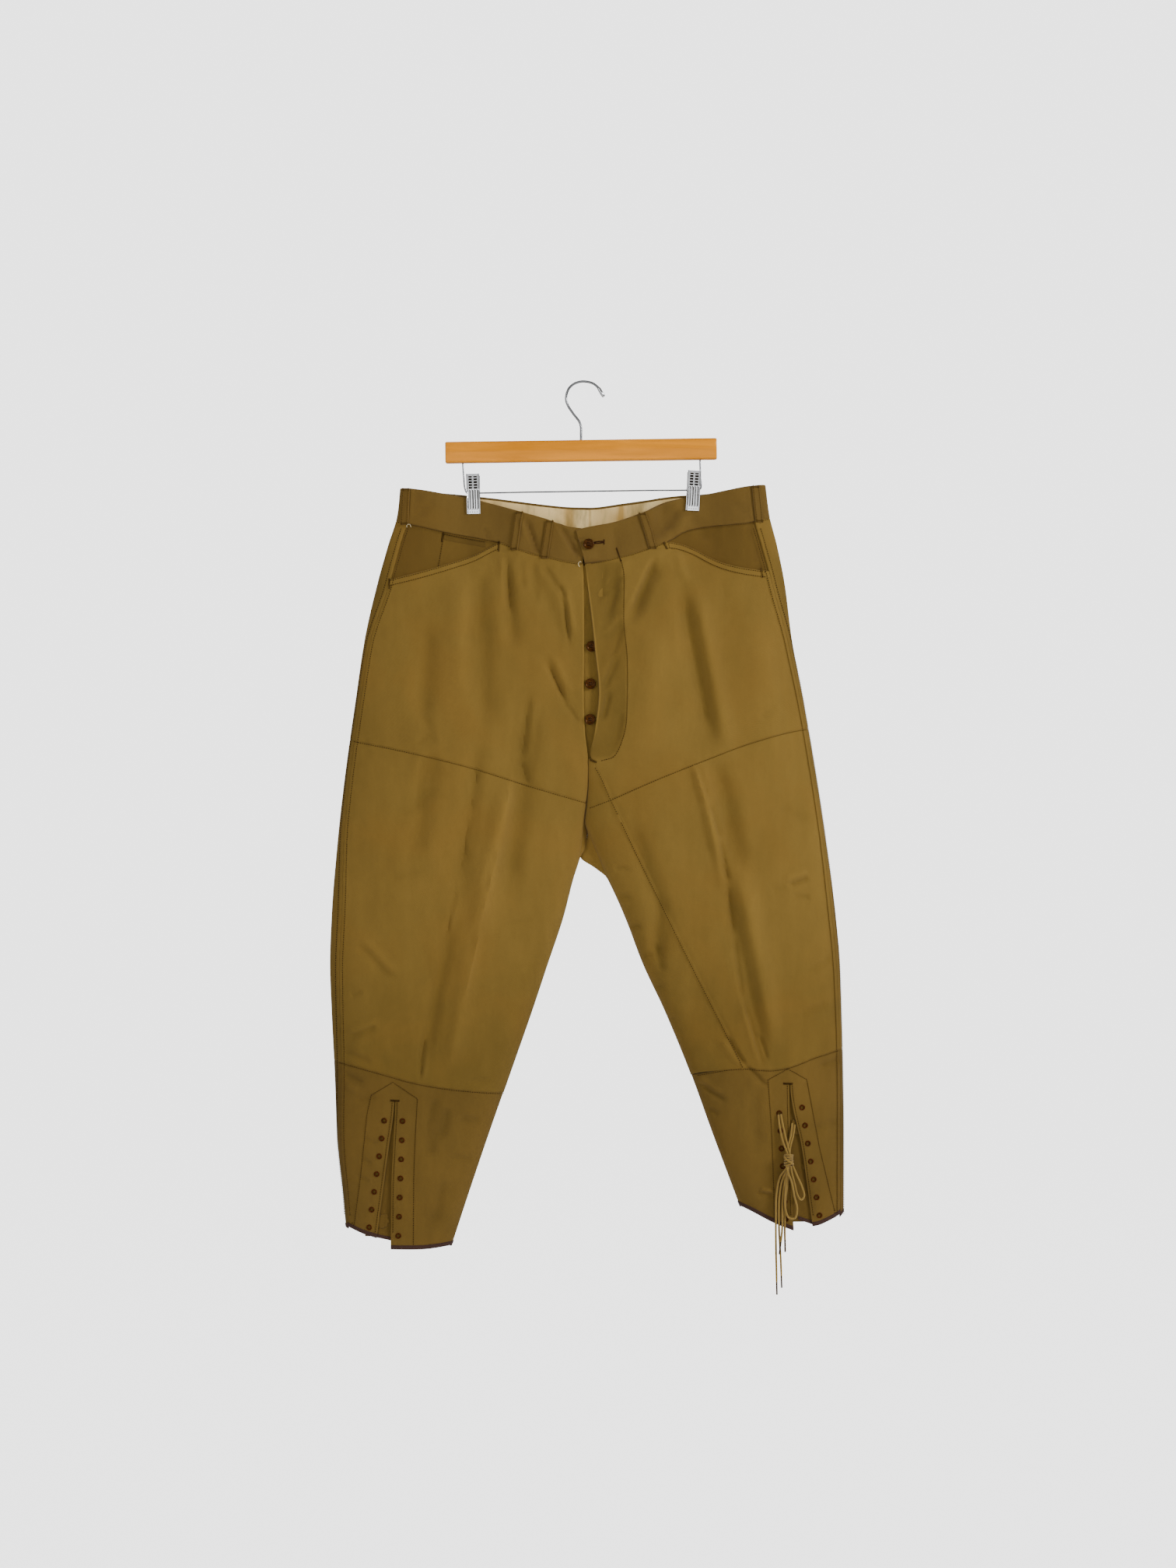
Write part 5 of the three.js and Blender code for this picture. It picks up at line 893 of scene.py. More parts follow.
def woven(name, pale, deep, warm, pitch=0.0011, diagonal=True, rough=0.95, sheen=0.06, stain=None):
    """A woven cotton: two tones of one dye, mixed by the tone of wear and painted shade, broad uneven fading,
    the weave's ridges and single thicker yarns.

    The weave is drawn at about twice its real spacing, because the real one is too fine to show.
    """
    material, tree, shader = new_material(name)
    uv = add(tree, "ShaderNodeTexCoord").outputs["UV"]
    place_at = add(tree, "ShaderNodeTexCoord").outputs["Object"]
    # The tone attribute holds wear together with painted highlight and painted shade; it mixes the deep and
    # pale khakis below.
    tone = add(tree, "ShaderNodeAttribute", {"attribute_name": "tone"}).outputs["Fac"]
    # Fading in patches about 110 mm wide, and streaks 30 mm wide and four times as long.
    broad = add(tree, "ShaderNodeTexNoise", None,
                {"Vector": place_at, "Scale": 9.0, "Detail": 3.0, "Roughness": 0.55, "Distortion": 0.6})
    streaks = add(tree, "ShaderNodeMapping", None,
                  {"Vector": place_at, "Scale": (34.0, 34.0, 9.0)}).outputs[0]
    mottle = add(tree, "ShaderNodeTexNoise", None,
                 {"Vector": streaks, "Scale": 1.0, "Detail": 5.0, "Roughness": 0.6})
    level = add(tree, "ShaderNodeMath", {"operation": "MULTIPLY_ADD"},
                {0: mottle.outputs["Fac"], 1: 0.55, 2: tone})
    level = add(tree, "ShaderNodeMapRange", None,
                {"Value": level.outputs[0], "From Min": 0.42, "From Max": 1.12})
    shade = add(tree, "ShaderNodeMix", {"data_type": "RGBA"},
                {0: level.outputs[0], 6: linear(deep), 7: linear(pale)}).outputs[2]
    patchy = add(tree, "ShaderNodeMapRange", None,
                 {"Value": broad.outputs["Fac"], "From Min": 0.42, "From Max": 0.66, "To Max": 0.75})
    tinted = add(tree, "ShaderNodeMix", {"data_type": "RGBA"},
                 {0: patchy.outputs[0], 6: shade, 7: linear(warm)}).outputs[2]
    colour = add(tree, "ShaderNodeMix", {"data_type": "RGBA"}, {0: 0.45, 6: shade, 7: tinted}).outputs[2]
    if stain:
        spots = add(tree, "ShaderNodeTexNoise", None,
                    {"Vector": streaks, "Scale": 1.4, "Detail": 4.0, "Roughness": 0.65})
        spots = add(tree, "ShaderNodeMapRange", None,
                    {"Value": spots.outputs["Fac"], "From Min": 0.5, "From Max": 0.72, "To Max": 0.8})
        colour = add(tree, "ShaderNodeMix", {"data_type": "RGBA"},
                     {0: spots.outputs[0], 6: colour, 7: linear(stain)}).outputs[2]
    turned = add(tree, "ShaderNodeMapping", None,
                 {"Vector": uv, "Rotation": (0.0, 0.0, math.radians(-62) if diagonal else 0.0)})
    ridges = add(tree, "ShaderNodeTexWave", {"wave_profile": "SIN"},
                 {"Vector": turned.outputs[0], "Scale": WAVE / pitch, "Distortion": 0.6, "Detail": 1.0})
    # Thicker yarns: 4 mm long and half a millimetre across.
    slubs = add(tree, "ShaderNodeMapping", None, {"Vector": uv, "Scale": (260.0, 1900.0, 1.0)})
    slubs = add(tree, "ShaderNodeTexNoise", None, {"Vector": slubs.outputs[0], "Scale": 1.0, "Detail": 2.0})
    yarn = add(tree, "ShaderNodeMath", {"operation": "MULTIPLY_ADD"},
               {0: ridges.outputs["Fac"], 1: 0.5, 2: slubs.outputs["Fac"]}).outputs[0]
    thread = add(tree, "ShaderNodeMapRange", None,
                 {"Value": yarn, "From Min": 0.2, "From Max": 1.2, "To Min": 0.9, "To Max": 1.08})
    colour = add(tree, "ShaderNodeVectorMath", {"operation": "SCALE"},
                 {0: colour, "Scale": thread.outputs[0]}).outputs[0]
    bump = add(tree, "ShaderNodeBump", None, {"Height": yarn, "Strength": 0.5, "Distance": 0.00025})
    feed(tree, shader, {
        "Base Color": colour, "Normal": bump.outputs[0], "Roughness": rough, "IOR": 1.45,
        "Sheen Weight": sheen, "Sheen Roughness": 0.5, "Specular IOR Level": 0.25})
    return material


def plain_finish(name, colour, other, scale, roughness, metallic=0.0, bump=0.0, stretch=(1, 1, 1), coat=0.0,
                 distortion=0.0):
    """A finish with two tones, mixed by a grain of which the scale counts the waves in a metre."""
    material, tree, shader = new_material(name)
    at = add(tree, "ShaderNodeTexCoord").outputs["Object"]
    at = add(tree, "ShaderNodeMapping", None, {"Vector": at, "Scale": stretch}).outputs[0]
    grain = add(tree, "ShaderNodeTexNoise", None,
                {"Vector": at, "Scale": scale, "Detail": 4.0, "Roughness": 0.6,
                 "Distortion": distortion}).outputs["Fac"]
    share = add(tree, "ShaderNodeMapRange", None, {"Value": grain, "From Min": 0.35, "From Max": 0.65})
    mixed = add(tree, "ShaderNodeMix", {"data_type": "RGBA"},
                {0: share.outputs[0], 6: linear(colour), 7: linear(other)})
    rough = add(tree, "ShaderNodeMapRange", None,
                {"Value": grain, "From Min": 0.3, "From Max": 0.7,
                 "To Min": max(roughness - 0.05, 0), "To Max": roughness + 0.06})
    feed(tree, shader, {"Base Color": mixed.outputs[2], "Roughness": rough.outputs[0], "Metallic": metallic,
                        "Coat Weight": coat})
    if not metallic:
        feed(tree, shader, {"Specular IOR Level": 0.2, "Specular Tint": linear("#ffc27a")})
    if bump:
        raised = add(tree, "ShaderNodeBump", None, {"Height": grain, "Strength": 0.4, "Distance": bump})
        feed(tree, shader, {"Normal": raised.outputs[0]})
    return material


def braid(name, pale, deep):
    """A round braided cotton cord: two sets of strands that cross, on the cord's own map."""
    material, tree, shader = new_material(name)
    uv = add(tree, "ShaderNodeTexCoord").outputs["UV"]
    heights = []
    for angle in (38, -38):
        turned = add(tree, "ShaderNodeMapping", None, {"Vector": uv, "Rotation": (0, 0, math.radians(angle))})
        heights.append(add(tree, "ShaderNodeTexWave", {"bands_direction": "X"},
                           {"Vector": turned.outputs[0], "Scale": WAVE / 0.0012}).outputs["Fac"])
    crossed = add(tree, "ShaderNodeMath", {"operation": "MULTIPLY"}, dict(enumerate(heights))).outputs[0]
    mixed = add(tree, "ShaderNodeMix", {"data_type": "RGBA"}, {0: crossed, 6: linear(deep), 7: linear(pale)})
    bump = add(tree, "ShaderNodeBump", None, {"Height": crossed, "Strength": 0.7, "Distance": 0.0003})
    feed(tree, shader, {"Base Color": mixed.outputs[2], "Normal": bump.outputs[0], "Roughness": 0.85,
                        "Sheen Weight": 0.2})
    return material


MATERIALS = {}


def make_materials(colours):
    """The finishes, each named by what it is."""
    khaki = hexes(colours)
    # Worn cotton twill: dull, slightly brushed, paler where it rubs and where highlight is painted on the
    # folds, darker where shade is painted.
    MATERIALS["twill"] = woven("worn khaki cotton twill", khaki["pale"], khaki["deep"], khaki["warm"])
    # Doubled, topstitched twill of the waistband: a shade deeper and smoother.
    MATERIALS["waistband_twill"] = woven("khaki twill of the waistband", "#745b28", "#553f18", "#6c501e")
    # Painted shade: a darker copy of the twill for the calves, which hang in the shade of the thighs, and
    # which hold more dye.
    MATERIALS["calf_twill"] = woven("khaki twill of the calves", "#785d28", "#523f15", "#6d5220")
    # Unfaded twill under the laps: the facings, tongues and button stand.
    MATERIALS["shaded_twill"] = woven("unfaded khaki twill", "#6b5220", "#47350f", "#61471a")
    # Plain-weave waist lining: cream, matt, with old grey and tan stains.
    MATERIALS["lining"] = woven("cream plain cotton lining", "#ffe2a0", "#bb9450", "#f2cb86", 0.0012, False,
                                0.95, 0.05, "#9a8350")
    # Woven tape that binds the hems: dark and slightly glossy along its ribs.
    MATERIALS["binding"] = woven("dark brown cotton tape", "#4a3026", "#2a1a15", "#3a241c", 0.0014, False,
                                 0.8)
    # Braided cord, washed and dull.
    MATERIALS["lace"] = braid("braided ochre cotton lace", "#b8963c", "#775a1b")
    # Sewing thread: glazed cotton, darker than the cloth.
    MATERIALS["thread"] = plain_finish("brown sewing thread", "#2f1f0c", "#231608", 900, 0.7)
    # The paler thread that sews the waistband and its loops.
    MATERIALS["band_thread"] = plain_finish("khaki sewing thread", "#523d1b", "#443214", 900, 0.7)
    # Ends of the basting thread that were never pulled out.
    MATERIALS["cream_thread"] = plain_finish("cream basting thread", "#e6d9b4", "#cfbf94", 900, 0.8)
    # Doubled thread of the bar tacks and the buttonhole.
    MATERIALS["tack_thread"] = plain_finish("dark brown tack thread", "#331a10", "#24110b", 900, 0.65)
    # Moulded corozo-like button: mottled brown with a soft polish.
    MATERIALS["button"] = plain_finish("mottled brown button", "#4d290a", "#2c1704", 260, 0.3, coat=0.05)
    # Enamel on brass, worn dull.
    MATERIALS["eyelet"] = plain_finish("dark brown enamelled eyelet", "#4d210a", "#2e1404", 500, 0.4)
    # Varnished beech: long fine grain, satin gloss.
    MATERIALS["wood"] = plain_finish("varnished beech", "#f29a1e", "#d9860c", 8, 0.45, bump=0.0001,
                                     stretch=(1, 12, 12), coat=0.2, distortion=0.5)
    # Plated steel wire and sheet: bright, near mirror.
    MATERIALS["steel"] = plain_finish("bright plated steel", "#d6d8da", "#c9cbce", 40, 0.14, metallic=1.0)
    # Drawn wire with a dull nickel plate; its colour is also painted darker for the dark reflections it would
    # show.
    MATERIALS["wire"] = plain_finish("dull nickel-plated wire painted darker", "#8d8f91", "#77797c", 60, 0.26, metallic=1.0)
    # Painted shade and painted dark reflection: near-black steel for the inside of the jaws, the grooves
    # between their ribs and the back jaw's slots.
    MATERIALS["dull_steel"] = plain_finish("dark unpolished steel", "#0d0d0d", "#070707", 120, 0.6)
    # The lace's tips, dipped and dark.
    MATERIALS["tip"] = plain_finish("dark dipped lace tip", "#4b3d2b", "#2e251a", 300, 0.5)


def hexes(colours):
    """The three khakis of the settings as hex values."""
    return {name: "#" + "".join("%02x" % round(255 * c) for c in getattr(colours, name))
            for name in ("pale", "deep", "warm")}


# ---------------------------------------------------------------- Geometry Nodes: what repeats
def new_tree(name, sizes):
    """A geometry tree that takes a mesh, some sizes and a material, and what it is given."""
    tree = bpy.data.node_groups.new(name, "GeometryNodeTree")
    face = tree.interface
    face.new_socket("Geometry", in_out="INPUT", socket_type="NodeSocketGeometry")
    for size in sizes:
        face.new_socket(size, in_out="INPUT", socket_type="NodeSocketFloat")
    face.new_socket("Material", in_out="INPUT", socket_type="NodeSocketMaterial")
    face.new_socket("Geometry", in_out="OUTPUT", socket_type="NodeSocketGeometry")
    return tree, add(tree, "NodeGroupInput").outputs


def give_out(tree, instances, material):
    """Ends a tree: its instances as a plain mesh of one material."""
    real = add(tree, "GeometryNodeRealizeInstances", None, {"Geometry": instances})
    painted = add(tree, "GeometryNodeSetMaterial", None, {"Geometry": real.outputs[0], "Material": material})
    add(tree, "NodeGroupOutput", None, {"Geometry": painted.outputs[0]})
    return tree


def stitch_tree():
    """Rows of stitches along the edges of a mesh: one small thread capsule for each pitch."""
    tree, given = new_tree("Stitch rows", ("Pitch", "Stitch Length", "Thread Width"))
    line = add(tree, "GeometryNodeMeshToCurve", None, {"Mesh": given["Geometry"]})
    even = add(tree, "GeometryNodeResampleCurve", {"mode": "LENGTH"},
               {"Curve": line.outputs["Curve"], "Length": given["Pitch"]})
    capsule = add(tree, "GeometryNodeMeshIcoSphere", None, {"Radius": 0.5, "Subdivisions": 1})
    size = add(tree, "ShaderNodeCombineXYZ", None,
               {"X": given["Stitch Length"], "Y": given["Thread Width"], "Z": given["Thread Width"]})
    ahead = add(tree, "GeometryNodeInputTangent")
    turn = add(tree, "FunctionNodeAlignRotationToVector", {"axis": "X"}, {"Vector": ahead.outputs[0]})
    placed = add(tree, "GeometryNodeInstanceOnPoints", None,
                 {"Points": even.outputs["Curve"], "Instance": capsule.outputs["Mesh"],
                  "Rotation": turn.outputs[0], "Scale": size.outputs[0]})
    return give_out(tree, placed.outputs[0], given["Material"])


def eyelet_tree():
    """A turned rim at each vertex, aimed along the vertex's own direction."""
    tree, given = new_tree("Eyelet rims", ("Ring Radius", "Rim Radius"))
    circle, section = (
        add(tree, "GeometryNodeCurvePrimitiveCircle", None, {"Resolution": sides, "Radius": given[radius]})
        for sides, radius in ((20, "Ring Radius"), (8, "Rim Radius")))
    rim = add(tree, "GeometryNodeCurveToMesh", None,
              {"Curve": circle.outputs["Curve"], "Profile Curve": section.outputs["Curve"]})
    smooth = add(tree, "GeometryNodeSetShadeSmooth", None, {"Geometry": rim.outputs[0]})
    aim = add(tree, "GeometryNodeInputNamedAttribute", {"data_type": "FLOAT_VECTOR"}, {"Name": "aim"})
    turn = add(tree, "FunctionNodeAlignRotationToVector", {"axis": "Z"}, {"Vector": aim.outputs["Attribute"]})
    points = add(tree, "GeometryNodeMeshToPoints", None, {"Mesh": given["Geometry"]})
    placed = add(tree, "GeometryNodeInstanceOnPoints", None,
                 {"Points": points.outputs[0], "Instance": smooth.outputs[0], "Rotation": turn.outputs[0]})
    return give_out(tree, placed.outputs[0], given["Material"])


def grown(name, source, tree, values):
    """The plain mesh that a tree makes of a source mesh, as a piece at the origin."""
    carrier = link(name + "_source", source)
    modifier = carrier.modifiers.new("Grow", "NODES")
    modifier.node_group = tree
    for item in tree.interface.items_tree:
        if item.in_out == "INPUT" and item.name in values:
            modifier[item.identifier] = values[item.name]
    bpy.context.view_layer.update()
    evaluated = carrier.evaluated_get(bpy.context.evaluated_depsgraph_get())
    mesh = bpy.data.meshes.new_from_object(evaluated)
    carrier.modifiers.remove(modifier)
    bpy.data.objects.remove(carrier)
    bpy.data.meshes.remove(source)
    mesh.name = name
    return link(name, mesh)


def lines_mesh(name, lines):
    """A mesh of edges only, from lines of points in mm."""
    points, edges = [], []
    for line in lines:
        start = len(points)
        points.extend((np.asarray(line) * MM).tolist())
        edges.extend((start + i, start + i + 1) for i in range(len(line) - 1))
    mesh = bpy.data.meshes.new(name)
    mesh.from_pydata(points, edges, [])
    return mesh


# ---------------------------------------------------------------- settings
class BreechesSettings(bpy.types.PropertyGroup):
    """Sizes and colours that a user would change."""

    cloth_pitch: FloatProperty(name="Cloth pitch", description="Spacing of the threads of the mesh",
                               default=0.0027, min=0.0015, max=0.02, subtype="DISTANCE", unit="LENGTH")
    calf_pitch: FloatProperty(name="Calf pitch", description="Spacing on the laced fronts of the calves",
                              default=0.0019, min=0.001, max=0.01, subtype="DISTANCE", unit="LENGTH")
    stitch_pitch: FloatProperty(name="Stitch pitch", description="From one stitch to the next",
                                default=0.003, min=0.001, max=0.01, subtype="DISTANCE", unit="LENGTH")
    stitch_length: FloatProperty(name="Stitch length", description="What shows of one stitch",
                                 default=0.0023, min=0.0005, max=0.01, subtype="DISTANCE", unit="LENGTH")
    thread_width: FloatProperty(name="Thread width", description="Width of the sewing thread",
                                default=0.00105, min=0.0002, max=0.002, subtype="DISTANCE", unit="LENGTH")
    eyelet_sides: IntProperty(name="Eyelets in a row", description="Eyelets along one edge of a slit",
                              default=7, min=2, max=12)
    # The pale and deep khakis are mixed by the tone: pale also shows the painted highlight on ridges, deep
    # the painted shade in troughs, at the side folds, low on the thighs and on the calves.
    pale: FloatVectorProperty(name="Pale khaki", description="Where the cloth is rubbed", subtype="COLOR",
                              default=(0.522, 0.412, 0.18), min=0, max=1)
    deep: FloatVectorProperty(name="Deep khaki", description="Where the cloth keeps its dye", subtype="COLOR",
                              default=(0.405, 0.318, 0.122), min=0, max=1)
    warm: FloatVectorProperty(name="Warm khaki", description="The warmer cast of its uneven fading",
                              subtype="COLOR", default=(0.5, 0.372, 0.15), min=0, max=1)


def settings():
    return bpy.context.scene.breeches


# ---------------------------------------------------------------- pieces: stage and cords
class BREECHES_OT_stage(bpy.types.Operator):
    """Camera, soft studio light and a plain pale floor"""

    bl_idname = "breeches.stage"
    bl_label = "Stage"

    def execute(self, context):
        make_materials(settings())
        scene = context.scene
        lens = bpy.data.cameras.new("camera")
        lens.sensor_fit = "HORIZONTAL"
        lens.sensor_width = 36
        lens.lens = 36 * 3.0 / 1.512
        lens.clip_end = 50
        camera = link("camera", lens)
        camera.location = (0.007, -3.012, -0.518)
        camera.rotation_euler = (math.pi / 2, 0, 0)
        scene.camera = camera
        world = bpy.data.worlds.new("pale studio")
        scene.world = world
        world.use_nodes = True
        tree = world.node_tree
        tree.nodes.clear()
        seen = add(tree, "ShaderNodeBackground", None, {"Color": linear("#ffffff"), "Strength": PAPER})
        lit = add(tree, "ShaderNodeBackground", None, {"Color": linear("#fbf8f2"), "Strength": 0.28})
        path = add(tree, "ShaderNodeLightPath")
        mixed = add(tree, "ShaderNodeMixShader", None,
                    {0: path.outputs["Is Camera Ray"], 1: lit.outputs[0], 2: seen.outputs[0]})
        add(tree, "ShaderNodeOutputWorld", None, {"Surface": mixed.outputs[0]})
        for name, place_at, target, size, power in (
            ("key light", (4.0, -2.6, 1.4), (-0.1, 0, -0.6), 1.1, 190),
            ("fill light", (-2.2, -2.6, 0.2), (0.1, 0, -0.6), 2.4, 36),
            ("white card", (0.0, -4.2, -0.35), (0, 0, -0.35), 1.8, 22),
            ("back light", (0.6, 3.0, 1.6), (0, 0, -0.6), 2.6, 85),
        ):
            light = bpy.data.lights.new(name, "AREA")
            light.shape = "SQUARE"
            light.size = size
            light.energy = power
            lamp = link(name, light)
            lamp.location = place_at
            lamp.rotation_euler = (Vector(target) - Vector(place_at)).to_track_quat("-Z", "Y").to_euler()
        self.sweep()
        return {"FINISHED"}

    @staticmethod
    def sweep():
        """The floor, which turns up into the background without a line between them."""
        half, low, bend, back, high = 12.0, -1.75, 3.0, 9.0, 9.0
        line = [(-12.0, low)] + [
            (back - bend + bend * math.sin(a), low + bend - bend * math.cos(a))
            for a in np.linspace(0, math.pi / 2, 13)] + [(back, high)]
        points = [(x, y, z) for y, z in line for x in (-half, half)]
        faces = [(2 * i, 2 * i + 1, 2 * i + 3, 2 * i + 2) for i in range(len(line) - 1)]
        mesh = bpy.data.meshes.new("floor and background")
        mesh.from_pydata(points, [], faces)
        mesh.polygons.foreach_set("use_smooth", np.ones(len(faces), bool))
        # White paper: matt where it lights the piece, and seen evenly bright by the camera.
        material, tree, shader = new_material("white studio paper")
        at = add(tree, "ShaderNodeTexCoord").outputs["Object"]
        fibre = add(tree, "ShaderNodeTexNoise", None, {"Vector": at, "Scale": 0.4, "Detail": 1.0})
        tint = add(tree, "ShaderNodeMix", {"data_type": "RGBA"},
                   {0: fibre.outputs["Fac"], 6: linear("#efefef"), 7: linear("#f4f4f4")})
        feed(tree, shader, {"Base Color": tint.outputs[2], "Roughness": 0.9})
        glow = add(tree, "ShaderNodeEmission", None, {"Color": linear("#ffffff"), "Strength": PAPER})
        path = add(tree, "ShaderNodeLightPath")
        share = add(tree, "ShaderNodeMath", {"operation": "MULTIPLY"},
                    {0: path.outputs["Is Camera Ray"], 1: 0.9})
        mixed = add(tree, "ShaderNodeMixShader", None,
                    {0: share.outputs[0], 1: shader.outputs[0], 2: glow.outputs[0]})
        output = next(node for node in tree.nodes if node.type == "OUTPUT_MATERIAL")
        tree.links.new(mixed.outputs[0], output.inputs["Surface"])
        mesh.materials.append(material)
        return link("floor and background", mesh)


# Each length of the lace: x, drop, and how far it stands in front of the knot's base.
LACE_ROUTES = {
    "lace_first": table(
        "x drop off", (250.7, 941, 3.6), (251.6, 952, 4.6), (255.6, 973, 6.4), (261.6, 990, 9.5),
        (261.9, 998, 9.6), (261.4, 1007, 9.3), (253, 1020, 5), (248, 1045, 2.8), (247.4, 1080, 2.8),
        (247.6, 1110, 2.6), (248.3, 1140, 1.6), (249, 1172, 0.6)),
    "lace_second": table(
        "x drop off", (253.7, 940.5, 3.6), (255.8, 952, 4.6), (260.4, 973, 6.4), (264.4, 990, 9.5),
        (264.7, 998, 9.6), (264, 1007, 9.5), (256.6, 1021, 6.4), (252, 1045, 3.4), (251.6, 1088, 3.2),
        (253.6, 1125, 2.6), (255, 1163, 1.6)),
    "lace_third": table(
        "x drop off", (268.6, 952, 1.2), (266.8, 966, 3), (262.8, 982, 5.4), (261.9, 991, 6.8),
        (261.9, 998, 6.8), (261.6, 1007, 6.5), (259, 1022, 3.4), (256, 1050, 3.4), (255.4, 1084, 5.6),
        (251.6, 1119, 7.4)),
    "lace_fourth": table(
        "x drop off", (271.8, 954, 1.4), (269.4, 968, 3.4), (265.6, 982, 5.6), (264.7, 991, 6.8),
        (264.7, 998, 6.8), (264.4, 1007, 6.5), (262.8, 1024, 3.2), (260, 1050, 2.8), (258.8, 1084, 2.8),
        (259.4, 1117, 2.4)),
    "bow_short": table(
        "x drop off", (268.6, 1005.5, 8.4), (274, 1018, 8), (281, 1034, 6.4), (283.4, 1045, 5.6),
        (279.6, 1049.6, 5.4), (275, 1044, 5.8), (271, 1029, 7.2), (267.6, 1016, 8.6), (265.8, 1005.5, 11.2)),
    "bow_long": table(
        "x drop off", (262.6, 1005.5, 12.4), (261.4, 1018, 11), (259.4, 1038, 7.4), (259.2, 1060, 6),
        (264, 1072.6, 5.6), (271.6, 1073, 5.6), (274.4, 1061, 6), (270.4, 1044, 9.6), (267, 1026, 12),
        (262.2, 1014, 14.6), (260.2, 1005.5, 11.6)),
}
LACE_TIP = 16.0  # mm of dipped tip at a free end


class BREECHES_OT_lace(bpy.types.Operator):
    """The lace: four hanging ends, two bow loops and the wrapped knot"""

    bl_idname = "breeches.lace"
    bl_label = "Lace"

    def execute(self, context):
        low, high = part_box("lace_knot")
        base = (low[1] + high[1]) / 2 / MM + KNOT["stand_off"]
        knot = self.knot(base - KNOT["stand_off"])
        for index, (name, rows) in enumerate(LACE_ROUTES.items()):
            points = np.stack([rows["x"], base - rows["off"], -rows["drop"]], 1)
            path = smooth_path(points, 1.8)
            tail = name.startswith("lace")
            travelled = lengths_along(path)
            left = travelled[-1] - travelled
            radius = np.full(len(path), LACE_WIDTH / 2)
            if tail:
                radius = radius * lerp(0.85, 1, smoothstep(LACE_TIP - 6, LACE_TIP + 8, left))
            parts = tube(path, radius, 10)
            piece = joined(name + "_cord", [parts], MATERIALS["lace"])
            if tail:
                piece.data.materials.append(MATERIALS["tip"])
                for polygon in piece.data.polygons:
                    if polygon.center.z < -(rows["drop"][-1] - LACE_TIP) * MM:
                        polygon.material_index = 1
            settle(piece, "lace", name)
        return {"FINISHED"}

    @staticmethod
    def knot(y):
        """Five slanting turns round the strands and one turn that crosses them."""
        centre = np.array([KNOT["x"], y, -KNOT["drop"]])
        radius = KNOT["bore"] + LACE_WIDTH / 2
        parts = []
        angles = np.linspace(0, 2 * math.pi, 28, endpoint=False)
        for turn in range(5):
            height = (turn - 2) * LACE_WIDTH * 1.04
            wide = radius * (1.0 + 0.06 * math.sin(turn * 2.1))
            ring = np.stack([wide * np.cos(angles), wide * np.sin(angles),
                             height + 1.5 * np.cos(angles + 0.4 * turn)], 1)
            parts.append(tube(centre + ring, LACE_WIDTH / 2, 10, closed=True))
        across = smooth_path([(-5.6, -2.5, 4.6), (-4.6, -5.2, 2.4), (-0.6, -7.0, -0.6), (3.6, -6.2, -3.4),
                              (5.4, -3.0, -5.0)], 1.0)
        parts.append(tube(centre + across, LACE_WIDTH / 2, 10))
        return settle(joined("lace_knot_wraps", parts, MATERIALS["lace"]), "lace", "lace_knot")


# ---------------------------------------------------------------- pieces: the cloth
BACK_PITCH_RATIO = 1.12  # the backs' folds are broad, so their grids are this much coarser
# The tape at a tongue's end: its drops at both ends, and the x where it stops.
TONGUE_TAPE = {"right": (1099.5, 1104.5, -242.0), "left": (1084.0, 1077.0, 277.0)}


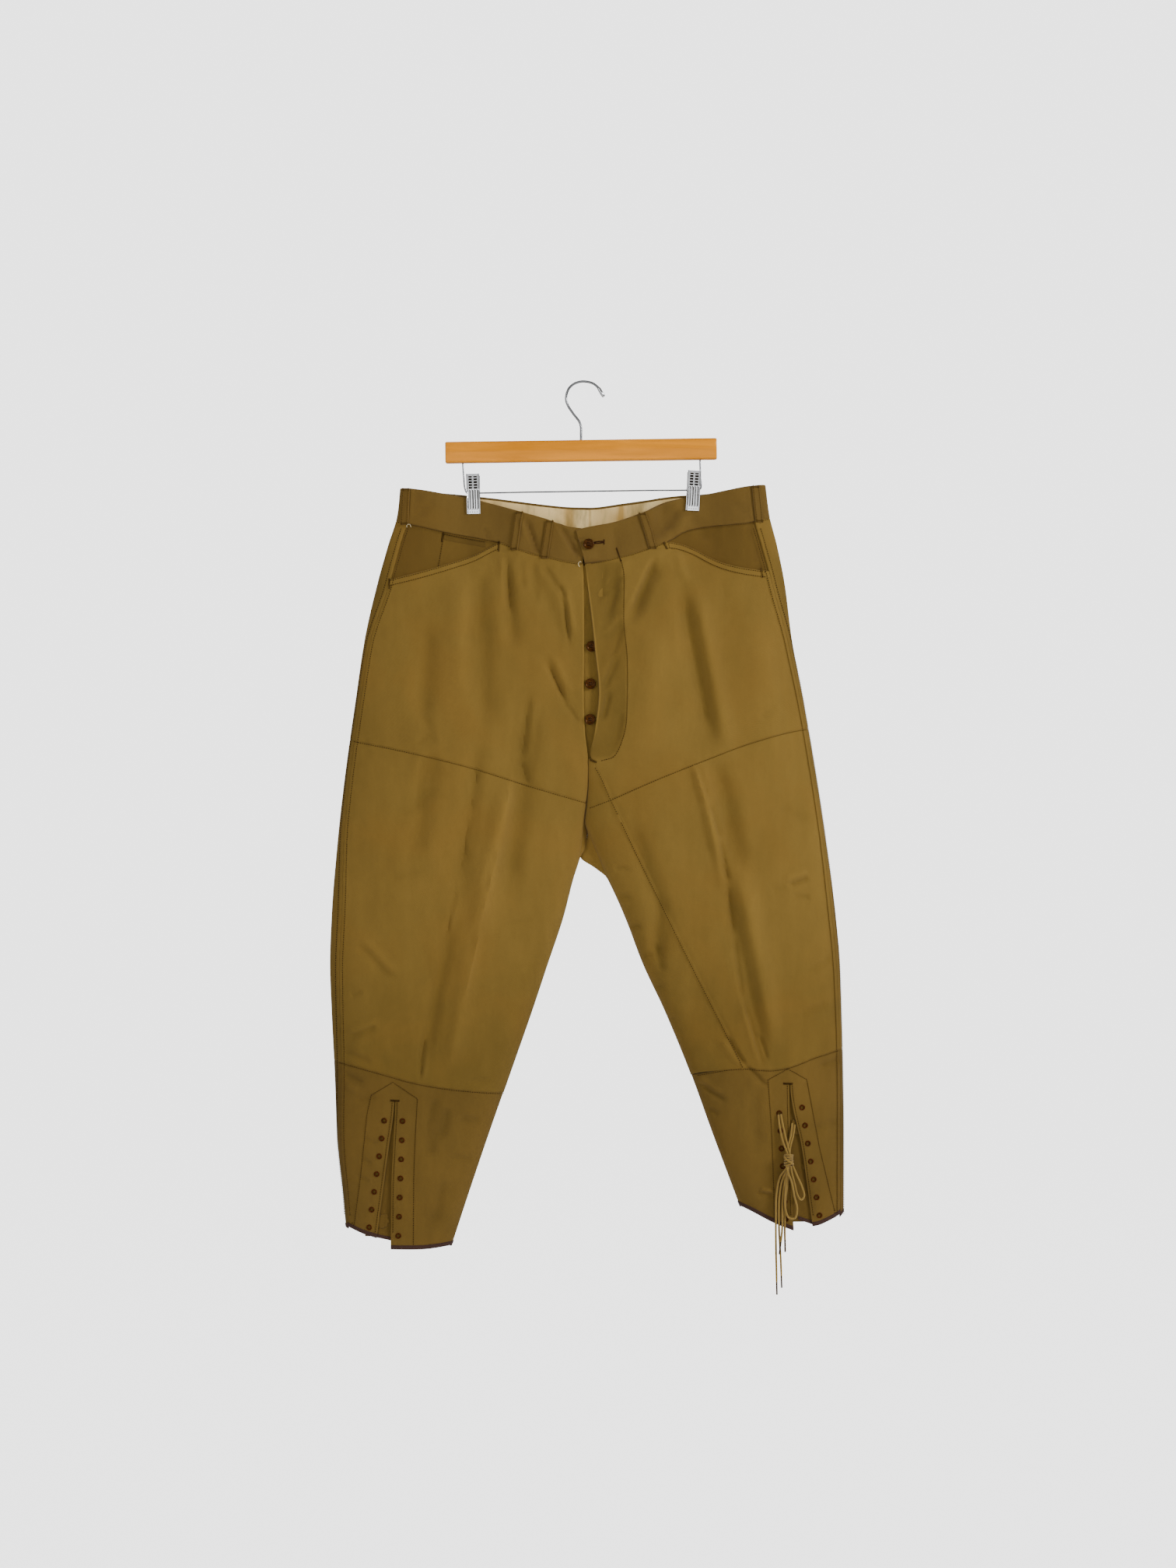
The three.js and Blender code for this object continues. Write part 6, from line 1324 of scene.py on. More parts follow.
class BREECHES_OT_panels(bpy.types.Operator):
    """Fronts, backs and inside-leg panels above the calves"""

    bl_idname = "breeches.panels"
    bl_label = "Body and thigh panels"

    def execute(self, context):
        pitch = settings().cloth_pitch / MM
        for side in SIDES:
            back_pitch = BACK_PITCH_RATIO * pitch
            wide, across = spread(300, pitch), spread(330, back_pitch)
            for label, first, last, top, bottom, k, v in (
                ("front_upper", outseam(side), front_edge(side), front_top(side), side.thigh_seam,
                 wide, spread(280, pitch)),
                ("back_upper", centre_back, past_outseam(side), waist_seam_back, side.thigh_seam,
                 across, spread(320, back_pitch)),
                ("front_thigh", outseam(side), front_edge(side), side.thigh_seam, side.calf_seam,
                 wide, spread(400, pitch)),
                ("back_thigh", back_thigh_edge(side), past_outseam(side), side.thigh_seam, side.calf_seam,
                 across, spread(400, back_pitch)),
            ):
                drop, turn = patch(side, first, last, top, bottom, k, v)
                panel(f"{label}_{side.name}", side, drop, turn, "twill")
            self.inner_leg(side, pitch)
        return {"FINISHED"}

    @staticmethod
    def inner_leg(side, pitch):
        """The inside-leg panel: on the front of the left leg, on the back of the right one."""
        is_left = side is LEFT
        top = CROTCH["top"] + 2 if is_left else CROTCH["start"] + 2
        one = np.ones(1)
        bottom = float(meet(side, fold_front, side.calf_seam, one, -SEAM_GAP / 2)[0])
        fold = lerp(top, bottom, spread(bottom - top, pitch))
        if is_left:
            edge = front_edge(side)
            start, end = edge, fold_front
        else:
            start, end = fold_back, back_thigh_edge(side)
        k = spread(60, pitch)
        rows = fold[:, None] + 0 * k[None, :]
        outer_edge_line = edge if is_left else end
        bottom_edge = float(meet(side, outer_edge_line, side.calf_seam, one, -SEAM_GAP / 2)[0])
        skew = (bottom_edge - bottom) * ((fold - top) / (bottom - top)) ** 3
        toward_edge = (1 - k) if is_left else k
        rows = rows + skew[:, None] * toward_edge[None, :]
        turn = lerp(start(rows), end(rows), k[None, :])
        outer = on_skin(side, rows, turn, rounded_edges(rows.shape, 0.35))
        inner = outer - skin_normal(side, rows, turn) * CLOTH
        tone = wear_and_shade_tone(side, rows, turn)
        # The strip that turns round the inner fold and closes the leg.
        share = np.maximum(CROTCH["allowance"], smoothstep(CROTCH["start"], CROTCH["full"], fold))
        front_end = on_skin(side, fold, fold_front(fold), 0 * fold)
        back_end = on_skin(side, fold, fold_back(fold), 0 * fold)
        strip_outer, strip_inner = [], []
        inward_front = -skin_normal(side, fold, fold_front(fold)) * CLOTH
        inward_back = -skin_normal(side, fold, fold_back(fold)) * CLOTH
        gap = front_end - back_end
        sideways = unit(np.stack([gap[:, 1], -gap[:, 0], 0 * fold], 1)) * CLOTH
        sideways *= -np.sign(sideways[:, :1] * side.sign + 1e-9)
        sideways = np.where(sideways[:, :1] * side.outer(fold)[:, None] < 0, -sideways, sideways)
        for s in (0.0, 0.25, 0.5, 0.75, 1.0):
            bulge = -0.6 * math.sin(math.pi * s) * unit(sideways)
            point = lerp(front_end, back_end, (s * share)[:, None]) + bulge * share[:, None]
            into = unit(lerp(inward_front, sideways, min(1, 2 * s)) if s <= 0.5 else
                        lerp(sideways, np.where(share[:, None] < 1, sideways, inward_back), 2 * s - 1))
            strip_outer.append(point)
            strip_inner.append(point + into * CLOTH)
        strip_outer, strip_inner = np.stack(strip_outer, 1), np.stack(strip_inner, 1)
        if is_left:
            outer = np.concatenate([outer[:, :-1], strip_outer], 1)
            inner = np.concatenate([inner[:, :-1], strip_inner], 1)
            tone = np.concatenate([tone[:, :-1], np.repeat(tone[:, -1:], 5, 1)], 1)
        else:
            outer = np.concatenate([strip_outer[:, :-1], outer], 1)
            inner = np.concatenate([strip_inner[:, :-1], inner], 1)
            tone = np.concatenate([np.repeat(tone[:, :1], 4, 1), tone], 1)
        part(outer, inner)
        sew(f"inner_leg_{side.name}", outer, inner, "twill", None, tone)


def eyelet_places(side):
    """The x and drop of each eyelet beside a slit."""
    rows = EYELET_ROWS[side.name]
    t = np.linspace(0, 1, settings().eyelet_sides)
    return [(lerp(x, ex, s), lerp(d, ed, s))
            for x, d, ex, ed in zip(rows["x"], rows["drop"], rows["end_x"], rows["end_drop"]) for s in t]


def calf_turns(side, part_name, pitch):
    """The lines of turns of a calf, from one edge to the other, as functions of drop."""

    def span(first, last, length):
        return [(lambda drop, k=k: lerp(first(drop), last(drop), k)) for k in spread(length, pitch)]

    slit = lambda column: (lambda drop: turn_at(side, column(drop), drop, True))
    if part_name == "outer":
        return span(outseam(side), slit(side.slit_outer), 90 if side is LEFT else 66)
    if part_name == "inner":
        lines = span(slit(side.slit_inner), front_edge(side), 70 if side is LEFT else 110)
        if side is LEFT:
            lines += span(front_edge(side), fold_front, 40)[1:]
        return lines + [centre_front, fold_back]
    lines = []
    if side is RIGHT:
        lines = span(fold_back, back_thigh_edge(side), 60)[:-1]
    return lines + span(back_thigh_edge(side), past_outseam(side), 220)


class BREECHES_OT_calves(bpy.types.Operator):
    """Laced calves, their tongues and bound hems"""

    bl_idname = "breeches.calves"
    bl_label = "Calves"

    def execute(self, context):
        for side in SIDES:
            self.front(side, settings().calf_pitch / MM)
            self.back(side, settings().cloth_pitch / MM)
            self.tongue(side)
            self.binding(side)
        return {"FINISHED"}

    @staticmethod
    def drops(side, lines, hem):
        like = np.zeros(1)
        tops = np.array([meet(side, line, side.calf_seam, like, SEAM_GAP / 2)[0] for line in lines])
        ends = np.array([meet(side, line, hem, like, -BINDING_HEIGHT + 0.4)[0] for line in lines])
        return tops, ends

    @classmethod
    def grid(cls, side, parts, pitch):
        slit_top = SLIT_TOP[side.name]
        columns, tops, ends = [], [], []
        for name in parts:
            lines = calf_turns(side, name, pitch)
            hem = curve(HEM[side.name][name], "x", "drop")
            top, end = cls.drops(side, lines, hem)
            columns += lines
            tops.append(top)
            ends.append(end)
        tops, ends = np.concatenate(tops), np.concatenate(ends)
        upper = spread(26, pitch)[:-1]
        lower = spread(170, pitch)
        drop = np.concatenate([lerp(tops[None], slit_top, upper[:, None]),
                               lerp(slit_top, ends[None], lower[:, None])])
        turn = np.stack([line(drop[:, c]) for c, line in enumerate(columns)], 1)
        return drop, turn, len(upper)

    @classmethod
    def front(cls, side, pitch):
        drop, turn, slit_row = cls.grid(side, ("outer", "inner"), pitch)
        slit_column = len(calf_turns(side, "outer", pitch)) - 1
        out = rounded_edges(drop.shape, 0.4)
        out[: slit_row + 1, slit_column - 2 : slit_column + 4] = out[: slit_row + 1, 6:7]
        outer = on_skin(side, drop, turn, out)
        normal = skin_normal(side, drop, turn)
        keep = np.ones((drop.shape[0] - 1, drop.shape[1] - 1), bool)
        keep[slit_row:, slit_column] = False
        # A hole for each eyelet, its edge moved on to a circle.
        centre_x = (outer[:-1, :-1, 0] + outer[1:, 1:, 0]) / 2
        centre_z = (outer[:-1, :-1, 2] + outer[1:, 1:, 2]) / 2
        for x, at in eyelet_places(side):
            hole = np.hypot(centre_x - x, centre_z + at) < 2.3
            keep &= ~hole
            rows, cols = np.nonzero(hole)
            touched = {(r + i, c + j) for r, c in zip(rows, cols) for i in (0, 1) for j in (0, 1)}
            for r, c in touched:
                away = np.array([outer[r, c, 0] - x, outer[r, c, 2] + at])
                scale = 2.9 / max(np.hypot(*away), 0.3)
                outer[r, c, 0], outer[r, c, 2] = x + away[0] * scale, away[1] * scale - at
        inner = outer - normal * CLOTH
        part(outer, inner)
        sew(f"front_calf_{side.name}", outer, inner, "calf_twill", None, wear_and_shade_tone(side, drop, turn), keep)

    @classmethod
    def back(cls, side, pitch):
        drop, turn, _ = cls.grid(side, ("back",), pitch)
        panel(f"back_calf_{side.name}", side, drop, turn, "calf_twill")

    @staticmethod
    def tongue(side):
        sizes = TONGUE[side.name]
        drop = lerp(SLIT_TOP[side.name] - 4, sizes["end"], spread(170, 2.2))[:, None]
        k = spread(30, 2.2)[None, :]
        x = lerp(side.slit_outer(drop) + sizes["outer"], side.slit_inner(drop) + sizes["inner"], k)
        drop = drop + 0 * x
        sag = 0.5 * soft_noise(x, drop, 24, 2) - 0.5 * np.sin(math.pi * k)
        outer = over_x(x, drop, True, -CLOTH - 0.7 + np.minimum(sag, 0), side)
        inner = outer + unit(over_x(x, drop, True, 0 * x - 3, side) - outer) * CLOTH
        sew(f"tongue_{side.name}", outer, inner, "shaded_twill")
        end = np.linspace(0, 1, 16)
        corner = float(side.slit_outer(sizes["end"]))
        x = lerp(corner + side.sign * 3, TONGUE_TAPE[side.name][2], end)
        low = lerp(TONGUE_TAPE[side.name][0], TONGUE_TAPE[side.name][1], end)
        tape = over_x(x, low - 2.2, True, -CLOTH - 0.9, side)
        front = np.stack([tape + np.array([0, out, -shift])
                          for shift, out in ((-2.2, -0.3), (0, -0.6), (2.0, -0.4), (2.4, 0.6))], 0)
        tape = shell(f"tongue_{side.name}_tape", front, front + np.array([0, 1.6, 0]), MATERIALS["binding"])
        settle(tape, "binding")

    @staticmethod
    def binding(side):
        """Tape folded over the hem, from one edge of the slit round the leg to the other."""
        rings = []
        profile = ((-5.2, -0.2), (-4.9, 0.45), (-2.6, 0.6), (-0.6, 0.45), (0.25, -0.1), (0.4, -0.75),
                   (0.25, -1.5), (-0.6, -2.0), (-2.6, -2.1), (-4.9, -1.95), (-5.2, -1.3))
        like = np.zeros(1)
        for name in ("inner", "back", "outer"):
            hem = curve(HEM[side.name][name], "x", "drop")
            lines = calf_turns(side, name, 3.2)
            for line in lines if not rings else lines[1:]:
                level = meet(side, line, hem, like)[0]
                drops = np.array([level + shift for shift, _ in profile])
                turns = np.array([float(line(np.array([d]))[0]) for d in drops])
                rings.append(on_skin(side, drops, turns, np.array([out for _, out in profile])))
        rings = np.array(rings)
        count, sides = rings.shape[:2]
        caps = [[base + q, base + q + 1, base + (sides - 1 - q) % sides, base + (sides - q) % sides]
                for base in (0, (count - 1) * sides) for q in range(5)]
        caps = [c for c in caps if len(set(c)) == 4]
        quads = np.concatenate([ring_faces(count, sides), np.array(caps)])
        uv = np.stack(np.broadcast_arrays(lengths_along(rings[:, 2])[:, None],
                                          np.arange(sides)[None, :] * 1.0), -1)
        piece = make_mesh(f"hem_binding_{side.name}_tape", rings.reshape(-1, 3), quads,
                          MATERIALS["binding"], uv.reshape(-1, 2), None, 60)
        settle(piece, "binding", f"hem_binding_{side.name}")


def overlap_lift(x):
    """How far the band's left end is lifted where it lies over the right one."""
    return (1 - smoothstep(OVERLAP["full"], OVERLAP["end"], x)) * (WAISTBAND_WALL + 0.4)


class BREECHES_OT_waistband(bpy.types.Operator):
    """Waistband, its lining and the belt loops"""

    bl_idname = "breeches.waistband"
    bl_label = "Waistband"

    def execute(self, context):
        pitch = settings().cloth_pitch / MM
        v = spread(45, 2.4)
        for side in SIDES:
            drop, turn = patch(side, outseam(side), centre_front, waist_top[side.name], waist_seam,
                               spread(240, pitch), v)
            extra = overlap_lift(place(side, drop, turn)[0]) if side is LEFT else None
            panel(f"waistband_front_{side.name}", side, drop, turn, "waistband_twill", WAISTBAND_WALL, 0.6,
                  extra)
        halves = []
        for side in SIDES:
            k = spread(270, pitch)
            drop, turn = patch(side, centre_back, past_outseam(side), waist_top["back"],
                               waist_seam_back, k, v)
            out = rounded_edges(drop.shape, 0.6, cols=False)
            outer = on_skin(side, drop, turn, out)
            halves.append((outer, outer - skin_normal(side, drop, turn) * WAISTBAND_WALL,
                           wear_and_shade_tone(side, drop, turn)))
        right, left = halves
        outer, inner, tone = (np.concatenate([right[i][:, ::-1], left[i][:, 1:]], 1) for i in range(3))
        part(outer, inner)
        sew("waistband_back", outer, inner, "waistband_twill", None, tone)
        self.lining()
        self.loops()
        return {"FINISHED"}

    @staticmethod
    def lining():
        """The lining inside the back of the band, in two halves sewn at the centre back."""
        sheets, tones = [], []
        v = lerp(0.05, 1, spread(43, 2.4))
        for side in SIDES:
            k = lerp(0, 2 / 3, spread(190, 2.6))
            drop, turn = patch(side, centre_back, past_outseam(side), waist_top["back"],
                               waist_seam_back, k, v)
            x = place(side, drop, turn)[0]
            # Mottled, with two smudges and the shadow of the centre seam.
            tone = 0.62 + 0.25 * soft_noise(x, drop, 22, 4)
            for depth, centre, width in ((0.7, -17, 6), (0.6, 50, 4), (0.3, 9, 1.6)):
                tone = tone - depth * np.exp(-(((x - centre) / width) ** 2))
            tones.append(tone)
            ripple = 0.35 * soft_noise(drop, x, 15, 3)
            out = -WAISTBAND_WALL - 0.5 + 0.3 * np.exp(-(((x - 9) / 1.4) ** 2)) - 0.3 - np.abs(ripple)
            sheets.append((on_skin(side, drop, turn, out), on_skin(side, drop, turn, out - 0.8)))
        outer, inner = (np.concatenate([sheets[0][i][:, ::-1], sheets[1][i][:, 1:]], 1) for i in (0, 1))
        tone = np.clip(np.concatenate([tones[0][:, ::-1], tones[1][:, 1:]], 1), 0, 1)
        sew("waistband_lining", outer, inner, "lining", None, tone, made_of="cotton")

    @staticmethod
    def loops():
        for name, front, start, end in BELT_LOOPS:
            top = waist_top["back"] if not front else waist_top["right" if start < 0 else "left"]
            bottom = waist_seam if front else waist_seam_back
            v = spread(50, 2.2)
            k = spread(10, 1.1, (0.35, 0.8, 1.3)) - 0.5
            middle = lerp(start, end, v)
            drop = lerp(top(middle) + LOOP["below"], bottom(end) + LOOP["overhang"], v)
            x = middle[:, None] + k[None, :] * LOOP["width"]
            ends = np.minimum(1, np.minimum(v, 1 - v) * 7)[:, None]
            hems = 0.3 * smoothstep(0.3, 0.36, np.abs(k))[None, :]
            edge = -0.55 * (1 - smoothstep(0, 0.9, (0.5 - np.abs(k)) * LOOP["width"]))[None, :]
            out = LOOP["lift"] * (0.45 + 0.55 * ends) + LOOP["wall"] + hems + edge
            side = (RIGHT if start < 0 else LEFT) if front else (RIGHT if start < 9 else LEFT)
            drops = drop[:, None] + 0 * x
            outer = over_x(x, drops, front, out, side)
            inner = over_x(x, drops, front, 0 * x + 0.25, side)
            sew(f"belt_loop_{name}", outer, inner, "waistband_twill", sheet=False)
            LOOP_LINES.extend(
                over_x(middle + shift, drop, front, LOOP["lift"] + LOOP["wall"] + 0.35, side)
                for shift in (-3.4, 3.4))
            for at in (0, -1):
                across = np.linspace(-4.6, 4.6, 7)
                down = drop[at] + (1.6 if at == 0 else -1.6)
                TACKS.append(over_x(middle[at] + across, down + 0 * across, front, 2.45, side))


# Each loop: its name, whether it is on the front, and the x of its top and of its foot.
BELT_LOOPS = (
    ("right_side", True, -227, -229), ("right_front", True, -81, -88), ("right_fly", True, -42, -49),
    ("left_front", True, 76.5, 90), ("left_side", True, 222.5, 227.5), ("back_right", False, -108, -110),
    ("back_centre", False, 9, 9), ("back_left", False, 124, 126),
)
# Lines of sewing on the loops, and their bar tacks, gathered while the loops are made.
LOOP_LINES = []
TACKS = []


class BREECHES_OT_pockets(bpy.types.Operator):
    """Pocket facings, the bands along the scooped mouths and the watch pocket"""

    bl_idname = "breeches.pockets"
    bl_label = "Pockets"

    def execute(self, context):
        for side, last_x in ((RIGHT, -107.5), (LEFT, 110.0)):
            pitch = 2.4
            first = lambda drop: outseam(side)(drop) + 0.004
            end = lambda drop: turn_at(side, last_x + 0 * drop, drop, True)
            k = spread(130, pitch)
            drop, turn = patch(side, first, end, waist_seam, lambda x: side.scoop(x) + 12, k,
                               spread(60, pitch))
            outer = on_skin(side, drop, turn, -CLOTH - 0.4 + rounded_edges(drop.shape, 0.2))
            inner = outer - skin_normal(side, drop, turn) * CLOTH
            sew(f"pocket_facing_{side.name}", outer, inner, "shaded_twill", None,
                wear_and_shade_tone(side, drop, turn) + 0.1)
            v = spread(POCKET_HEM_WIDTH, 1.5, (0.4, 0.9, 1.4))
            along = lambda drop: lerp(first(drop), end(drop), k)
            mouth = meet(side, along, side.scoop, k, SEAM_GAP)
            drop = mouth[None, :] + v[:, None] * POCKET_HEM_WIDTH
            turn = along(mouth)[None, :] + 0 * drop
            swell = 0.85 * np.minimum(1, np.minimum(v * 9, (1 - v) * 9) / 0.9)[:, None]
            ripple = 0.15 * soft_noise(place(side, drop, turn)[0], drop, 7, 5)
            outer = on_skin(side, drop, turn, 0.1 + swell * 0.8 + ripple)
            inner = on_skin(side, drop, turn, 0 * drop - 0.2)
            sew(f"pocket_hem_{side.name}", outer, inner, "twill", None, wear_and_shade_tone(side, drop, turn) + 0.02,
                sheet=False)
        x = lerp(-178.0, -126.0, spread(52, 2.0))[None, :]
        v = spread(8, 1.0, (0.3, 0.7, 1.2))[:, None]
        drop = waist_seam(x) + 2.6 + v * 7.5
        outer = over_x(x, drop, True, -CLOTH + 0.25 - 0.3 * (np.abs(v - 0.5) > 0.42), RIGHT)
        inner = over_x(x, drop, True, -CLOTH - 0.5 + 0 * drop, RIGHT)
        sew("watch_pocket_welt", outer, inner, "shaded_twill", "twill", sheet=False)
        return {"FINISHED"}


class BREECHES_OT_fly(bpy.types.Operator):
    """Button stand, buttons and the buttonhole"""

    bl_idname = "breeches.fly"
    bl_label = "Fly"

    def execute(self, context):
        drop = lerp(STAND["top"], STAND["bottom"], spread(232, 2.6))
        v = (drop - STAND["top"]) / (STAND["bottom"] - STAND["top"])
        behind = -CLOTH - STAND["gap"] - STAND["sink"] * smoothstep(0.7, 1, v)
        reach = lerp(STAND["reach"], RIGHT.front_inner(drop) + 10, smoothstep(0.8, 1, v))
        under = RIGHT.front_inner(drop) - 26
        x = lerp(under[:, None], reach[:, None], spread(50, 2.2)[None, :])
        edge = RIGHT.front_inner(drop) - 3
        seat = over_x(np.minimum(x, edge[:, None]), drop[:, None] + 0 * x, True, behind[:, None], RIGHT)
        seat[..., 0] = x
        seat[..., 2] = -drop[:, None]
        seat[..., 1] += 0.35 * soft_noise(x, drop[:, None] + 0 * x, 16, 3)
        inner = seat + np.array([0, CLOTH, 0])
        sew("fly_button_stand", seat, inner, "twill", "shaded_twill")
        for name in ("fly_button_upper", "fly_button_middle", "fly_button_lower", "waist_button"):
            self.button(name)
        self.buttonhole()
        return {"FINISHED"}

    @staticmethod
    def button(name):
        low, high = (np.array(corner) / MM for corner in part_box(name))
        centre = np.array([(low[0] + high[0]) / 2, high[1], (low[2] + high[2]) / 2])
        radius = (high[0] - low[0]) / 2
        profile = [(0, 0), (radius * 0.8, 0), (radius * 0.93, 0.5), (radius, 1.5), (radius * 0.985, 2.3),
                   (radius * 0.93, 2.85), (radius * 0.86, 3.0), (radius * 0.79, 2.75), (radius * 0.73, 2.1),
                   (radius * 0.6, 1.75), (0, 1.6)]
        points, quads, uv = lathe(profile, 36)
        disc = joined(name + "_disc", [(aimed(points, centre, (0, -1, 0)), quads, uv)],
                      MATERIALS["button"], 50)
        holes, threads = [], []
        for i in range(4):
            angle = math.pi / 4 + i * math.pi / 2
            at = centre + np.array([2 * math.cos(angle), 0, 2 * math.sin(angle)])
            p, q, m = lathe([(0, -1), (0.85, -1), (0.85, 4), (0, 4)], 14)
            holes.append((aimed(p, at, (0, -1, 0)), q, m))
        for sign in (-1, 1):
            a = centre + np.array([1.41, -0.4, 1.41 * sign])
            b = centre + np.array([-1.41, -0.4, 1.41 * sign])
            over = [a, a + [0, -1.6, 0], (a + b) / 2 + [0, -2.1, 0], b + [0, -1.6, 0], b]
            threads.append(tube(smooth_path(over, 0.4), 0.55, 8))
        cutter = joined(name + "_cutter", holes, MATERIALS["button"])
        cut = disc.modifiers.new("Holes", "BOOLEAN")
        cut.operation, cut.object, cut.solver = "DIFFERENCE", cutter, "EXACT"
        bpy.context.view_layer.update()
        evaluated = disc.evaluated_get(bpy.context.evaluated_depsgraph_get())
        bored = bpy.data.meshes.new_from_object(evaluated)
        disc.modifiers.remove(cut)
        disc.data = bored
        bored.set_sharp_from_angle(angle=math.radians(45))
        bpy.data.objects.remove(cutter)
        settle(disc, "button", name)
        settle(joined(name + "_thread", threads, MATERIALS["tack_thread"]), "button")

    @staticmethod
    def buttonhole():
        """A worked slit beside the waist button, with a bar at its end."""
        angles = np.linspace(0, 2 * math.pi, 24, endpoint=False)
        x, drop = 20.5 + 6.6 * np.cos(angles), 208.4 - 0.12 * 6.6 * np.cos(angles) + 1.1 * np.sin(angles)
        ring = over_x(x, drop, True, overlap_lift(x) + 0.35, LEFT)
        parts = [tube(ring, 0.75, 8, closed=True)]
        z = np.linspace(-3.2, 3.2, 6)
        bar_x = 27.6 + 0 * z
        parts.append(tube(over_x(bar_x, 207.6 + z, True, overlap_lift(bar_x) + 0.35, LEFT), 0.7, 8))
        settle(joined("waist_buttonhole", parts, MATERIALS["tack_thread"]), "button")


# ---------------------------------------------------------------- pieces: sewing
LINE_PITCH = 4.0  # from point to point of a line of sewing


def line_over(rows, front, side, out, straight=False):
    """A line of sewing over the cloth through (x, drop) points."""
    rows = np.asarray(rows, float)
    flat = np.stack([rows[:, 0], rows[:, 1], 0 * rows[:, 0]], 1)
    if straight or len(rows) == 2:
        steps = [np.linspace(a, b, max(2, int(np.linalg.norm(b - a) / LINE_PITCH)), endpoint=False)
                 for a, b in zip(flat[:-1], flat[1:])]
        flat = np.concatenate(steps + [flat[-1:]])
    else:
        flat = smooth_path(flat, LINE_PITCH)
    return over_x(flat[:, 0], flat[:, 1], front, out, side)


def outseam_row(side, top, bottom, shift):
    """A row beside the outseam; where the seam turns to the back, the row keeps to the side fold."""
    drop = np.linspace(top, bottom, int((bottom - top) / LINE_PITCH))
    x = side.outer(drop) - side.sign * (side.inset(drop) + shift)
    edge = 0.4
    back = (x - side.outer(drop)) * side.sign > -edge
    x = np.where(back, side.outer(drop) - side.sign * edge, x)
    return over_x(x, drop, True, 0.7, side)


TACK_SPREAD = 1.35  # bar tacks are drawn this much wider than the real ones, so that they show
# The box of stitches round each slit, as x and drop.
PLACKETS = {
    "right": ((-296, 1083), (-293.6, 1085), (-285, 1022), (-276.4, 942), (-271, 917), (-243, 900),
              (-211.4, 921), (-214.3, 974), (-216.2, 1022), (-217, 1108)),
    "left": ((324, 1066), (324.5, 1069), (304, 985), (287.2, 896.6), (262.7, 882.5), (237.3, 896.6),
             (242, 958.5), (244, 1010), (246, 1074)),
}


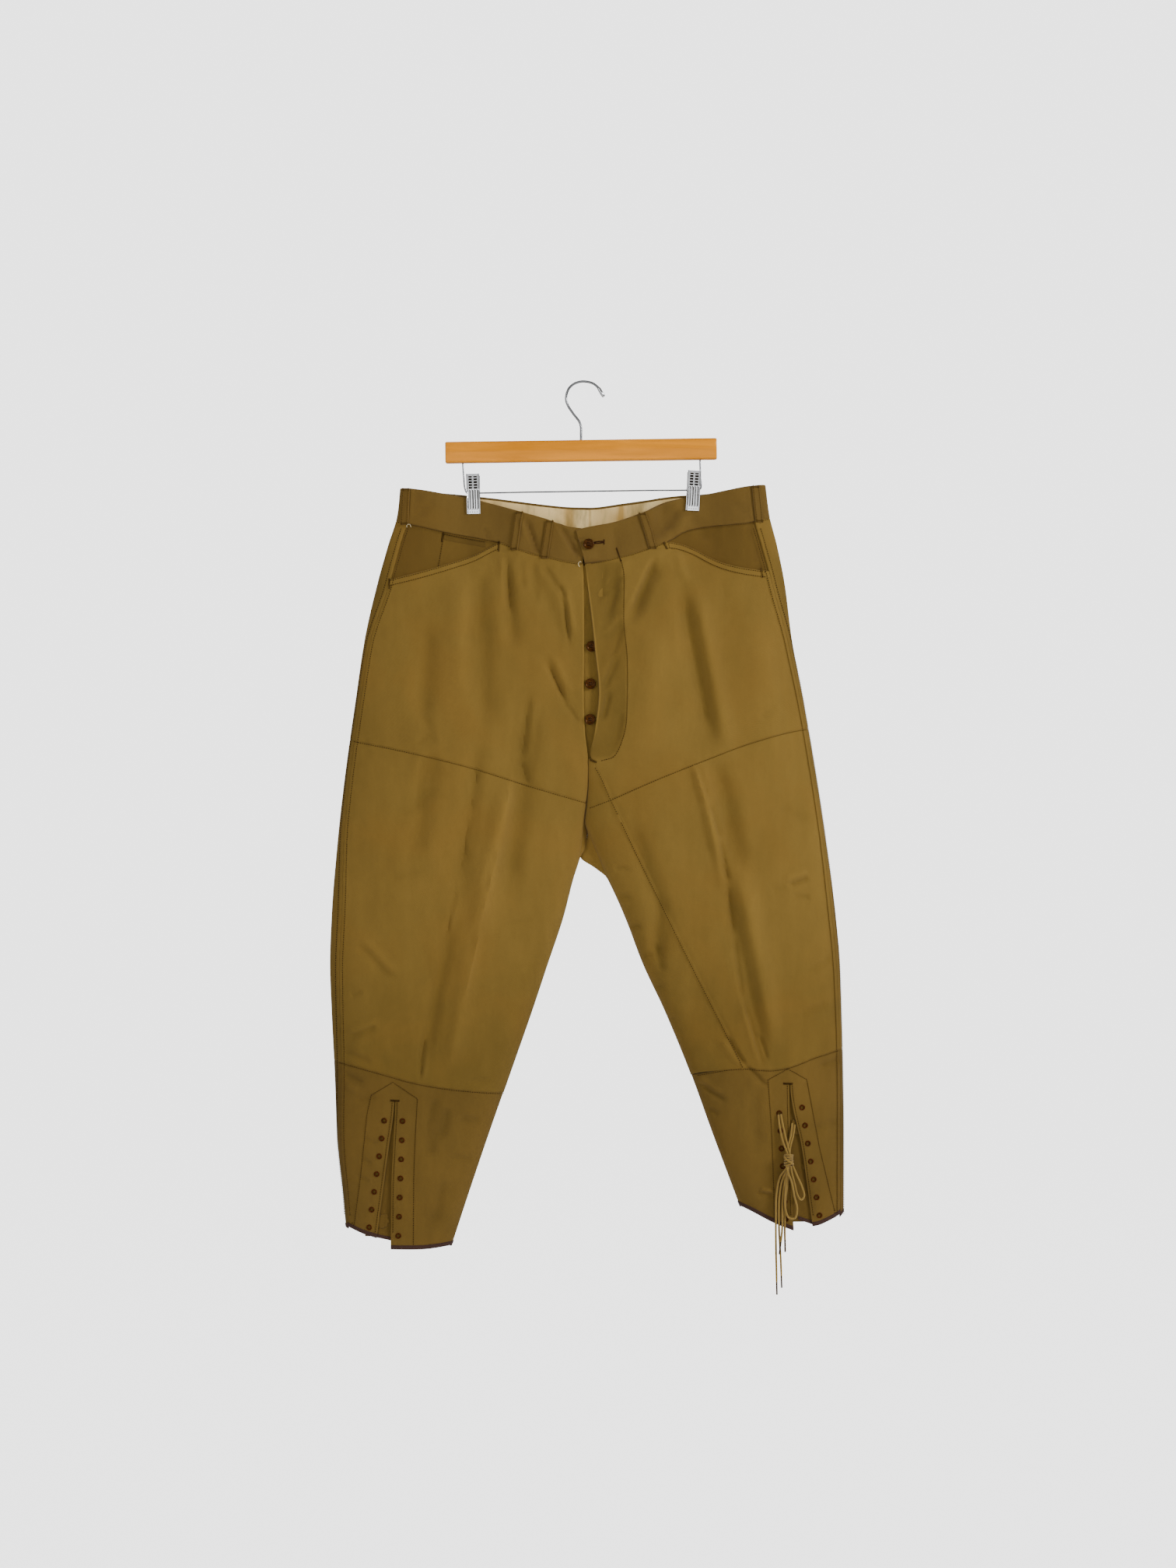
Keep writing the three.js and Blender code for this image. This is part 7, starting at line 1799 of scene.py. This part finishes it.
class BREECHES_OT_sewing(bpy.types.Operator):
    """Rows of stitches, bar tacks and eyelets"""

    bl_idname = "breeches.sewing"
    bl_label = "Sewing"

    def execute(self, context):
        sizes = settings()
        tree = stitch_tree()
        rows = {"upper": [], "thigh": [], "calf": [], "back": [], "band": list(LOOP_LINES)}
        for side in SIDES:
            name = side.name
            for shift in (-4.6, 4.6):
                rows["upper"].append(outseam_row(side, 190, 470, shift))
                rows["thigh"].append(outseam_row(side, 470, 880, shift))
                rows["calf"].append(outseam_row(side, 880, 1072, shift))
            inner_x = 3 if side is RIGHT else 10
            outer_x = float(side.outer(470)) + side.sign * -8
            xs = np.linspace(inner_x, outer_x, 60)
            rows["thigh"].append(over_x(xs, side.thigh_seam(xs) + 1.3, True, 0.25, side))
            outer_x = float(side.outer(890)) - side.sign * 8
            inner_x = float(side.front_inner(900)) + side.sign * 6
            xs = np.linspace(inner_x, outer_x, 50)
            rows["calf"].append(over_x(xs, side.calf_seam(xs) + 1.3, True, 0.25, side))
            xs = np.linspace(4 if side is RIGHT else 12, float(side.outer(186)) - side.sign * 6, 60)
            rows["band"].append(over_x(xs, waist_seam(xs) + 1.2, True, 0.3, side))
            scoop_x = np.linspace(-246, -109, 50) if side is RIGHT else np.linspace(112, 234, 50)
            for below, out in ((1.6, 1.0), (8.0, 0.95)):
                rows["upper"].append(over_x(scoop_x, side.scoop(scoop_x) + below, True, out, side))
            rows["calf"].append(line_over(PLACKETS[name], True, side, 0.3, straight=True))
            for column, shift in ((side.slit_outer, side.sign * 2.6), (side.slit_inner, -side.sign * 2.6)):
                drop = np.linspace(SLIT_TOP[name] + 3, 1092 if side is RIGHT else 1070, 46)
                rows["calf"].append(over_x(column(drop) + shift, drop, True, 0.3, side))
            for label, seam, end in (("waist", waist_seam_back, 200), ("thigh", side.thigh_seam, 480),
                                     ("calf", side.calf_seam, 890)):
                near = 12 if label == "waist" else float(side.back_inner(end + 30)) * side.sign + 6
                xs = side.sign * np.linspace(near, abs(float(side.outer(end))) - 7, 60)
                rows["back"].append(over_x(xs, seam(xs) + 1.4, False, 0.3, side))
        drop = np.linspace(212, 590, 90)
        for shift in (-4.4, 4.4):
            side = RIGHT if shift < 0 else LEFT
            rows["back"].append(over_x(side.back_inner(drop) + shift, drop, False, 0.4, side))
        drop = np.linspace(568, 880, 78)
        x = RIGHT.back_inner(drop) - inner_panel_width_right(drop)
        rows["back"].append(over_x(x + 2, drop, False, 0.35, RIGHT))
        x = inner_panel_left(drop)
        rows["thigh"].append(over_x(x - 1.6, drop, True, 0.5, LEFT))
        drop = np.linspace(498, 556, 20)
        rows["thigh"].append(over_x(inner_panel_left(drop) - 1.6, drop, True, 0.5, LEFT))
        rows["upper"].append(line_over(list(zip(FLY_STITCH["x"], FLY_STITCH["drop"])), True, LEFT, 0.35))
        rows["upper"].append(line_over([(-180, 206), (-182.5, 222), (-185, 237)], True, RIGHT, -CLOTH))
        rows["upper"].append(line_over([(-177, 196.5), (-152, 201.5), (-127, 206)], True, RIGHT, -0.6))
        for name, lines in rows.items():
            piece = grown(f"stitches_{name}", lines_mesh(name, lines), tree, {
                "Pitch": sizes.stitch_pitch, "Stitch Length": sizes.stitch_length,
                "Thread Width": sizes.thread_width,
                "Material": MATERIALS["band_thread" if name == "band" else "thread"]})
            settle(piece, "twill")
        self.tacks()
        self.eyelets()
        return {"FINISHED"}

    @staticmethod
    def tacks():
        """Bar tacks: thread laid to and fro across a short bar."""
        parts = []
        for start, end, side, out, thickness in (
            ((-107.6, 206), (-108, 219), RIGHT, 0.9, 1.6), ((-248.6, 254), (-248.4, 267), RIGHT, 1.0, 1.6),
            ((-179, 193.5), (-181, 206), RIGHT, -1.2, 1.5), ((104, 207.5), (108.5, 216), LEFT, 0.9, 1.8),
            ((228.5, 240.5), (231.5, 252.5), LEFT, 1.0, 1.8), ((43.5, 215), (49.4, 233), LEFT, 0.5, 1.0),
            ((9.5, 487), (18, 490), LEFT, 0.8, 1.9), ((-246, 923.4), (-234.4, 923.8), RIGHT, 0.5, 1.7),
            ((257, 901.4), (269, 901.8), LEFT, 0.5, 1.7),
        ):
            start, end = np.array(start, float), np.array(end, float)
            length = np.hypot(*(end - start))
            count = int(length / 0.55)
            along, aside = (end - start) / length, np.array([end[1] - start[1], start[0] - end[0]]) / length
            swing = TACK_SPREAD * thickness / 2 * np.where(np.arange(count) % 2 == 0, 1, -1)
            flat = start + along * np.linspace(0, length, count)[:, None] + aside * swing[:, None]
            parts.append(tube(over_x(flat[:, 0], flat[:, 1], True, out, side), 0.42, 6))
        settle(joined("bar_tacks", parts, MATERIALS["tack_thread"]), "binding")
        settle(joined("loop_tacks", [tube(line, 0.45, 6) for line in TACKS], MATERIALS["band_thread"]),
               "twill")
        loose = []
        for points, side in (
            ([(-220.5, 187.5, 0.6), (-222, 184, 1.6), (-225.5, 184.5, 1.5), (-226, 188, 0.9)], RIGHT),
            ([(-1.5, 234, 1.2), (-3.5, 233.5, 2.2), (-5.5, 236.5, 2.2), (-3.8, 240, 1.0)], RIGHT),
        ):
            flat = smooth_path(points, 0.7)
            loose.append(tube(over_x(flat[:, 0], flat[:, 1], True, flat[:, 2], side), 0.32, 6))
        settle(joined("basting_ends", loose, MATERIALS["cream_thread"]), "twill")

    @staticmethod
    def eyelets():
        tree = eyelet_tree()
        points, aims = [], []
        for side in SIDES:
            for x, drop in eyelet_places(side):
                seat = over_x(x, drop, True, 0.0, side)
                points.append(seat)
                aims.append(unit(over_x(x, drop, True, 1.0, side) - seat))
        mesh = bpy.data.meshes.new("eyelet seats")
        mesh.from_pydata((np.array(points) * MM).tolist(), [], [])
        mesh.attributes.new("aim", "FLOAT_VECTOR", "POINT").data.foreach_set("vector", np.array(aims).ravel())
        piece = grown("eyelets", mesh, tree, {
            "Ring Radius": 2.85 * MM, "Rim Radius": 0.95 * MM, "Material": MATERIALS["eyelet"]})
        settle(piece, "binding")
        # The cloth behind, pressed up into each eyelet.
        seen = []
        for seat, aim in zip(points, aims):
            p, q, m = lathe([(0, -0.3), (2.7, -0.3), (2.7, 0), (0, 0.25)], 16)
            seen.append((aimed(p, np.array(seat) - np.array(aim) * 0.9, aim), q, m))
        settle(joined("eyelet_centres", seen, MATERIALS["shaded_twill"]), "shaded_twill")


# ---------------------------------------------------------------- pieces: hanger
class BREECHES_OT_hanger(bpy.types.Operator):
    """Hook, wooden bar, wire rod and the two spring clips"""

    bl_idname = "breeches.hanger"
    bl_label = "Hanger"

    def execute(self, context):
        steel = MATERIALS["steel"]
        hook = [(25.8, -15.5), (22, -8.5), (13.5, -1), (0, 1.6), (-10.5, -1.2), (-18, -8), (-21.3, -19.4),
                (-19.6, -28), (-12, -40), (-4.4, -50), (-2.3, -56), (-2, -66), (-2, -74.6)]
        wire = tube(smooth_path([(x, 0, z) for x, z in hook], 1.2), 1.6, 18)
        cap = [(27.4, -18.2), (26.9, -17.3), (24, -12.3), (21, -7.1), (20.5, -6.2)]
        sleeve = tube([(x, 0, z) for x, z in cap], [1.5, 2.35, 2.4, 2.35, 1.7], 18)
        hook = joined("hanger_hook_wire", [wire], MATERIALS["wire"])
        settle(hook, "steel", "hanger_hook")
        settle(joined("hanger_hook_sleeve", [sleeve], steel), "steel")
        self.bar()
        self.rod()
        for name, lean in (("right", 1.5), ("left", -3.0)):
            self.clip(name, math.radians(lean))
        return {"FINISHED"}

    @staticmethod
    def bar():
        """A flat bar of beech with eased edges."""
        half = np.array([BAR["thickness"], BAR["height"]]) / 2
        ease, corner = 2.4, []
        for sx, sz, first in ((1, 1, 0), (-1, 1, 90), (-1, -1, 180), (1, -1, 270)):
            for step in range(6):
                angle = math.radians(first + step * 18)
                corner.append((sx * (half[0] - ease) + ease * math.cos(angle),
                               sz * (half[1] - ease) + ease * math.sin(angle)))
        section = np.array(corner)
        stations = [(-BAR["length"] / 2, 0.86), (-174.6, 0.93), (-173.6, 0.98), (-172, 1.0)]
        stations += [(x, 1.0) for x in np.linspace(-160, 160, 17)]
        stations += [(-x, s) for x, s in reversed(stations[:4])]
        rings = []
        for x, share in stations:
            inset = (1 - share) * half[0]
            scale = 1 - inset / half
            rings.append(np.stack([np.full(len(section), x), section[:, 0] * scale[0],
                                   section[:, 1] * scale[1]], 1))
        rings = np.array(rings)
        tilt = math.radians(BAR["tilt"])
        x, z = rings[..., 0].copy(), rings[..., 2].copy()
        rings[..., 0] = x * math.cos(tilt) - z * math.sin(tilt) - 2
        rings[..., 2] = x * math.sin(tilt) + z * math.cos(tilt) - (BAR["top"] + BAR["height"] / 2)
        points = rings.reshape(-1, 3)
        settle(make_mesh("hanger_bar_beech", points, tube_faces(*rings.shape[:2]), MATERIALS["wood"],
                         points[:, :2], None, 40), "wood", "hanger_bar")

    @staticmethod
    def rod():
        under = lambda x: BAR["top"] + BAR["height"] - (x + 2) * math.tan(math.radians(BAR["tilt"])) + 0.2
        right, left = ROD_DROP["right"], ROD_DROP["left"]
        route = [(-154.8, under(-154.8)), (-153.4, 122), (-152, right - 6), (-149.5, right - 0.6),
                 (-144, right - 0.1), (-70, lerp(right, left, 0.265)), (0, lerp(right, left, 0.5)),
                 (80, lerp(right, left, 0.76)), (147, left + 0.1), (152, left - 1), (153, left - 6),
                 (152.2, 122), (151.5, under(151.5))]
        path = smooth_path([(x, 0, -d) for x, d in route], 1.5)
        settle(joined("hanger_rod_wire", [tube(path, 1.0, 14)], MATERIALS["wire"]), "steel", "hanger_rod")

    @staticmethod
    def clip(name, lean):
        """Two stamped jaws: slotted grips above, ribbed plates with a toothed edge below; and the spring."""
        x = CLIP_X[name]
        rod_drop = lerp(ROD_DROP["right"], ROD_DROP["left"], (x - ROD["start"]) / ROD["length"])
        width, plate, at_rod = CLIP["width"], CLIP["plate"], CLIP["at_rod"]
        below = CLIP["height"] * CLIP["below_rod"]
        above = CLIP["height"] - below
        opened = at_rod + CLIP["flare"]
        steel = MATERIALS["steel"]

        def leaned(across, depth, rise):
            return np.stack([across * math.cos(lean) - rise * math.sin(lean) + x, depth,
                             across * math.sin(lean) + rise * math.cos(lean) - rod_drop], -1)

        for sign, label in ((-1, "front"), (1, "back")):
            front = sign < 0
            side = RIGHT if x < 0 else LEFT
            top = waist_top[side.name if front else "back"]
            depths = []
            for across in (-12, -6, 0, 6, 12):
                for share in (0.3, 0.65, 1):
                    drop = max(rod_drop + below * share, float(top(x + across)) + 1)
                    depths.append(abs(float(over_x(x + across, drop, front, 0.0, side)[1])))
            tip = max(depths) + 0.4
            profile = np.array([(tip, -below), (max(tip, at_rod), 6 - below / 2), (at_rod, 4),
                                (opened, above)])
            lengths = np.concatenate([[0], np.hypot(*np.diff(profile, axis=0).T).cumsum()])
            along = np.linspace(0, lengths[-1], CLIP["rows"] + 1)
            depth = np.interp(along, lengths, profile[:, 0])
            depth = np.convolve(np.pad(depth, 3, mode="edge"), np.ones(7) / 7, mode="valid")
            rise = np.interp(along, lengths, profile[:, 1])[:, None]
            across = np.linspace(-width / 2, width / 2, CLIP["columns"] + 1)
            # Four pressed ribs on the lower plate, and rolled side edges.
            ribs = 0.5 * np.sin(across / CLIP["rib_pitch"] * math.pi) ** 2 * (np.abs(across) < 6.6)
            inside = smoothstep(4.5, 7, along) * (1 - smoothstep(30, 32, along))
            out = plate + inside[:, None] * ribs + 0.7 * smoothstep(7.2, 7.9, np.abs(across))
            mid_across, mid_along = (across[1:] + across[:-1]) / 2, (along[1:] + along[:-1]) / 2
            slot_cells, teeth = np.zeros((2, CLIP["rows"], CLIP["columns"]), bool)
            for i in range(5):
                row = np.abs(mid_along - (lengths[-1] - 3.6 - i * 3.7)) < 1.2
                for centre in (-3.3, 3.3):
                    slot_cells |= row[:, None] & (np.abs(mid_across - centre) < 2.4)
            for centre in (-4.6, -1.6, 1.6, 4.6):
                teeth |= (np.abs(mid_along - 2.6) < 0.65)[:, None] & (np.abs(mid_across - centre) < 0.6)
            # The front's slots are cut through; the back's are not cut but painted dark, as painted shade and
            # reflection.
            keep = ~(teeth | slot_cells) if front else ~teeth
            outer, inner = (leaned(*np.broadcast_arrays(across, sign * (depth[:, None] + off), rise))
                            for off in (out, 0 * out))
            piece = shell(f"clip_{name}_{label}_jaw_plate", outer, inner, steel, keep, None, 35)
            piece.data.materials.append(MATERIALS["dull_steel"])
            count = int(keep.sum())
            r, c = np.nonzero(keep)
            # Painted shade and dark reflection: the grooves between the ribs, the back's painted slots and
            # the whole inside of each jaw take the near-black steel.
            groove_painted_dark = np.sin(mid_across[c] / CLIP["rib_pitch"] * math.pi) ** 2 < 0.16
            groove_painted_dark &= (np.abs(mid_across[c]) < 6.9) & (mid_along[r] > 6.5) & (mid_along[r] < 30.5)
            dark = np.concatenate([np.nonzero(groove_painted_dark | slot_cells[r, c])[0], np.arange(count, 2 * count)])
            for index in dark:
                piece.data.polygons[int(index)].material_index = 1
            outline = np.array([(at_rod + plate * 0.6, -9), (at_rod - 1.1, 3), (opened - 2.4, above - 2),
                                (opened + plate / 2, above - 2), (at_rod + plate * 0.6, 3)])
            for edge in (-width / 2 + 0.5, width / 2 - 0.5):
                points = np.concatenate([leaned(edge + shift + 0 * outline[:, 0], sign * outline[:, 0],
                                                outline[:, 1]) for shift in (-0.5, 0.5)])
                n = len(outline)
                faces = [[i, (i + 1) % n, n + (i + 1) % n, n + i] for i in range(n)]
                faces += [[0, 1, 3, 4], [n + 4, n + 3, n + 1, n], [1, 2, 3], [n + 3, n + 2, n + 1]]
                cheek = bpy.data.meshes.new("cheek")
                cheek.from_pydata((points * MM).tolist(), [], faces)
                join_into(piece, cheek, steel)
            settle(piece, "steel", f"clip_{name}_{label}_jaw")
        turns, coil_radius = 9, 2.6
        angle = np.linspace(0, 2 * math.pi * turns, turns * 16)
        run = np.linspace(-4.4, 4.4, len(angle))
        slope = (ROD_DROP["right"] - ROD_DROP["left"]) / ROD["length"]
        coil = np.stack([x + run, coil_radius * np.cos(angle),
                         -rod_drop + run * slope + coil_radius * np.sin(angle)], 1)
        settle(joined(f"clip_{name}_spring_coil", [tube(coil, 0.48, 8)], steel), "steel",
               f"clip_{name}_spring")


def join_into(piece, mesh, material):
    """Adds a second closed mesh to a piece's own."""
    other = link("part to join", mesh)
    mesh.materials.append(material)
    both = [piece, other]
    with bpy.context.temp_override(active_object=piece, object=piece, selected_editable_objects=both,
                                   selected_objects=both):
        bpy.ops.object.join()


# ---------------------------------------------------------------- panel, registration and run
class BREECHES_PT_panel(bpy.types.Panel):
    """Lists the settings and the pieces"""

    bl_idname = "BREECHES_PT_panel"
    bl_label = "Breeches"
    bl_space_type = "VIEW_3D"
    bl_region_type = "UI"
    bl_category = "Breeches"

    def draw(self, context):
        column = self.layout.column()
        for name in BreechesSettings.__annotations__:
            column.prop(context.scene.breeches, name)
        for operator in OPERATORS:
            column.operator(operator.bl_idname)


OPERATORS = (
    BREECHES_OT_stage, BREECHES_OT_lace, BREECHES_OT_panels, BREECHES_OT_calves, BREECHES_OT_waistband,
    BREECHES_OT_pockets, BREECHES_OT_fly, BREECHES_OT_sewing, BREECHES_OT_hanger,
)
CLASSES = (BreechesSettings, *OPERATORS, BREECHES_PT_panel)


def register():
    for item in CLASSES:
        bpy.utils.register_class(item)
    bpy.types.Scene.breeches = PointerProperty(type=BreechesSettings)


def unregister():
    del bpy.types.Scene.breeches
    for item in reversed(CLASSES):
        bpy.utils.unregister_class(item)


def main():
    register()
    for operator in OPERATORS:
        group, action = operator.bl_idname.split(".")
        getattr(getattr(bpy.ops, group), action)()


if __name__ == "__main__":
    main()
